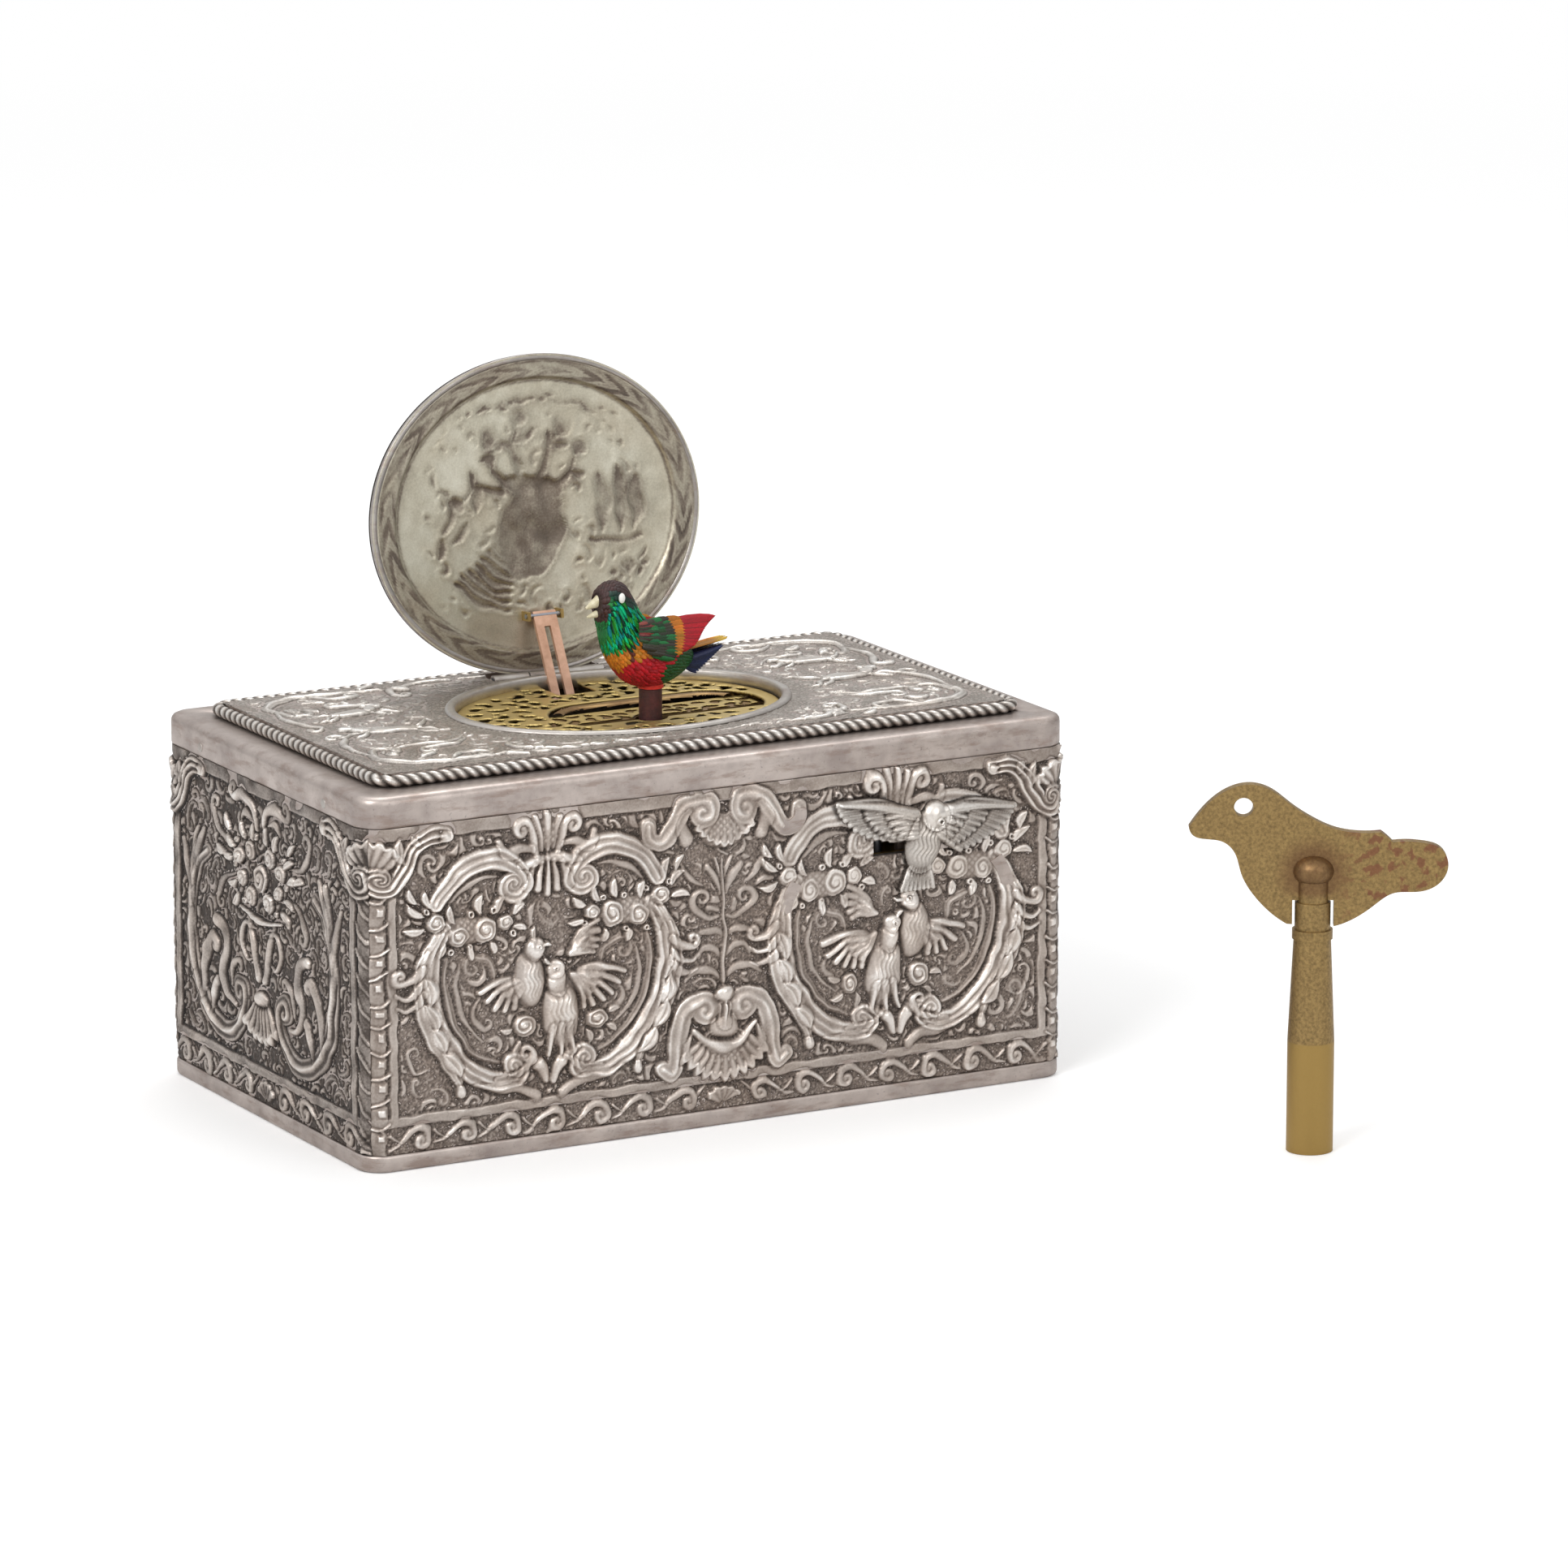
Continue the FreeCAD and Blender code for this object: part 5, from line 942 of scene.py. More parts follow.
def cartouche(relief, middle):
    """One oval cartouche of leaf scrolls with a fluted crest and flower garlands."""
    for side in (-1, 1):
        run = drawn(relief, middle, side)
        run([(13.0, 28.4), (14.4, 25), (14.3, 21), (12.9, 17), (10, 13.6), (6.4, 12.0)], 0.8, 0.42, flutes=1.9)
        run([(11.8, 26), (12.9, 23), (12.6, 20), (11.2, 17.4), (9.0, 15.4)], 0.5, 0.32)
        run([*SIDE_BAND, (5.2, 9.8)], 1.7, 0.46, (1.6, 0.9, -1), ends=(0.75, 1.0, 0.6), flutes=2.9, lift=0.42)
        run([(15.4, 29.8), (17.6, 26), (17.8, 21.5), (16.3, 16.8), (14.2, 13.2), (13.0, 10.9), (12.6, 9.3)],
            1.3, 0.55, ends=(0.5, 1.0, 0.35), flutes=1.9, lift=0.4)
        for x, y, angle in ((17.4, 24.2, -104), (17.3, 20.8, -112), (16.5, 17.6, -120), (14.9, 14.2, -128)):
            relief.leaf(middle + side * x, y, 3.7, turned(angle, side), 1.05, 0.65, 0.4)
        relief.blob(middle + side * 12.6, 9.1, 0.75, 0.95, 0, 0.75)
        run([(17.6, 25.4), (18.9, 24.3), (20.3, 23.9)], 0.62, 0.75, (0.95, 1.05, 1), ends=(1, 1, 0.6))
        run([(17.6, 23.7), (18.9, 22.3), (20.2, 21.9), (21.2, 22.6)], 0.5, 0.62, ends=(1, 1, 0.5))
        run([(17.4, 22.2), (18.6, 20.9), (19.9, 20.4), (21.0, 20.9)], 0.5, 0.58, ends=(1, 1, 0.5))
        run([(17.0, 27.6), (18.0, 26.4), (18.6, 25.6)], 0.45, 0.5)
        run(UPPER_BAND, 1.6, 0.46, (1.75, 1.15, 1), ends=(0.7, 1.0, 0.65), flutes=2.9, lift=0.42)
        run([(14.0, 33.2), (12.0, 35.0), (9.4, 36.1), (7.2, 36.2)], 0.6, 0.38)
        run([(1.5, 38.3), (1.9, 40.2), (2.3, 42.0)], 0.8, 0.85, (1.25, 1.15, -1), ends=(0.8, 1, 0.6))
        run([(0.75, 38.9), (1.0, 41.2), (1.6, 43.2)], 0.52, 0.75, ends=(0.6, 1, 1))
        run([(2.2, 39.2), (4.0, 39.5), (5.8, 38.9), (6.8, 40.5)], 0.8, 0.62, ends=(0.6, 1, 0.6))
        run([(0.2, 38.0), (1.9, 37.6), (4.4, 37.4)], 0.85, 0.9, ends=(0.7, 1, 0.4))
        run([(0.9, 37.4), (1.3, 35.6), (1.5, 33.9)], 0.6, 0.75, ends=(0.5, 0.9, 1.1))
        run([(2.0, 37.2), (2.6, 35.6), (3.0, 34.3)], 0.6, 0.68, ends=(0.5, 0.9, 1.1))
        run([(10.5, 9.6), (6.8, 8.9), (3.6, 8.4), (1.9, 7.3)], 0.85, 0.55, ends=(0.3, 1, 0.9))
        run([(0.5, 9.2), (1.2, 10.9), (2.6, 12.2), (4.0, 12.9)], 1.0, 0.8, ends=(0.6, 1, 0.5))
        run([(7.5, 10.3), (4.2, 10.6), (1.7, 12.6)], 0.4, 0.5)
        run([(16.5, 12.5), (18.5, 12), (19.6, 14.5)], 0.35, 0.4, (1.0, 0.9, 1))
        run([(9.6, 21.0), (7.6, 22.4), (7.8, 25.0), (9.8, 26.1)], 0.62, 0.36, (1.5, 1.0, -1), flutes=1.9)
        run([(9.6, 21.0), (10.6, 18.8), (9.2, 17.0)], 0.5, 0.3, (0.9, 0.9, -1))
        for x, y, radius in ((9.0, 29.7, 1.75), (12.6, 29.2, 1.5), (15.8, 31.3, 1.3), (6.1, 30.2, 1.15)):
            relief.rose(middle + side * x, y, radius, 0.62, 0.38)
        for x, y in ((7.8, 31.9), (10.7, 31.8), (13.9, 32.3), (17.1, 32.8), (10.9, 27.5), (13.6, 27.3), (5.0, 28.7)):
            relief.berry(middle + side * x, y, 0.5, 0.62, 0.1)
        for x, y, angle, length in (
            (5.2, 31.2, 150, 2.2), (5.0, 29.4, 195, 2.0), (16.4, 33.2, 75, 2.6), (17.4, 32.2, 40, 2.8),
            (17.2, 30.8, -5, 2.8), (9.6, 31.6, 95, 2.4), (7.4, 31.5, 120, 2.2), (13.0, 31.0, 70, 2.4),
            (11.2, 27.6, -100, 1.9), (8.2, 27.9, -110, 1.9), (14.6, 28.4, -60, 1.8), (18.2, 34.0, 60, 2.4),
        ):
            relief.leaf(middle + side * x, y, length, turned(angle, side), 0.58, 0.5, 0.22)
    relief.stroke([(middle, 38.8), (middle, 41.2), (middle, 43.5)], 0.6, 0.8, (0.6, 1, 1))
    relief.stroke([(middle, 38.2), (middle, 36), (middle, 33.3)], 0.5, 0.85, (0.5, 0.9, 1.2))


def wing(relief, x, y, length, angle, spread, feathers, height, lift=0.0, half=0.62):
    """A spread wing: long feathers from a shoulder, shorter ones over their roots."""
    for index in range(feathers):
        share = index / max(1, feathers - 1)
        turn = math.radians(angle + spread * (share - 0.5))
        reach = length * (1.0 - 0.38 * share)
        path = [
            (x + reach * t * math.cos(turn - 0.35 * (1 - t) * math.copysign(1, spread)),
             y + reach * t * math.sin(turn - 0.35 * (1 - t) * math.copysign(1, spread)))
            for t in (0, 0.35, 0.7, 1)
        ]
        relief.stroke(path, half, height, (0.6, 1.0, 0.75), sink=0.10, lift=lift)
    for index in range(max(2, feathers - 2)):
        share = index / max(1, feathers - 3)
        turn = math.radians(angle + spread * 0.8 * (share - 0.5))
        reach = length * 0.5
        path = [(x, y), (x + reach * math.cos(turn), y + reach * math.sin(turn))]
        relief.stroke(path, half * 1.05, height + 0.12, (0.8, 1.0, 0.7), sink=0.08, lift=lift)


def doves(relief, middle, side):
    """A pair of doves on a perch, with two roses at their feet."""
    def at(x):
        return middle + side * x

    wing(relief, at(3.0), 25.2, 5.4, turned(18, side), -side * 50, 5, 0.62)
    wing(relief, at(-3.2), 22.6, 6.6, turned(218, side), side * 60, 5, 0.62)
    wing(relief, at(3.2), 22.4, 7.6, turned(-35, side), -side * 62, 6, 0.70)
    relief.blob(at(-2.6), 22.4, 2.3, 3.7, side * 6, 1.0, ribs=2.4)
    relief.blob(at(-1.9), 26.3, 1.35, 1.6, side * -20, 0.95, 0.15)
    relief.leaf(at(-2.0), 27.3, 1.7, 90, 0.4, 0.6)
    relief.leaf(at(-0.9), 26.6, 1.2, turned(10, side), 0.35, 0.7, 0.2)
    relief.berry(at(-1.6), 26.6, 0.36, 0.5, 0.75)
    relief.blob(at(1.8), 17.4, 2.65, 4.7, side * 8, 1.15, ribs=2.2)
    relief.blob(at(1.05), 22.0, 1.35, 2.3, side * 10, 1.1, 0.1)
    relief.blob(at(0.8), 23.5, 1.25, 1.25, 0, 1.05, 0.2)
    relief.leaf(at(0.1), 24.2, 1.2, turned(135, side), 0.35, 0.8, 0.2)
    relief.berry(at(0.65), 23.5, 0.36, 0.5, 0.9)
    for x, tip in ((0.6, -0.4), (1.8, 1.6), (3.0, 3.6)):
        relief.stroke([(at(x), 16.0), (at((x + tip) / 2), 14.0), (at(tip), 12.4)], 0.5, 0.85, (1, 1, 0.7))
    relief.rose(at(-3.3), 16.4, 1.6, 0.6, 0.2)
    relief.rose(at(6.8), 16.2, 1.35, 0.55, 0.15)
    for x, y, angle in ((-5.0, 16.2, 185), (-4.0, 14.6, 230), (8.2, 16.8, 15), (5.6, 14.9, -80), (8.0, 15.2, -30)):
        relief.leaf(at(x), y, 1.9, turned(angle, side), 0.5, 0.45)
    relief.stroke(curled([(at(-5.6), 10.4), (at(-3.6), 10.9), (at(-2.5), 12.5)], 0.95, 1.0, side), 0.62, 0.8)


def middle_ornament(relief):
    """What lies between the two cartouches: a shell above, a tree of leaves and a shell below."""
    for side in (-1, 1):
        run = drawn(relief, 0.0, side)
        run(HIGH_SCROLL, 1.45, 0.42, (1.55, 1.1, 1), ends=(0.7, 1.0, 0.7), flutes=1.9, lift=0.42)
        run([(5.0, 41.4), (5.9, 39.8), (5.4, 37.9)], 1.1, 0.62, ends=(0.4, 0.8, 1.0))
        run([(0.0, 27.6), (1.8, 27.2), (3.9, 28.4)], 0.6, 0.42, (1.55, 1.1, 1))
        run([(0.0, 24.4), (1.5, 25.6), (3.4, 25.4), (4.2, 24.2)], 0.6, 0.36)
        run([(0.0, 21.6), (1.4, 23.2), (3.0, 23.2), (3.8, 22.0)], 0.6, 0.36)
        run([(0.0, 18.8), (1.8, 20.5), (3.8, 20.6), (5.4, 19.4)], 0.65, 0.36)
        run([(0.3, 29.8), (1.0, 32.2), (2.5, 33.9)], 0.6, 0.38, ends=(0.3, 1, 0.8))
        run([(0.2, 31.6), (0.6, 33.6), (1.2, 35.0)], 0.3, 0.34, ends=(0.3, 1, 0.8))
        run([(3.0, 31.6), (4.6, 32.6), (5.8, 34.8)], 0.55, 0.34)
        run(LOW_SCROLL, 1.5, 0.42, (1.35, 1.05, 1), ends=(0.7, 1.0, 0.75), flutes=1.9, lift=0.42)
        run([(4.9, 8.4), (5.4, 10.6), (4.6, 12.8)], 0.6, 0.7, ends=(1.1, 0.9, 0.4))
    relief.stroke([(0.0, 17.5), (0.0, 24), (0.0, 31), (0.0, 35.2)], 0.3, 0.4, (1, 0.9, 0.4))
    relief.shell(0.0, 41.2, 4.9, 202, 338, 9, 0.75)
    relief.shell(0.0, 13.8, 8.2, 212, 328, 11, 0.80)
    relief.stroke([(-4.4, 12.9), (-2.2, 10.9), (0.0, 10.2), (2.2, 10.9), (4.4, 12.9)],
                  0.95, 0.95, (0.4, 1.0, 0.4))
    relief.blob(0.0, 12.9, 2.1, 1.6, 0, 0.85)
    relief.stroke([(0.0, 17.2), (0.0, 15.2), (0.0, 13.4)], 0.9, 0.9, (0.7, 0.9, 1.0), flutes=2.0)
    relief.blob(0.0, 17.2, 1.35, 1.15, 0, 0.8, 0.2)


def long_wall(seed, cell, slot):
    """The chasing of the front, or of the back, which is the same without the slot."""
    half = HALF_WIDTH
    reach = half - CASE_ROUND + HALF_CORNER
    relief = Relief(-reach, reach, BAND_TOP, CASE_TOP, cell)
    border(relief, half, True)
    corner_crown(relief, half)
    for middle, side in ((-25, 1), (25, -1)):
        cartouche(relief, middle)
        doves(relief, middle, side)
    middle_ornament(relief)
    relief.fill(seed, 900, 2.4, 6.5, 0.27, (-half + 4.3, half - 4.3, 7.3, 42.0))
    relief.swirl(seed + 2, 3.4, 0.31, (-half + 4.4, half - 4.4, 7.3, 41.9))
    relief.waver(seed + 3, 0.11)
    cover_walls(relief)
    if slot:
        relief.rub = relief.patina()
        near_x = np.clip(np.minimum(relief.x - (SLOT_LEFT - 14.5), SLIDER_HIGH[0] + 1 - relief.x) / 2, 0, 1)
        near_y = np.clip(np.minimum(relief.y - (SLIDER_LOW[2] - 3.2), SLIDER_HIGH[2] + 1 - relief.y) / 1.2, 0, 1)
        near = near_x * near_y
        low = 0.24 * np.tanh(relief.h / 0.24) + 0.10 * relief.h
        relief.h = relief.h * (1 - near) + low * near
        plate_x = np.clip(np.minimum(relief.x - SLOT_LEFT + 3, 27 - relief.x) / 0.8, 0, 1)
        plate_y = np.clip(np.minimum(relief.y - 31.0, 36.0 - relief.y) / 0.8, 0, 1)
        relief.h = relief.h * (1 - 0.8 * plate_x * plate_y)
    relief.stipple(seed + 1, 0.045)
    return relief


def short_wall(seed, cell):
    """The chasing of an end: one cartouche of leaf scrolls round a basket of flowers."""
    half = HALF_DEPTH
    reach = half - CASE_ROUND + HALF_CORNER
    relief = Relief(-reach, reach, BAND_TOP, CASE_TOP, cell)
    border(relief, half, False)
    corner_crown(relief, half)
    x0 = -0.8
    for side in (-1, 1):
        run = drawn(relief, x0, side, 1, 1.35, 0.85)
        run([(15.8, 32.2), (18.6, 30.2), (20.4, 26), (20.9, 20), (18.8, 14), (14.4, 10.2), (9.4, 9.6),
             (6.0, 12.0), (4.9, 14.8)], 1.25, 0.95, (1.75, 1.1, -1), ends=(0.6, 1.0, 0.6), flutes=1.9)
        run([(19.8, 16), (20.9, 22), (20.4, 28), (18.6, 34.6)], 0.8, 0.8, ends=(0.4, 1, 0.5))
        run([(20.6, 24), (21.8, 29), (23.0, 32.2)], 0.6, 0.65, ends=(0.4, 1, 0.6))
        run([(20.4, 27), (19.0, 31), (16.8, 34.8)], 0.6, 0.65, ends=(0.4, 1, 0.6))
        run([(17.4, 13), (16.9, 17.5), (14.7, 20.7)], 0.85, 0.75, (1.0, 0.8, 1), ends=(0.5, 1, 0.6))
        run([(14.8, 11.2), (13.6, 14.8), (12.9, 15.6)], 0.65, 0.7, ends=(0.4, 1, 0.9))
        run([(13.4, 23.6), (11.2, 22.8), (10.4, 20.2), (11.6, 17), (10.6, 14.4), (8.0, 13.4)], 0.75, 0.75,
            ends=(0.9, 1, 0.4))
        run([(9.2, 15.6), (8.6, 18.4), (7.0, 19.4)], 0.5, 0.6, (0.7, 0.9, 1))
        run([(1.0, 37.8), (1.9, 40.4), (4.6, 41.4), (7.2, 41.0)], 0.75, 0.85, (0.95, 1.0, 1))
        run([(2.4, 38.8), (4.4, 39.4), (5.6, 38.2)], 0.5, 0.6)
        run([(3.8, 26.0), (2.3, 22.6), (1.0, 18.6)], 0.6, 0.75, ends=(0.5, 1, 1.0))
        run([(1.6, 24.6), (4.6, 24.9), (5.6, 22.4), (4.2, 20.2), (2.6, 20.6)], 0.42, 0.6)
        run([(8.6, 34.4), (12.2, 35.4), (14.0, 38.2)], 0.5, 0.5, (1.2, 1.0, 1))
        run([(7.6, 30.8), (10.8, 29.6), (12.8, 27.0)], 0.45, 0.45, (1.1, 1.0, -1))
        for x, y, radius in ((2.6, 28.9, 1.3), (6.0, 33.4, 1.2), (3.0, 34.6, 1.35), (5.2, 30.6, 1.1)):
            relief.rose(x0 + side * x, y, radius, 0.6, 0.25)
        for x, y in ((1.2, 36.9), (7.4, 32.0), (4.6, 36.4), (6.9, 35.4), (7.8, 29.0), (4.6, 27.8)):
            relief.berry(x0 + side * x, y, 0.5, 0.55)
        for x, y, angle in ((7.4, 34.2, 30), (7.0, 30.0, -15), (4.4, 35.8, 70), (8.2, 32.6, 10),
                            (6.4, 28.4, -40), (2.0, 36.0, 95), (8.4, 36.2, 50), (10.2, 33.0, 15)):
            relief.leaf(x0 + side * x, y, 2.5, turned(angle, side), 0.6, 0.55, 0.1)
    relief.stroke([(x0 - 6.2, 26.9), (x0 - 2, 26.2), (x0 + 2, 26.2), (x0 + 6.2, 26.9)], 0.5, 0.9)
    relief.rose(x0, 31.6, 2.0, 0.7, 0.3)
    relief.shell(x0, 17.4, 7.6, 225, 315, 7, 0.85)
    relief.blob(x0, 16.0, 2.0, 1.1, 0, 0.9)
    relief.fill(seed, 900, 2.0, 4.8, 0.27, (-half + 4.3, half - 4.3, 7.3, 42.0))
    relief.swirl(seed + 2, 3.0, 0.30, (-half + 4.4, half - 4.4, 7.3, 41.9))
    relief.waver(seed + 3, 0.11)
    relief.stipple(seed + 1, 0.04)
    return relief


def hound(relief, x, y, side, size=1.0):
    """A leaping animal with a long tail."""
    def at(dx, dy):
        return x + side * dx * size, y + dy * size

    def limb(points, half, height=0.42):
        relief.stroke([at(*p) for p in points], half * size, height, (1, 0.8, 0.5), sink=0.12)

    limb([(-3.6, 0.4), (-5.4, -0.6), (-6.2, -2.2), (-7.6, -2.6)], 0.55)
    limb([(-3.2, 0.2), (-4.2, -1.6), (-5.8, -2.6)], 0.5)
    limb([(3.2, 0.8), (5.2, 0.4), (6.6, -0.9), (7.8, -0.8)], 0.5)
    limb([(2.8, 0.4), (4.0, -1.0), (5.4, -1.8)], 0.45)
    limb([(-4.0, 1.0), (-6.0, 2.0), (-7.4, 3.8), (-9.0, 3.6)], 0.35)
    relief.blob(*at(-0.4, 0.7), 4.3 * size, 1.5 * size, side * 6, 0.62)
    relief.blob(*at(3.4, 2.1), 1.7 * size, 1.0 * size, side * 48, 0.60)
    relief.blob(*at(4.7, 3.4), 1.3 * size, 0.75 * size, side * 8, 0.62)
    relief.leaf(*at(4.0, 4.0), 1.3 * size, 90 + side * 40, 0.35, 0.45)


def top_chasing(seed, cell):
    """The chasing of the top panel: leaf scrolls and leaping animals round the oval."""
    left, front = PANEL_LOW[0], PANEL_LOW[1]
    relief = Relief(left, -left, front, -front, cell)
    for gap in (0.5, 1.1):
        wide, deep = -left - gap, -front - gap
        for first, last, low, high in (
            (-wide, wide, -deep, 0.2 - deep), (-wide, wide, deep - 0.2, deep),
            (-wide, 0.2 - wide, -deep, deep), (wide - 0.2, wide, -deep, deep),
        ):
            relief.sink_line(first, last, low, high, 0.10)
    for side in (-1, 1):
        for up in (-1, 1):
            run = drawn(relief, 0.0, side, up)
            run([(23, 19.6), (30, 20.6), (37.5, 20.2), (41.6, 16.6), (41.0, 12.4)], 0.95, 0.45, (2.0, 1.1, -1),
                flutes=1.9)
            run([(13, 20.9), (18, 21.3), (22.6, 19.2), (23.6, 16.6)], 0.7, 0.4, (1.3, 1.0, -1))
            run([(33.6, 20.2), (31.2, 17.6), (28.6, 17.8)], 0.6, 0.38, (1.2, 1.0, -1))
            run([(41.8, 14), (42.2, 8), (40.4, 3.6)], 0.6, 0.38, (1.5, 1.0, 1))
            run([(26.4, 9.4), (29.2, 12.4), (33.6, 13.0)], 0.5, 0.35, (1.3, 1.1, 1))
            run([(3, 21.6), (7.6, 20.8), (11.6, 21.4)], 0.45, 0.3)
            for x, y, angle in ((36.4, 17.4, 200), (38.2, 14.4, 240), (26.4, 20.8, 150), (20.4, 18.2, 60)):
                relief.leaf(side * x, up * y, 3.0, up * turned(angle, side), 0.75, 0.4)
            relief.rose(side * 39.0, up * 14.3, 1.1, 0.35)
        relief.stroke([(side * 26.5, -9), (side * 30, -11.2), (side * 34, -10.6), (side * 38, -11.6)], 0.6, 0.3)
        hound(relief, side * 33.6, -2.4, side, 0.95)
        hound(relief, side * 33.0, 8.2, -side, 0.8)
    for x in np.arange(-20, 21, 4.0):
        relief.leaf(x, -21.4 - 0.02 * abs(x), 3.0, 20 if x > 0 else 160, 0.5, 0.25)
    relief.fill(seed, 1500, 1.0, 4.0, 0.16, (left + 1.8, -left - 1.8, front + 1.8, -front - 1.8), 0.05)
    near = np.hypot(relief.x / (OVAL_WIDE + 3.4), (relief.y - OVAL_BACK) / (OVAL_DEEP + 2.6))
    relief.h = relief.h * np.clip((near - 1.0) / 0.05, 0, 1)
    relief.waver(seed + 3, 0.12, 0.2)
    relief.h = np.minimum(relief.h, 0.44)
    relief.stipple(seed + 1, 0.03)
    return relief


def box_ring(half_x, half_y, radius, count=10):
    """A rounded rectangle's outline, the same number of points whatever its size."""
    radius = max(radius, 0.25)
    points = []
    for quarter in range(4):
        sx, sy = ((1, 1), (-1, 1), (-1, -1), (1, -1))[quarter]
        for step in range(count + 1):
            angle = math.pi / 2 * (quarter + step / count)
            points.append((
                sx * (half_x - radius) + radius * math.cos(angle),
                sy * (half_y - radius) + radius * math.sin(angle),
            ))
    return np.array(points + points[:1])


def swept_ring(name, ring_at, profile):
    """A ring whose section is a closed profile of steps outward and heights."""
    closed = [*profile, profile[0]]
    rings = np.array([
        [(x, y, height) for x, y in ring_at(out)] for out, height in closed
    ])
    return sheet_of(name, rings, closed=True)


def oval_ring(half_x, half_y, middle_y, count=144):
    """An oval's outline that grows by equal steps."""
    def ring(out):
        angles = np.linspace(0, 2 * math.pi, count + 1)
        return [
            ((half_x + out) * math.cos(a), middle_y + (half_y + out) * math.sin(a)) for a in angles
        ]
    return ring


def opened(spots):
    """Moves spots from the closed lid to where the open lid has them."""
    y, z = spots[..., 1] - HINGE_BACK, spots[..., 2] - HINGE_UP
    cosine, sine = math.cos(-LID_OPEN), math.sin(-LID_OPEN)
    turned = np.stack([
        spots[..., 0], HINGE_BACK + y * cosine - z * sine, HINGE_UP + y * sine + z * cosine,
    ], axis=-1)
    return turned


def move_to_lid(item):
    """Opens a piece that was drawn on the closed lid."""
    flat = np.empty(len(item.data.vertices) * 3)
    item.data.vertices.foreach_get("co", flat)
    item.data.vertices.foreach_set("co", (opened(flat.reshape(-1, 3) / MM) * MM).ravel())
    item.data.update()


def lid_chasing(inside, cell):
    """Heights over the lid's oval: hollows inside, the same forms raised outside."""
    wide, deep = LID_WIDE, LID_DEEP
    relief = Relief(-wide, wide, -deep, deep, cell)
    relief.blob(-0.6, 2.2, 5.0, 6.6, 24, 0.9, sink=0.1)
    relief.blob(-0.2, -3.6, 4.4, 1.7, 12, 0.8, sink=0.1)
    for arc in np.arange(3.2, 10.4, 1.15):
        points = [(-3.4 + arc * math.cos(turn), 2.2 + arc * math.sin(turn)) for turn in (1.66, 1.96, 2.26, 2.56)]
        relief.stroke(points, 0.50, 0.6, (0.5, 1, 0.6), sink=0.1)
    for points in (
        [(-4.0, -4.2), (-5.6, -6.6), (-6.0, -9.4)], [(-1.8, -4.6), (-2.6, -8.4), (-2.0, -12.6)],
        [(1.0, -4.4), (2.2, -7.6), (4.2, -10.6)], [(3.0, -3.2), (5.4, -5.2), (6.6, -7.8)],
        [(-4.6, -3.2), (-8.0, -4.0), (-10.4, -2.6)],
    ):
        relief.stroke(points, 0.5, 0.5, (1.2, 0.8, 0.5), sink=0.1)
    for x, y, radius in (
        (-6.2, -10.2, 1.4), (4.8, -11.4, 1.5), (7.2, -8.4, 1.2), (-11.4, -2.2, 1.4), (-1.8, -13.2, 1.0),
    ):
        relief.rose(x, y, radius, 0.45)
    for x, y, angle, length in (
        (-5.4, -7.0, 200, 2.8), (-5.9, -8.6, -40, 2.0), (-2.5, -8.2, 215, 3.0), (-2.4, -9.8, -30, 3.2),
        (2.4, -8.0, -100, 3.0), (3.2, -9.2, 10, 2.6), (5.6, -5.6, 20, 2.8), (-7.2, -4.0, 110, 2.8),
        (-8.6, -3.8, 250, 2.6), (-13.8, 1.4, -60, 3.6), (-12.4, 3.4, -55, 3.8), (-14.4, 4.8, -70, 3.2),
    ):
        relief.leaf(x, y, length, angle, 0.6, 0.45)
    for x in (9.6, 12.2, 14.6):
        relief.leaf(x, 3.0, 9.0 - 0.7 * abs(x - 12), -90, 1.1, 0.5, bend=0.03)
    relief.stroke([(8.0, 3.9), (11.8, 4.3), (15.6, 3.8)], 0.42, 0.45, (0.8, 1, 0.8), sink=0.1)
    source = np.random.default_rng(5)
    for _ in range(26):
        x, y = source.uniform(8.2, 15.5), source.uniform(5.6, 12.2)
        relief.leaf(x, y, source.uniform(0.8, 1.9), source.uniform(0, 360), source.uniform(0.3, 0.6), 0.4)
    for x in np.arange(-11, 12, 1.3):
        y = -15.2 + 0.02 * x * x + source.uniform(-0.5, 0.5)
        relief.leaf(x, y, source.uniform(0.8, 2.4), 4 * x + source.uniform(-30, 30), 0.42, 0.35)
    relief.fill(31 if inside else 32, 260, 1.0, 2.6, 0.22, (-16, 16, -13.5, 13.5), 0.05)
    relief.waver(9, 0.26, 0.3)
    share = np.hypot(relief.x / wide, relief.y / deep)
    relief.h = relief.h * np.clip((0.80 - share) / 0.05, 0, 1)
    angle = np.arctan2(relief.y / deep, relief.x / wide)
    across = np.clip((share - 0.845) / 0.11, 0, 1)
    drift = blurred(np.random.default_rng(6).standard_normal(relief.h.shape), 0.9 / cell)
    slant = 6 * np.abs(2 * across - 1) + 0.9 * drift / drift.std()
    leaves = np.clip(np.sin(angle * 26 + slant) * 1.8, 0, 1)
    fine = np.clip(np.sin(angle * 78 + 2.4 * slant), 0, 1)
    band = np.clip((share - 0.845) / 0.01, 0, 1) * np.clip((0.955 - share) / 0.01, 0, 1)
    relief.h = relief.h + (0.14 * leaves + 0.04 * fine) * band
    for edge in (0.832, 0.96):
        relief.h = relief.h - 0.12 * np.exp(-((share - edge) / 0.006) ** 2)
    if inside:
        relief.rub = lid_stain(relief, share, band, leaves, fine)
        relief.h = blurred(relief.h, 1.4)
    return relief, share


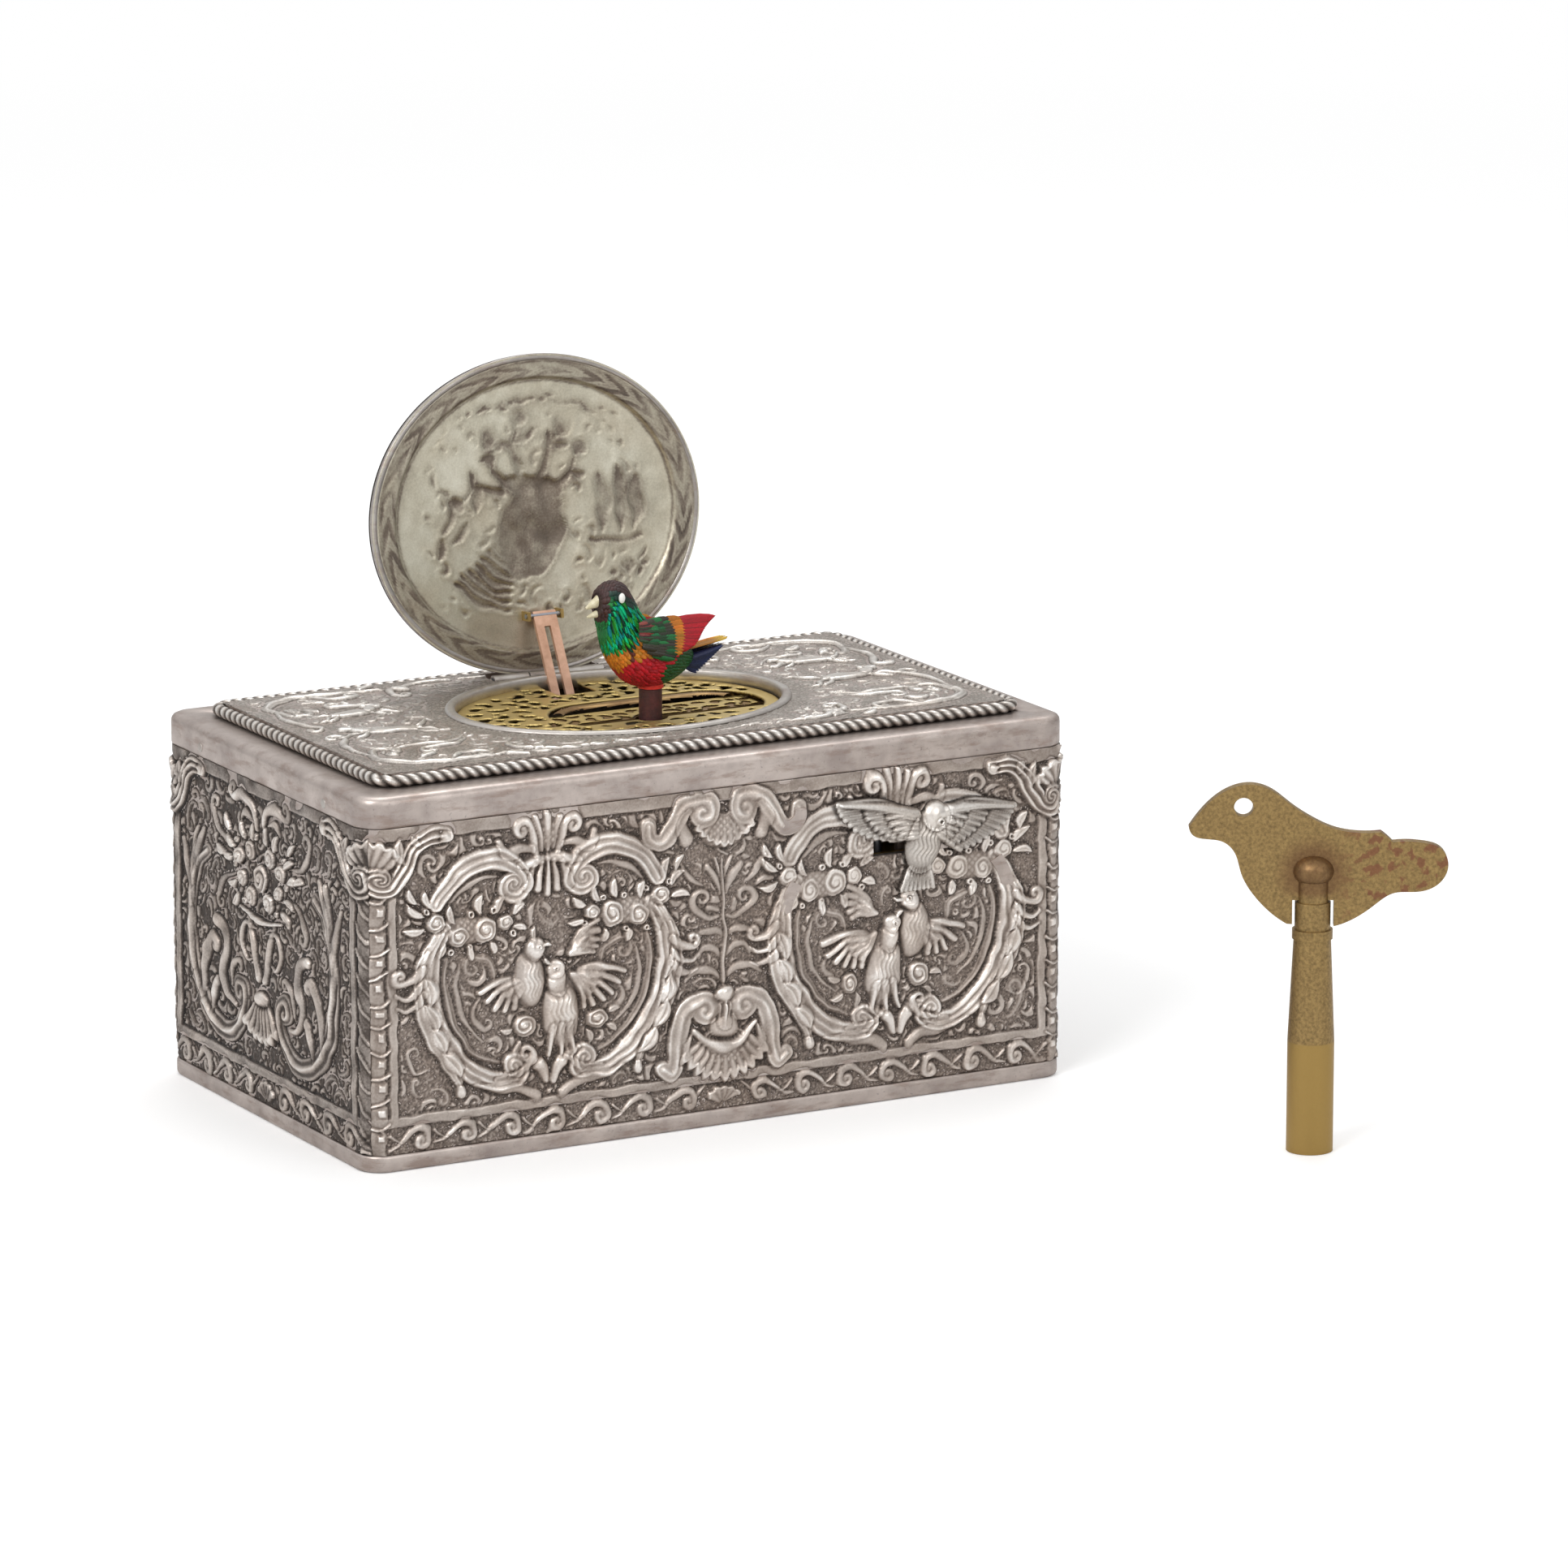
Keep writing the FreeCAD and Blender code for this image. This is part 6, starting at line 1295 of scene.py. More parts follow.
def lid_stain(relief, share, band, leaves, fine):
    """How clean the inside of the lid is: brown in its hollows, its lines and its border."""
    noise = np.random.default_rng(77).standard_normal((2, *relief.h.shape))
    clouds, grime = blurred(noise[0], 1.8 / relief.cell), blurred(noise[1], 0.45 / relief.cell)
    clouds, grime = clouds / clouds.std(), grime / grime.std()
    form = np.clip(relief.h / 0.3, 0, 1) * (1 - band)
    edge = np.abs(blurred(form, 1.0) - blurred(form, 3.5))
    strength = np.clip(1 + 0.30 * clouds + 0.16 * grime, 0.2, 1.6)
    value = 0.84 - strength * (0.34 * blurred(form, 3.0) + 0.14 * blurred(relief.h, 3.5) + 0.6 * edge)
    value = value + 0.06 * clouds + 0.03 * grime
    value = value - band * strength * (0.24 + 0.22 * leaves + 0.10 * fine)
    lines = sum(np.exp(-((share - edge) / 0.008) ** 2) for edge in (0.836, 0.958))
    return np.clip(value - 0.40 * lines, 0.02, 1)


def lid_face(name, relief, height_of, rows=150, columns=320):
    """An oval sheet in rings, with its heights taken from a relief by a function."""
    def place(u, v):
        angle = 2 * math.pi * u
        share = 0.004 + v * 0.992
        x, y = LID_WIDE * share * np.cos(angle), LID_DEEP * share * np.sin(angle)
        height = height_of(share, relief.h[relief.cells(x, y)])
        return np.stack([x, y + HINGE_BACK - LID_DEEP, height], axis=-1)

    return bent_grid(name, columns + 1, rows, place)


def grid_number(item, relief, values):
    """Keeps a relief's number on a lid sheet that was drawn on the closed lid."""
    flat = np.empty(len(item.data.vertices) * 3)
    item.data.vertices.foreach_get("co", flat)
    spots = flat.reshape(-1, 3) / MM
    keep_number(item, "patina", values[relief.cells(spots[:, 0], spots[:, 1] - HINGE_BACK + LID_DEEP)])


def close_lid_sheet(item):
    """Joins a lid sheet's seam and fills its small middle."""
    bpy.ops.object.mode_set(mode="EDIT")
    bpy.ops.mesh.select_all(action="SELECT")
    bpy.ops.mesh.remove_doubles(threshold=0.002 * MM)
    bpy.ops.mesh.select_all(action="DESELECT")
    mesh = bmesh.from_edit_mesh(item.data)
    middle_y = (HINGE_BACK - LID_DEEP) * MM
    for edge in mesh.edges:
        near = all(abs(v.co.x) < 0.5 * MM and abs(v.co.y - middle_y) < 0.5 * MM for v in edge.verts)
        edge.select = edge.is_boundary and near
    bmesh.update_edit_mesh(item.data)
    bpy.ops.mesh.edge_face_add()
    bpy.ops.object.mode_set(mode="OBJECT")


def pierce(relief, blocked, seed, tries):
    """Where curling drops are pierced through the metal, packed close and clear of what is blocked."""
    source = np.random.default_rng(seed)
    holes = np.zeros(relief.h.shape, dtype=bool)
    for attempt in range(tries):
        size = 1.0 - 0.6 * attempt / tries
        x, y = source.uniform(relief.left, relief.right), source.uniform(relief.foot, relief.top)
        heading = 2.4 * math.sin(0.33 * x + 1.0) + 2.0 * math.cos(0.41 * y - 0.7) + source.normal(0, 0.3)
        bend = source.choice((-1, 1)) * source.uniform(0.9, 1.9)
        length = size * source.uniform(1.8, 3.2)
        path = smooth_path([
            (x + length * t * math.cos(heading + bend * t), y + length * t * math.sin(heading + bend * t))
            for t in (-0.5, -0.15, 0.2, 0.5)
        ], 3)
        area = relief.window(path[:, 0], path[:, 1], 1.0)
        far, along, _ = relief.measure(path, area)
        wide = (0.24 + 0.40 * size) * np.interp(along, (0, 0.3, 0.7, 1), (0.7, 1.0, 0.6, 0.15))
        if blocked[area][far < wide + 0.02].any():
            continue
        holes[area] |= far < wide
        blocked[area] |= far < wide + 0.40
    return holes


def pierced_plate(name, relief, holes, shift, top, high, thick):
    """A pierced plate, rounded towards its openings."""
    solid = blurred(1.0 - holes, 0.26 / relief.cell)
    body = np.clip((solid - 0.42) / 0.5, 0, 1)
    relief.h = np.where(holes, -1, high * body ** 0.7)
    patina = 0.08 + 0.84 * body ** 1.6

    plate = relief.sheet(name, top - high + np.clip(relief.h, 0, high), shift)
    keep_number(plate, "patina", patina)
    cut_window(plate, lambda x, y, z: relief.at(x, y - shift) < 0)
    thicken(plate, thick)
    return plate


class BirdBoxCase(bpy.types.PropertyGroup):
    """What a user would change on the case."""

    cell: FloatProperty(name="Relief cell", description="Grid step of the front's chasing",
                        default=0.125 * MM, min=0.08 * MM, unit="LENGTH")
    shade: FloatVectorProperty(name="Shaded silver", description="Silver between the heights",
                               default=(0.265, 0.218, 0.188), size=3, subtype="COLOR")
    light: FloatVectorProperty(name="Rubbed silver", description="Silver on the heights",
                               default=(0.585, 0.520, 0.472), size=3, subtype="COLOR")
    rope_step: FloatProperty(name="Rope stripe", description="From one stripe of the rope to the next",
                             default=1.55 * MM, unit="LENGTH")


class BirdBoxBird(bpy.types.PropertyGroup):
    """What a user would change on the bird."""

    rows: IntProperty(name="Feather rows", description="Rows of feathers over the body", default=38)
    green: FloatVectorProperty(name="Green", description="Head and neck", default=(0.008, 0.20, 0.045),
                               size=3, subtype="COLOR")
    red: FloatVectorProperty(name="Red", description="Breast and wing tips", default=(0.58, 0.003, 0.018),
                             size=3, subtype="COLOR")
    orange: FloatVectorProperty(name="Orange", description="Shoulder and wing band",
                                default=(0.72, 0.235, 0.012), size=3, subtype="COLOR")
    blue: FloatVectorProperty(name="Blue", description="Tail", default=(0.012, 0.022, 0.085),
                              size=3, subtype="COLOR")


class BirdBoxStage(bpy.types.PropertyGroup):
    """What a user would change on the stage."""

    floor: FloatVectorProperty(name="Floor", description="Colour of the floor", default=(0.88, 0.88, 0.88),
                               size=3, subtype="COLOR")
    lamp: FloatProperty(name="Lamp", description="Power of the main lamp", default=5.0, unit="POWER")


class MakeFinishes(bpy.types.Operator):
    """Makes every finish and gives the inner works theirs"""

    bl_idname = "birdbox.finishes"
    bl_label = "Finishes"

    def execute(self, context):
        make_materials(context.scene.birdbox_case, context.scene.birdbox_bird)
        dress("rail", "case_walls", "base_plate", "base_moulding", "slider_stem", "top_panel")
        dress("bezel", "hinge_knuckles", "lid_knuckle", "lid_shell", "lid_rim", "slider_bird")
        dress("brass", "slider_guide", "shutter_runners", "lower_plate", "upper_plate", "pillars",
              "bird_guide", "whistle_tube", "whistle_brackets", "barrel_drum", "barrel_cap",
              "cam_arbor", "cam_stack", "crank_arbor", "fly", "whistle_piston", "link_bracket")
        dress("steel", "hinge_pin", "plate_screws", "foot_screws", "link_pin", "winding_arbor",
              "ratchet_wheel", "click", "mainspring", "connecting_rod", "whistle_lever",
              "bird_lever", "stop_lever")
        # The front shutter gets the near-black finish, painted shadow under the scrollwork
        dress("shutter", "front_shutter")
        dress("lip", "rear_shutter")
        dress("post", "bird_post")
        dress("bone", "upper_beak", "lower_beak")
        dress("eye", "bird_eyes")
        dress("wood", "fixed_board", "moving_board")
        dress("leather", "bellows_leather")
        dress("collar", "perch_collar")
        dress("key", "key_stem", "key_bow")
        return {"FINISHED"}


class MakeLongWalls(bpy.types.Operator):
    """Chases the front and the back"""

    bl_idname = "birdbox.long_walls"
    bl_label = "Front and back"

    def execute(self, context):
        def slot(x, y, z):
            return SLOT_LEFT < x < SLOT_RIGHT and SLOT_LOW < z < SLOT_HIGH and y < 0

        cell = context.scene.birdbox_case.cell / MM
        wall_sheets("front", long_wall(3, cell, True), 3, "walls", slot)
        wall_sheets("back", long_wall(11, cell * 1.7, False), 1, "walls")
        return {"FINISHED"}


class MakeShortWalls(bpy.types.Operator):
    """Chases both ends"""

    bl_idname = "birdbox.short_walls"
    bl_label = "Ends"

    def execute(self, context):
        cell = context.scene.birdbox_case.cell / MM
        # The ends take the darker copy of the silver, which carries painted shade
        wall_sheets("left", short_wall(5, cell * 1.25), 1, "shaded end wall")
        wall_sheets("right", short_wall(8, cell * 1.5), 1, "shaded end wall")
        return {"FINISHED"}


class MakeTop(bpy.types.Operator):
    """Makes the rail, the rope, the chased top and the oval bezel"""

    bl_idname = "birdbox.top"
    bl_label = "Top"

    def execute(self, context):
        def case_ring(out):
            return box_ring(HALF_WIDTH + out, HALF_DEPTH + out, CASE_ROUND + out)

        out, top, foot = RAIL_OUT, RAIL_TOP, CASE_TOP
        profile = (
            (-RAIL_DEEP, foot), (out - 0.35, foot), (out - 0.12, foot + 0.08), (out, foot + 0.35),
            (out, top - 1.1), (out - 0.06, top - 0.6), (out - 0.30, top - 0.25), (out - 0.75, top - 0.05),
            (out - 1.4, top), (-RAIL_DEEP, top),
        )
        rail = swept_ring("rail", case_ring, profile)
        finish(rail, "rail", "case", "silver", "top_rail")
        low, high = corner_of("rail_pins", False), corner_of("rail_pins", True)
        heads = [
            add_ball("pin_heads", (x, y, (low[2] + high[2]) / 2), (0.16, 0.62, 0.62))
            for x in (-HALF_WIDTH - out, HALF_WIDTH + out) for y in (low[1] + 1, high[1] - 1)
        ]
        finish(join_all(heads), "bezel", "case", "silver", "rail_pins")
        lip = corner_of("base_moulding", True)[0] - HALF_WIDTH
        high = BAND_TOP
        foot_profile = (
            (0.02, 0.0), (lip - 0.45, 0.0), (lip - 0.15, 0.12), (lip, 0.45), (lip, high - 0.35),
            (lip - 0.12, high - 0.08), (0.02, high),
        )
        band = swept_ring("foot_band", case_ring, foot_profile)
        finish(band, "rail", "case", "silver", "base_moulding")
        self.make_rope(context.scene.birdbox_case.rope_step / MM)
        relief = top_chasing(21, 0.19)
        sheet = relief.sheet("top_chasing", PANEL_HIGH[2] + 0.03 + relief.h)
        keep_number(sheet, "patina", relief.patina(0.8, 2.6))

        def open_part(x, y, z):
            inside = math.hypot(x / (OVAL_WIDE + 1.2), (y - OVAL_BACK) / (OVAL_DEEP + 0.8)) < 1
            knuckles = abs(x) < 8.3 and 18.0 < y < 22.8
            return inside or knuckles

        cut_window(sheet, open_part)
        finish(sheet, "top", "case", "silver")
        wide = BEZEL_HIGH[0]
        deep = BEZEL_HIGH[1] - OVAL_BACK
        inner = OVAL_WIDE + 0.1 - wide
        low, high = RAIL_TOP, BEZEL_HIGH[2]
        bezel_profile = (
            (inner, low), (inner, high - 0.25), (inner + 0.15, high - 0.06), (inner + 0.4, high),
            (inner + 0.9, high), (inner + 1.15, high - 0.1), (inner + 1.3, high - 0.3),
            (inner + 1.35, PANEL_HIGH[2]), (inner + 0.8, PANEL_HIGH[2]), (inner + 0.8, low),
        )
        bezel = swept_ring("oval_band", oval_ring(wide, deep, OVAL_BACK), bezel_profile)
        bevel_recess(bezel)
        finish(bezel, "bezel", "case", "silver", "oval_bezel")
        return {"FINISHED"}

    def make_rope(self, step):
        """The rope: two strands twisted round each other, all round the top."""
        radius = (ROPE_HIGH[2] - ROPE_LOW[2]) / 2
        half_x, half_y = ROPE_HIGH[0] - radius, ROPE_HIGH[1] - radius
        coarse = box_ring(half_x, half_y, ROPE_ROUND, 16)
        lengths = np.hypot(*(coarse[1:] - coarse[:-1]).T)
        run = np.concatenate([[0], np.cumsum(lengths)])
        stripes = round(run[-1] / step)
        stations = np.linspace(0, run[-1], stripes * 8 + 1)
        path_x, path_y = np.interp(stations, run, coarse[:, 0]), np.interp(stations, run, coarse[:, 1])
        ahead_x = np.gradient(path_x)
        ahead_y = np.gradient(path_y)
        size = np.hypot(ahead_x, ahead_y)
        side_x, side_y = ahead_y / size, -ahead_x / size

        def section(u, v):
            station = np.rint(u * (len(stations) - 1)).astype(int)
            angle = 2 * math.pi * v
            lobe = np.abs(np.cos(angle + math.pi * stripes * stations[station] / run[-1]))
            return station, angle, radius * (0.70 + 0.30 * lobe ** 0.8), lobe

        def place(u, v):
            station, angle, reach, lobe = section(u, v)
            out, up = reach * np.cos(angle), reach * np.sin(angle)
            return np.stack([
                path_x[station] + side_x[station] * out, path_y[station] + side_y[station] * out,
                ROPE_LOW[2] + (radius + up) * ROPE_FLAT,
            ], axis=-1)

        rope = bent_grid("rope", len(stations), ROPE_SIDES + 1, place)
        grid_u, grid_v = np.meshgrid(np.linspace(0, 1, len(stations)), np.linspace(0, 1, ROPE_SIDES + 1))
        keep_number(rope, "patina", section(grid_u.ravel(), grid_v.ravel())[3] ** 1.5)
        weld(0.002)
        finish(rope, "rope", "case", "silver", "rope_border")


def bevel_recess(item):
    """Lowers the back of the oval band where the lid's hinge lies."""
    for corner in item.data.vertices:
        x, y, z = np.array(corner.co) / MM
        if abs(x) < 8.6 and y > 17.6:
            corner.co.z = min(z, 48.1) * MM


class MakeGrille(bpy.types.Operator):
    """Makes the pierced gilt grille, its door's lip and the scrollwork on both shutters"""

    bl_idname = "birdbox.grille"
    bl_label = "Grille"

    def execute(self, context):
        relief = Relief(-OVAL_WIDE, OVAL_WIDE, -OVAL_DEEP, OVAL_DEEP, 0.15)
        share = np.hypot(relief.x / OVAL_WIDE, relief.y / OVAL_DEEP)
        back = relief.y + OVAL_BACK
        along = np.clip(relief.x, DOOR_LEFT + DOOR_ROUND, DOOR_RIGHT - DOOR_ROUND)
        far = np.hypot(relief.x - along, back - DOOR_MIDDLE)
        slot = (np.abs(relief.x) < 2.6) & (back > 10.4) & (back < 15.9)
        round_slot = (np.abs(relief.x) < 3.0) & (back > 10.0) & (back < 16.3)
        blocked = (share > 0.965) | (far < DOOR_ROUND + 0.55) | round_slot
        holes = pierce(relief, blocked, 7, 6000) | (far < DOOR_ROUND) | slot | (share > 1)
        grille = pierced_plate("scroll_grille", relief, holes, OVAL_BACK, GRILLE_HIGH[2], 0.3, 0.3)
        finish(grille, "gilt", "case", "gilt", "grille")
        self.cover_shutters()
        self.make_lip()
        return {"FINISHED"}

    def cover_shutters(self):
        """Scrollwork on both shutters, as seen through the grille's door."""
        for side, seed in (("front", 9), ("rear", 10)):
            low, high = corner_of(f"{side}_shutter", False), corner_of(f"{side}_shutter", True)
            relief = Relief(low[0] + 1.2, high[0] - 1.2, low[1] + 0.15, high[1] - 0.05, 0.14)
            post = np.hypot(relief.x - POST_X, relief.y - POST_BACK)
            blocked = (post < 2.6) | (relief.y > high[1] - 0.6)
            holes = pierce(relief, blocked, seed, 1500) | (post < 2.15)
            work = pierced_plate(f"{side}_scrolls", relief, holes, 0.0, high[2] + 0.22, 0.12, 0.09)
            finish(work, "gilt", f"{side}_shutter_body", "gilt")

    def make_lip(self):
        """The rounded coppery lip along the back of the bird's door."""
        relief = Relief(-9.5, 19, 1.2, 4.9, 0.12)
        turns = np.radians(np.linspace(28, 90, 8))
        reach = DOOR_ROUND - 1.0
        right = [(DOOR_RIGHT - DOOR_ROUND + reach * math.cos(t), DOOR_MIDDLE + reach * math.sin(t)) for t in turns]
        left = [(DOOR_LEFT + DOOR_RIGHT - x, y) for x, y in right]
        relief.stroke([*right, *reversed(left)], 1.15, 0.55, (0.5, 1, 0.5), sink=0.0)
        lip = relief.sheet("door_lip", GRILLE_LOW[2] + 0.05 + np.clip(relief.h, 0, 0.55))
        cut_window(lip, lambda x, y, z: relief.at(x, y) < 0.03)
        finish(lip, "lip", "case", "copper")


class MakeLid(bpy.types.Operator):
    """Makes the lid's two chased faces, its rounded rim and the link that hangs from it"""

    bl_idname = "birdbox.lid"
    bl_label = "Lid"

    def execute(self, context):
        foot, dome = LID_FOOT, 1.7
        rim_high = 0.9
        relief, share = lid_chasing(True, 0.14)

        def inside_height(share, h):
            bowl = np.sqrt(np.clip(1 - (share / 0.93) ** 2, 0, 1))
            flat = np.clip((share - 0.84) / 0.02, 0, 1)
            floor = foot + rim_high * 0.45 + 0.45 * bowl
            depth = floor * (1 - flat) + (foot + 0.04) * flat
            return depth + np.clip(h, -0.1, 1.2) * 0.5

        inside = lid_face("lid_inside", relief, inside_height)
        grid_number(inside, relief, relief.rub)
        close_lid_sheet(inside)
        bpy.ops.object.mode_set(mode="EDIT")
        bpy.ops.mesh.select_all(action="SELECT")
        bpy.ops.mesh.flip_normals()
        bpy.ops.object.mode_set(mode="OBJECT")
        move_to_lid(inside)
        finish(inside, "lid inside", "lid", "silver")
        relief, share = lid_chasing(False, 0.14)

        def outside_height(share, h):
            bowl = np.sqrt(np.clip(1 - share ** 2, 0, 1))
            return foot + rim_high + dome * bowl + np.clip(h, -0.15, 1.0) * 0.45

        outside = lid_face("lid_outside", relief, outside_height)
        grid_number(outside, relief, relief.patina())
        close_lid_sheet(outside)
        move_to_lid(outside)
        finish(outside, "top", "lid", "silver", "lid_shell")
        profile = (
            (-0.8, foot), (-0.35, foot), (-0.08, foot + 0.15), (0.0, foot + 0.45),
            (-0.1, foot + 0.75), (-0.3, foot + 1.0), (-0.5, foot + 1.1), (-0.8, foot + 1.1),
        )
        rim = swept_ring("lid_edge", oval_ring(LID_WIDE, LID_DEEP, HINGE_BACK - LID_DEEP), profile)
        move_to_lid(rim)
        finish(rim, "lid rim", "lid", "silver", "lid_rim")
        self.make_link()
        return {"FINISHED"}

    def make_link(self):
        """The slit copper strap that hangs from the lid."""
        back, up = corner_of("lid_link", True)[1:] - 0.6
        sine, cosine = math.sin(LINK_LEAN), math.cos(LINK_LEAN)

        def place(u, v):
            down = (LINK_LONG + 0.5) * v - 0.5
            return np.stack([(u - 0.5) * LINK_WIDE, back - down * sine, up - down * cosine], axis=-1)

        strap = bent_grid("link_strap", 23, 91, place)
        cut_window(strap, lambda x, y, z: abs(x) < 0.4 and 1.6 < (up - z) / cosine < LINK_LONG - 0.6)
        thicken(strap, 0.5, 0)
        finish(strap, "copper", "link", "copper", "lid_link", smooth=False)


# The bird's side outline from the beak to the tail: front X and Z, back X and Z, half width
BIRD_RUNGS = (
    (-4.70, 63.5, -4.70, 63.6, 0.05), (-4.75, 62.6, -4.60, 64.5, 1.15), (-4.55, 61.7, -4.0, 65.4, 1.8),
    (-4.35, 60.8, -2.6, 66.0, 2.25), (-4.2, 59.8, -1.0, 65.5, 2.4), (-4.0, 58.7, 0.1, 63.7, 2.45),
    (-3.6, 57.2, 1.1, 61.8, 2.7), (-2.9, 55.7, 2.5, 60.3, 3.1), (-2.0, 54.4, 3.9, 59.7, 3.4),
    (-0.8, 53.1, 5.1, 59.1, 3.55), (0.8, 52.3, 6.1, 58.5, 3.45), (2.8, 52.0, 7.0, 57.8, 3.1),
    (4.7, 52.4, 7.8, 57.0, 2.5), (6.5, 53.2, 8.4, 56.3, 1.8), (7.8, 54.2, 8.8, 55.6, 1.0),
    (8.5, 54.9, 8.7, 55.1, 0.05),
)
BIRD_PATH = smooth_path(BIRD_RUNGS)


def bird_skin(u, v):
    """Spots on the bird's skin: u runs from beak to tail, and v round it from its back."""
    u, v = np.broadcast_arrays(np.clip(u, 0, 1), v)
    front_x, front_z, back_x, back_z, half = (
        np.interp(u * (len(BIRD_PATH) - 1), np.arange(len(BIRD_PATH)), column) for column in BIRD_PATH.T
    )
    share = (1 + np.cos(v)) / 2
    return np.stack([
        front_x + (back_x - front_x) * share, POST_BACK + half * np.sin(v), front_z + (back_z - front_z) * share,
    ], axis=-1)


def skin_frame(u, v):
    """A spot on the skin, with the ways along it, round it and out of it."""
    spot = bird_skin(u, v)
    along = bird_skin(u + 0.01, v) - bird_skin(u - 0.01, v)
    around = bird_skin(u, v + 0.02) - bird_skin(u, v - 0.02)
    out = np.cross(along, around)
    out /= max(np.linalg.norm(out), 1e-9)
    middle = (bird_skin(u, 0.0) + bird_skin(u, math.pi)) / 2
    return spot, along / 0.02, around / 0.04, out if np.dot(out, spot - middle) > 0 else -out


FEATHER = ((0.0, 0.55), (0.3, 0.95), (0.6, 1.0), (0.82, 0.75), (0.95, 0.4), (1.0, 0.08))
QUILL = ((0.0, 0.7), (0.35, 1.0), (0.65, 0.92), (0.85, 0.6), (0.95, 0.3), (1.0, 0.04))
BROWN, INK = (0.050, 0.014, 0.012), (0.006, 0.035, 0.022)
WING_GREEN = (0.022, 0.085, 0.028)
# Throat feather colours, picked at random: green and dark green tones, with the bright teal ones as painted iridescent
# sheen
THROAT = ((0.0, 0.60, 0.26), (0.03, 0.38, 0.04), (0.004, 0.07, 0.035), (0.0, 0.36, 0.34))


class Plumage:
    """Feathers gathered into one mesh, each with its colour and glint."""

    def __init__(self, seed):
        self.source = np.random.default_rng(seed)
        self.corners, self.faces, self.tints, self.glints = [], [], [], []

    def blade(self, spots, colour, glint, tip=None):
        """One feather from rows of three spots."""
        first = len(self.corners)
        shade = self.source.uniform(0.70, 1.25) * self.source.uniform(0.88, 1.12, 3)
        for row, three in enumerate(spots):
            t = row / (len(spots) - 1)
            # The colour grows from 0.7 at the root to 1.1 at the tip: painted shade towards the root, which the
            # feathers over it cover
            paint = np.array(colour if tip is None or t < 0.5 else tip) * shade * (0.7 + 0.4 * t)
            for across, spot in enumerate(three):
                self.corners.append(spot)
                self.tints.append((*np.clip(paint * (0.85 if across == 1 else 1.0), 0, 1), 1.0))
                self.glints.append(glint)
        for row in range(len(spots) - 1):
            for column in (0, 1):
                a = first + row * 3 + column
                self.faces.append((a, a + 1, a + 4, a + 3))

    def lay(self, u, v, length, half, colour, glint=0.0):
        """A feather that lies on the skin, its tip a little proud."""
        _, along, around, out = skin_frame(u, v)
        far, wide = length / max(np.linalg.norm(along), 1e-6), half / max(np.linalg.norm(around), 1e-6)
        sway = self.source.normal(0, 0.10) * wide
        rows = []
        for t, share in FEATHER:
            lift = 0.03 + 0.16 * t
            rows.append([
                bird_skin(u + far * t, v + sway * t + side * wide * share) + out * (lift + 0.05 * (side == 0))
                for side in (-1, 0, 1)
            ])
        self.blade(rows, colour, glint)

    def quill(self, root, tip, out, half, colour, glint=0.0, bow=0.0, end=None):
        """A long feather from its root to its tip, with its face turned out."""
        root, tip, out = (np.array(spot, dtype=float) for spot in (root, tip, out))
        ahead = tip - root
        side = np.cross(ahead, out)
        side /= max(np.linalg.norm(side), 1e-9)
        rows = []
        for t, share in QUILL:
            middle = root + ahead * t + out * bow * math.sin(math.pi * t)
            rows.append([middle + side * half * share * way + out * 0.06 * (way == 0) for way in (-1, 0, 1)])
        self.blade(rows, colour, glint, end)

    def mesh(self, name):
        """The feathers as an object, each blade with a little thickness."""
        data = bpy.data.meshes.new(name)
        data.from_pydata((np.array(self.corners) * MM).tolist(), [], self.faces)
        item = bpy.data.objects.new(name, data)
        bpy.context.scene.collection.objects.link(item)
        keep_colour(item, "tint", self.tints)
        keep_number(item, "glint", self.glints)
        clear_selection()
        item.select_set(True)
        bpy.context.view_layer.objects.active = item
        thicken(item, 0.04)
        return item


def keep_colour(item, name, values):
    """Keeps one colour for each corner of a mesh."""
    store = item.data.color_attributes.new(name, "FLOAT_COLOR", "POINT")
    store.data.foreach_set("color", np.asarray(values, dtype=np.float32).ravel())


def add_ball(name, centre, radii):
    """A ball or egg at a place, in millimetres."""
    clear_selection()
    bpy.ops.mesh.primitive_uv_sphere_add(segments=28, ring_count=16, radius=MM, location=np.array(centre) * MM)
    item = bpy.context.object
    item.name = name
    item.scale = radii
    bpy.ops.object.transform_apply(location=True, rotation=True, scale=True)
    return item


def join_all(items):
    """Joins some pieces into the first."""
    clear_selection()
    for item in items:
        item.select_set(True)
    bpy.context.view_layer.objects.active = items[0]
    bpy.ops.object.join()
    return items[0]


# Folded wing: where each row's roots lie, then its tips from the upper edge down, in X and Z
WING_ROWS = (
    (4.0, 0.62, "red", ((10.6, 60.9), (9.8, 60.3), (9.1, 59.6), (8.6, 58.9), (8.2, 58.2), (7.6, 57.5), (6.6, 57.0))),
    (2.6, 0.60, "orange", ((5.5, 61.1), (6.0, 60.4), (6.3, 59.6), (6.4, 58.8), (6.3, 58.0), (6.1, 57.3), (5.6, 56.6))),
    (1.3, 0.55, "green", ((3.9, 61.2), (4.4, 60.5), (4.8, 59.7), (5.0, 58.9), (5.0, 58.1), (5.0, 57.3), (4.9, 56.5),
                          (4.5, 55.9))),
    (0.5, 0.52, "green", ((2.9, 61.2), (3.3, 60.5), (3.6, 59.7), (3.8, 58.9), (3.8, 58.1), (3.7, 57.3), (3.4, 56.6))),
    (-0.2, 0.50, "green", ((1.9, 61.1), (2.2, 60.4), (2.5, 59.7), (2.6, 58.9), (2.6, 58.1), (2.3, 57.4))),
    (-0.7, 0.34, "shoulder", ((0.8, 61.0), (1.6, 60.6), (1.0, 60.2), (1.9, 59.8), (1.1, 59.4), (1.7, 59.0),
                              (0.9, 58.6))),
)


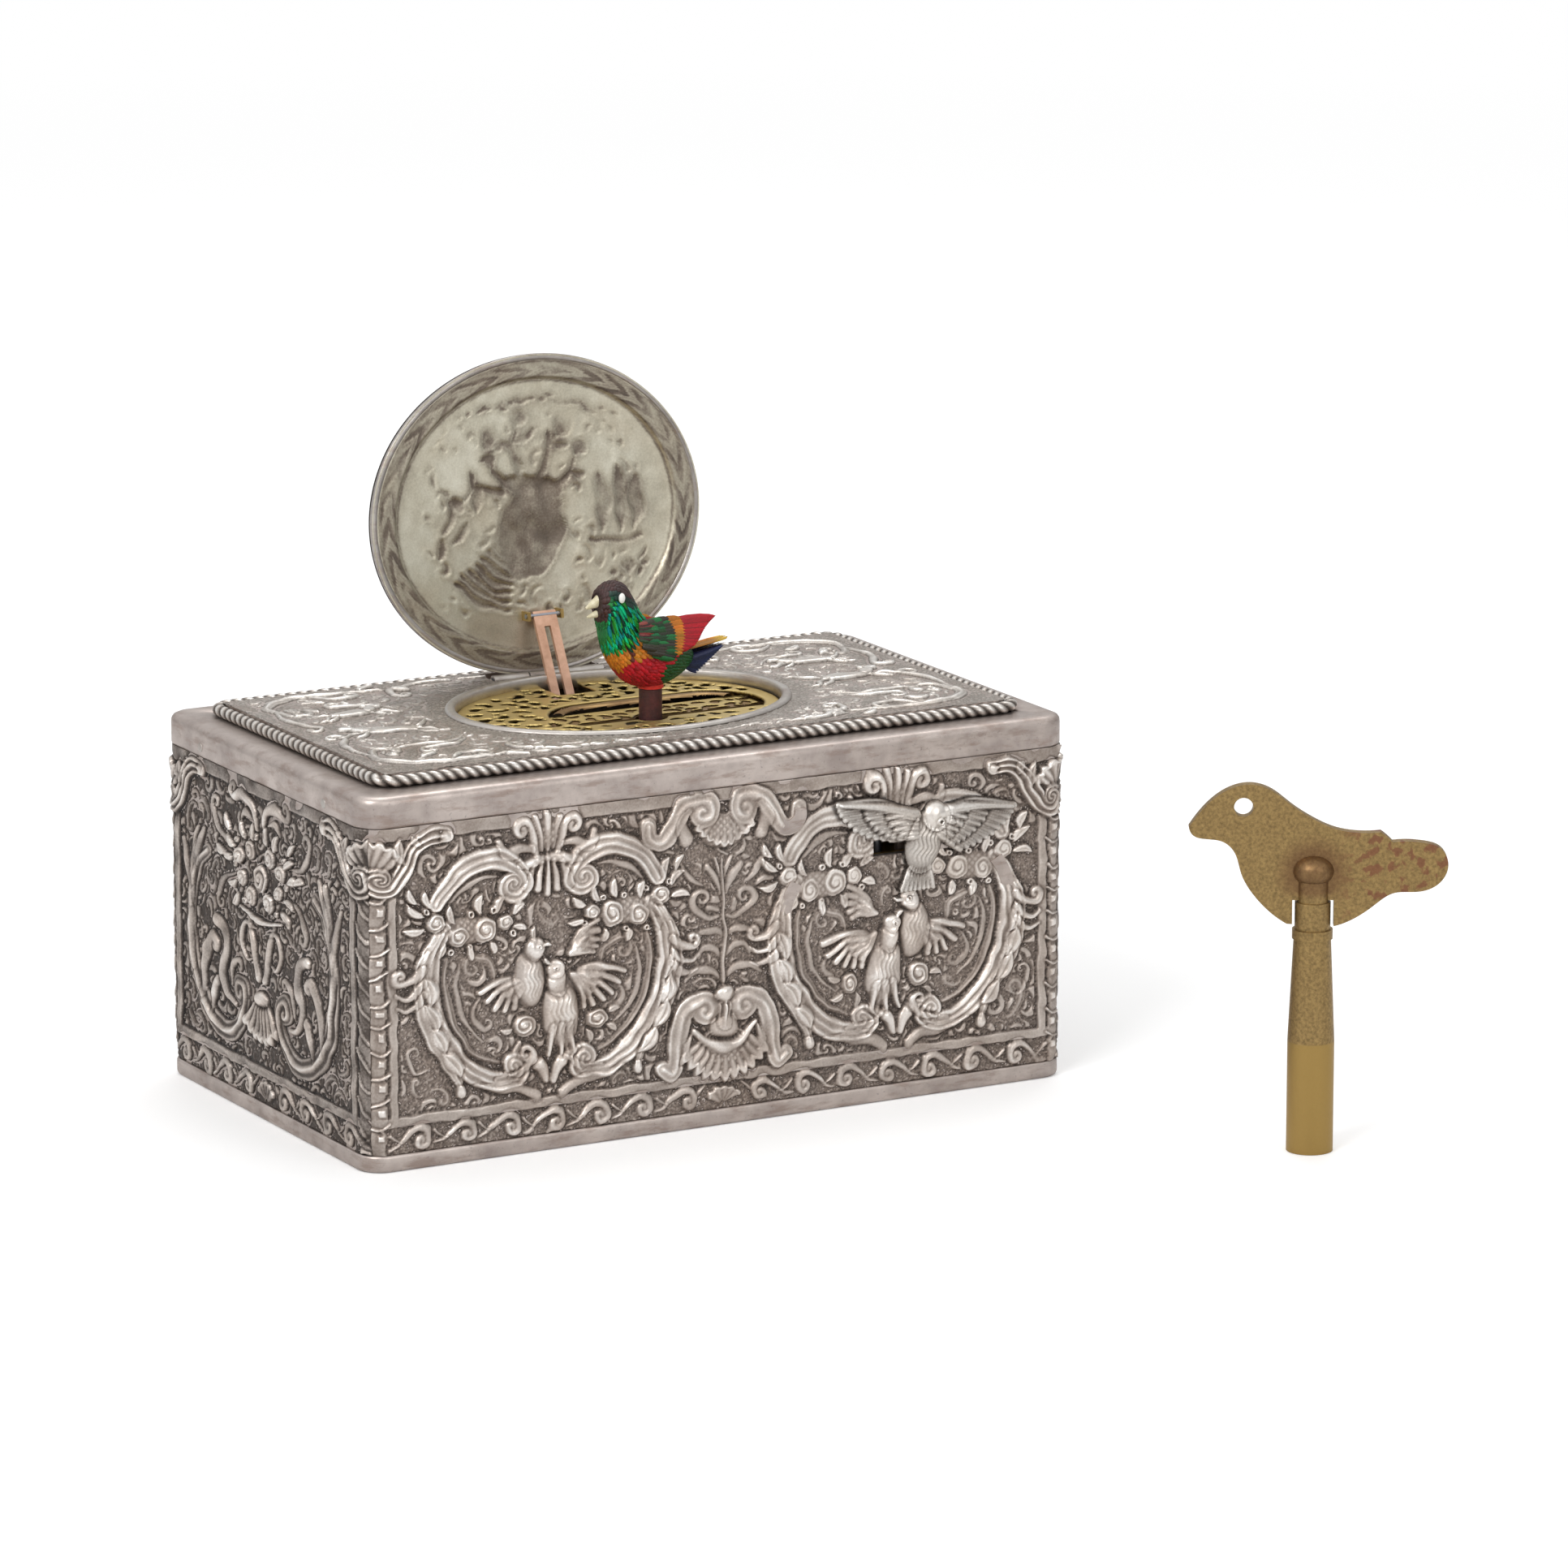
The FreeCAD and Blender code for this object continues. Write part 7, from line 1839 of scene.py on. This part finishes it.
class MakeBird(bpy.types.Operator):
    """Covers the bird with feathers"""

    bl_idname = "birdbox.bird"
    bl_label = "Bird"

    def execute(self, context):
        colours = context.scene.birdbox_bird
        self.paints = {name: tuple(getattr(colours, name)) for name in ("green", "red", "orange", "blue")}
        self.cover_body(colours.rows)
        self.make_wings()
        self.make_tail()
        eyes = [add_ball("eyes", (-2.45, POST_BACK + side * 2.62, 64.35), (0.44, 0.34, 0.66)) for side in (-1, 1)]
        finish(join_all(eyes), "eye", "bird", "ivory", "bird_eyes")
        return {"FINISHED"}

    def cover_body(self, rows):
        """A skin in the body's colours, darkened as painted shade for the gaps between the feathers, with short
        feathers laid on it from the beak to the tail.
        """
        def place(u, v):
            return bird_skin(u, v * 2 * math.pi)

        skin = bent_grid("body_skin", 64, 49, place, closed=True)
        # The skin takes the body's colours at 0.6: painted shade, seen in the gaps between the feathers
        paints = [np.array(self.body_colour(np.array(corner.co) / MM)[0]) * 0.6 for corner in skin.data.vertices]
        keep_colour(skin, "tint", [(*paint, 1.0) for paint in paints])
        finish(skin, "feathers", "bird", "feathers", "bird_body")
        plumage = Plumage(41)
        for row in range(rows):
            u = 0.075 + 0.87 * row / (rows - 1)
            tall = np.linalg.norm(bird_skin(u, 0.0) - bird_skin(u, math.pi))
            wide = 2 * abs(bird_skin(u, math.pi / 2)[1] - POST_BACK)
            count = max(6, int(math.pi * (tall + wide) / 2 / 0.52))
            for column in range(count):
                v = 2 * math.pi * (column + 0.5 * (row % 2)) / count
                colour, glint = self.body_colour(bird_skin(u, v))
                narrow = glint > 0.5
                if narrow:
                    # Throat feathers take a random colour from the throat palette, whose bright teal is painted sheen
                    colour = plumage.source.choice(THROAT, p=(0.30, 0.35, 0.20, 0.15))
                plumage.lay(u, v + plumage.source.normal(0, 0.02), 1.7 if u > 0.2 else 0.9, 0.24 if narrow else 0.36,
                            colour, glint)
        finish(plumage.mesh("body_feathers"), "feathers", "bird", "feathers")

    def body_colour(self, spot):
        """The colour and glint of the bird at one spot, by where it shows from the side."""
        out = abs(spot[1] - POST_BACK)
        a = spot[0] + 0.55 * out
        b = spot[2] + 0.11 * (spot[0] - 3) - 0.2 * out
        if b > 64.3 + 0.1 * a or (a < -3.5 and b > 60.9):
            return BROWN, 0.0
        if b > 63.2:
            return INK, 0.3
        if b > np.interp(a, (-4.2, -2, -0.7, 0.3, 1.2, 1.8, 2.4, 4), (56.8, 57.2, 57.3, 57.9, 58.4, 58.9, 60.1, 61)):
            return self.paints["green"], 1.0 if a > -3.4 or b < 59 else 0.3
        if a < -0.7 and b > np.interp(a, (-4.2, -3.3, -2.1, -0.7), (56.2, 55.4, 54.5, 55.6)):
            return self.paints["orange"], 0.0
        if -0.2 < a < 2.8 and b > np.interp(a, (-0.2, 0.4, 2.8), (56.6, 55.9, 56.2)):
            return self.paints["orange"], 0.0
        if a < -0.2 and b > 56.0:
            return (0.16, 0.03, 0.015), 0.0
        if a > max(3.1 + (b - 53.2), 3.4) and b < 56.2:
            return (0.015, 0.12, 0.025), 0.4
        if b > 57.5 or a > 6.5:
            return WING_GREEN, 0.3
        return self.paints["red"], 0.0

    def make_wings(self):
        """Two folded wings: green coverts, an orange band and long red tips."""
        paints = {**self.paints, "green": WING_GREEN, "shoulder": (0.30, 0.055, 0.045)}
        for name, side, fold in (("left_wing", -1, 0.0), ("right_wing", 1, FAR_WING_FOLD)):
            plumage = Plumage(50 + side)
            cosine, sine = math.cos(fold), math.sin(fold)

            def placed(x, z, layer, side=side, cosine=cosine, sine=sine):
                turned_x = x * cosine + (z - SHOULDER_HIGH) * sine
                turned_z = SHOULDER_HIGH + (z - SHOULDER_HIGH) * cosine - x * sine - 0.8 * sine
                away = 3.62 + 0.06 * layer + 0.05 * (SHOULDER_HIGH - turned_z) - 0.02 * max(x - 5, 0)
                return (turned_x, POST_BACK + side * away, turned_z)

            for layer, (root_x, half, colour, tips) in enumerate(WING_ROWS):
                steps = np.linspace(0, len(tips) - 1, 2 * len(tips) - 1 if layer else 4 * len(tips) - 3)
                for step in steps:
                    tip_x, tip_z = (np.interp(step, range(len(tips)), column) for column in zip(*tips))
                    root_z = 60.9 - (60.9 - tip_z) * 0.80
                    glint = 0.55 if colour == "green" else 0.0
                    paint = np.array(paints[colour])
                    if colour == "shoulder":
                        paint = plumage.source.choice((paint, WING_GREEN, BROWN, (0.32, 0.02, 0.012)))
                    if colour == "green":
                        paint = plumage.source.choice(((0.02, 0.20, 0.06), WING_GREEN, (0.055, 0.055, 0.04)))
                    plumage.quill(placed(root_x, root_z, layer), placed(tip_x, tip_z, layer), (0, side, 0.05), half,
                                  paint, glint, 0.10)
            finish(plumage.mesh(f"{name}_feathers"), "feathers", f"{name}_body", "feathers", name)

    def make_tail(self):
        """The tail: dark blue feathers with yellow ones above."""
        plumage = Plumage(60)
        for tip_x, tip_z in zip(np.linspace(9.4, 13.3, 13), np.linspace(53.2, 56.4, 13)):
            for away in (-1.5, -0.9, -0.3, 0.3, 0.9, 1.5):
                out = (-0.45, 0.5 * away, 0.8)
                plumage.quill((6.8, POST_BACK + away * 0.5, 54.9), (tip_x - 0.3 * abs(away), POST_BACK + away, tip_z),
                              out, 0.46, self.paints["blue"], 0.2)
        for away in (-0.9, -0.6, -0.3, 0.3, 0.6, 0.9):
            far = abs(away)
            plumage.quill(
                (8.0, POST_BACK + away * 0.6, 56.3), (14.3 - 0.7 * far, POST_BACK + away, 57.25 - 0.1 * far),
                (-0.2, 0.3 * away, 1), 0.5, (0.66, 0.24, 0.015), 0.0, 0.15, (0.85, 0.48, 0.02),
            )
        finish(plumage.mesh("tail_feathers"), "feathers", "tail_body", "feathers", "tail")


class MakeSlider(bpy.types.Operator):
    """Makes the spread dove that starts the bird"""

    bl_idname = "birdbox.slider"
    bl_label = "Slider"

    def execute(self, context):
        low, high = SLIDER_LOW, SLIDER_HIGH
        middle, foot = (low[0] + high[0]) / 2 - 1.8, low[2]
        relief = Relief(low[0] - 3.2, high[0] + 0.6, foot - 2.2, high[2] + 0.9, 0.11)
        spans = (
            (-1.4, ((-12.6, 10.9), (-12.0, 9.3), (-10.2, 7.5), (-7.8, 6.3), (-5.0, 5.7))),
            (1.6, ((13.2, 8.1), (12.0, 6.4), (9.9, 4.9), (7.6, 3.9), (5.2, 3.3))),
        )
        for root, edge in spans:
            for far, half, height, count in ((1.0, 0.72, 0.7, 11), (0.66, 0.66, 0.95, 9), (0.38, 0.66, 1.2, 6)):
                for share in np.linspace(0, 1, count):
                    start = (middle + root, foot + 8.6 - share * 2.8)
                    end_x, end_z = (np.interp(share * 4, range(5), column) for column in zip(*edge))
                    stop = (start[0] + (middle + end_x - start[0]) * far, start[1] + (foot + end_z - start[1]) * far)
                    bow = ((start[0] + stop[0]) / 2, (start[1] + stop[1]) / 2 + 0.8 * far * (1 - share))
                    relief.stroke([start, bow, stop], half, height, (0.9, 1, 0.7), sink=0.14, lift=0.2)
            (x0, z0), x1 = edge[0], middle + root
            bow = (z0 + 8.6) / 2 + 0.4
            crest = [(x1, foot + 8.6), (x1 + (middle + x0 - x1) * 0.5, foot + bow), (middle + x0 * 0.97, foot + z0)]
            relief.stroke(crest, 0.6, 1.15, (1.4, 1, 0.6), sink=0.1, lift=0.2)
        for share in np.linspace(-1, 1, 8):
            relief.stroke([(middle - 0.6 + share * 1.0, foot + 2.6), (middle - 0.9 + share * 1.8, foot + 0.4),
                           (middle - 1.1 + share * 2.3, foot - 1.2)], 0.42, 0.7, (0.8, 1, 0.9), sink=0.15, lift=0.2)
        relief.blob(middle - 0.1, foot + 4.9, 2.75, 4.2, -14, 1.4, 0.1, ribs=2.4)
        relief.blob(middle + 1.5, foot + 8.1, 1.85, 1.95, -20, 1.5, 0.12)
        relief.leaf(middle + 2.6, foot + 7.6, 1.7, -30, 0.5, 1.1, 0.2)
        relief.berry(middle + 1.9, foot + 7.4, 0.55, 0.5, 1.2)
        patina = relief.patina()
        front = high[1] - np.clip(relief.h, 0, 1.62)
        dove = sheet_of("start_dove", np.stack([relief.x, front, relief.y], axis=-1))
        head = np.hypot(relief.x - middle - 1.6, relief.y - foot - 8.3) < 2.1
        keep_number(dove, "patina", np.clip(patina - 0.14 + 0.3 * head, 0, 1))
        cut_window(dove, lambda x, y, z: relief.at(x, z) < 0.12)
        thicken(dove, 0.12)
        finish(dove, "rope", "slider", "silver", "slider_bird")
        return {"FINISHED"}


class MakeStage(bpy.types.Operator):
    """Makes the floor, the lamps, the world and the camera"""

    bl_idname = "birdbox.stage"
    bl_label = "Stage"

    def execute(self, context):
        stage = context.scene.birdbox_stage
        clear_selection()
        bpy.ops.mesh.primitive_plane_add(size=12, location=(0, 0, -0.00005))
        floor = context.object
        floor.name = "floor"
        material, graph = new_material("pale floor")
        path = graph.node("ShaderNodeLightPath")
        matt = graph.node("ShaderNodeBsdfDiffuse", None, {"Color": (*stage.floor, 1)})
        glow = graph.node("ShaderNodeEmission", None, {"Color": (1, 1, 1, 1), "Strength": 0.22})
        dark = graph.node("ShaderNodeEmission", None, {"Color": (0, 0, 0, 1), "Strength": 0.0})
        seen = graph.node("ShaderNodeMixShader", None, {
            0: path.outputs["Is Camera Ray"], 1: dark.outputs[0], 2: glow.outputs[0],
        })
        both = graph.node("ShaderNodeAddShader", None, {0: matt.outputs[0], 1: seen.outputs[0]})
        away = graph.node("ShaderNodeVectorMath", {"operation": "LENGTH"}, {0: graph.place()})
        far = Number(graph, away.outputs["Value"]).between(*FLOOR_FADE) * Number(graph, path.outputs["Is Camera Ray"])
        white = graph.node("ShaderNodeEmission", None, {"Color": (1, 1, 1, 1), "Strength": 1.0})
        whole = graph.node("ShaderNodeMixShader", None, {0: far, 1: both.outputs[0], 2: white.outputs[0]})
        graph.node("ShaderNodeOutputMaterial", None, {"Surface": whole.outputs[0]})
        floor.data.materials.append(material)
        self.make_world(context)
        self.make_lamps(stage)
        self.make_camera(context)
        context.scene.view_settings.view_transform = "Standard"
        return {"FINISHED"}

    def make_world(self, context):
        """A white background, with softer light for the object."""
        world = bpy.data.worlds.new("studio")
        context.scene.world = world
        graph = Graph(world)
        path = graph.node("ShaderNodeLightPath")
        camera = Number(graph, path.outputs["Is Camera Ray"])
        clear = Number(graph, path.outputs["Is Transmission Ray"])
        shiny = Number(graph, path.outputs["Is Glossy Ray"])
        way = graph.node("ShaderNodeTexCoord").outputs["Generated"]
        parts = graph.node("ShaderNodeSeparateXYZ", None, {"Vector": way})
        across, up = Number(graph, parts.outputs[0]), Number(graph, parts.outputs[2])
        sky = 0.30 + up.between(-0.1, 0.9) * 0.75 + (0 - across).between(0.0, 1.0) * 0.30
        strength = camera + clear + shiny * sky
        lit = (1 - camera) * (1 - clear) * (1 - shiny) * 0.62
        back = graph.node("ShaderNodeBackground", None, {"Color": (1, 1, 1, 1), "Strength": strength + lit})
        graph.node("ShaderNodeOutputWorld", None, {"Surface": back.outputs[0]})

    def make_lamps(self, stage):
        """A main lamp from the upper left, one in front and one from above."""
        for name, place, size, share in (
            ("main_lamp", (-0.75, -0.45, 0.75), 0.45, 1.0),
            ("front_lamp", (0.15, -0.95, 0.45), 0.6, 0.40),
            ("top_lamp", (0.25, 0.35, 0.95), 0.5, 0.50),
        ):
            data = bpy.data.lights.new(name, "AREA")
            data.size = size
            data.energy = stage.lamp * share
            lamp = bpy.data.objects.new(name, data)
            lamp.location = place
            aim = Vector((0.0, 0.0, 0.03)) - Vector(place)
            lamp.rotation_euler = aim.to_track_quat("-Z", "Y").to_euler()
            bpy.context.scene.collection.objects.link(lamp)

    def make_camera(self, context):
        """The camera of the photograph."""
        data = bpy.data.cameras.new("camera")
        data.sensor_width = SENSOR
        data.lens = SENSOR * LENS_PIXELS / PICTURE
        data.clip_start, data.clip_end = 0.01, 50
        camera = bpy.data.objects.new("camera", data)
        camera.location = CAMERA_AT
        camera.rotation_euler = (math.pi / 2 - CAMERA_TILT, 0, -CAMERA_TURN)
        context.scene.collection.objects.link(camera)
        context.scene.camera = camera


OPERATORS = (
    MakeFinishes, MakeLongWalls, MakeShortWalls, MakeTop, MakeGrille, MakeLid, MakeBird, MakeSlider,
    MakeStage,
)
GROUPS = {"birdbox_case": BirdBoxCase, "birdbox_bird": BirdBoxBird, "birdbox_stage": BirdBoxStage}


class BirdBoxPanel(bpy.types.Panel):
    """Lists what the box is made of"""

    bl_idname = "VIEW3D_PT_birdbox"
    bl_label = "Bird Box"
    bl_space_type = "VIEW_3D"
    bl_region_type = "UI"
    bl_category = "Bird Box"

    def draw(self, context):
        for name in GROUPS:
            settings = getattr(context.scene, name)
            for key in settings.__annotations__:
                self.layout.prop(settings, key)
        for operator in OPERATORS:
            self.layout.operator(operator.bl_idname)


def register():
    """Adds the settings, the operators and the panel."""
    for group in GROUPS.values():
        bpy.utils.register_class(group)
    for name, group in GROUPS.items():
        setattr(bpy.types.Scene, name, PointerProperty(type=group))
    for operator in OPERATORS:
        bpy.utils.register_class(operator)
    bpy.utils.register_class(BirdBoxPanel)


def unregister():
    """Takes them away again."""
    bpy.utils.unregister_class(BirdBoxPanel)
    for operator in reversed(OPERATORS):
        bpy.utils.unregister_class(operator)
    for name, group in GROUPS.items():
        delattr(bpy.types.Scene, name)
        bpy.utils.unregister_class(group)


def main():
    """Makes every piece and the stage."""
    register()
    for operator in OPERATORS:
        group, name = operator.bl_idname.split(".")
        getattr(getattr(bpy.ops, group), name)()


if __name__ == "__main__":
    main()
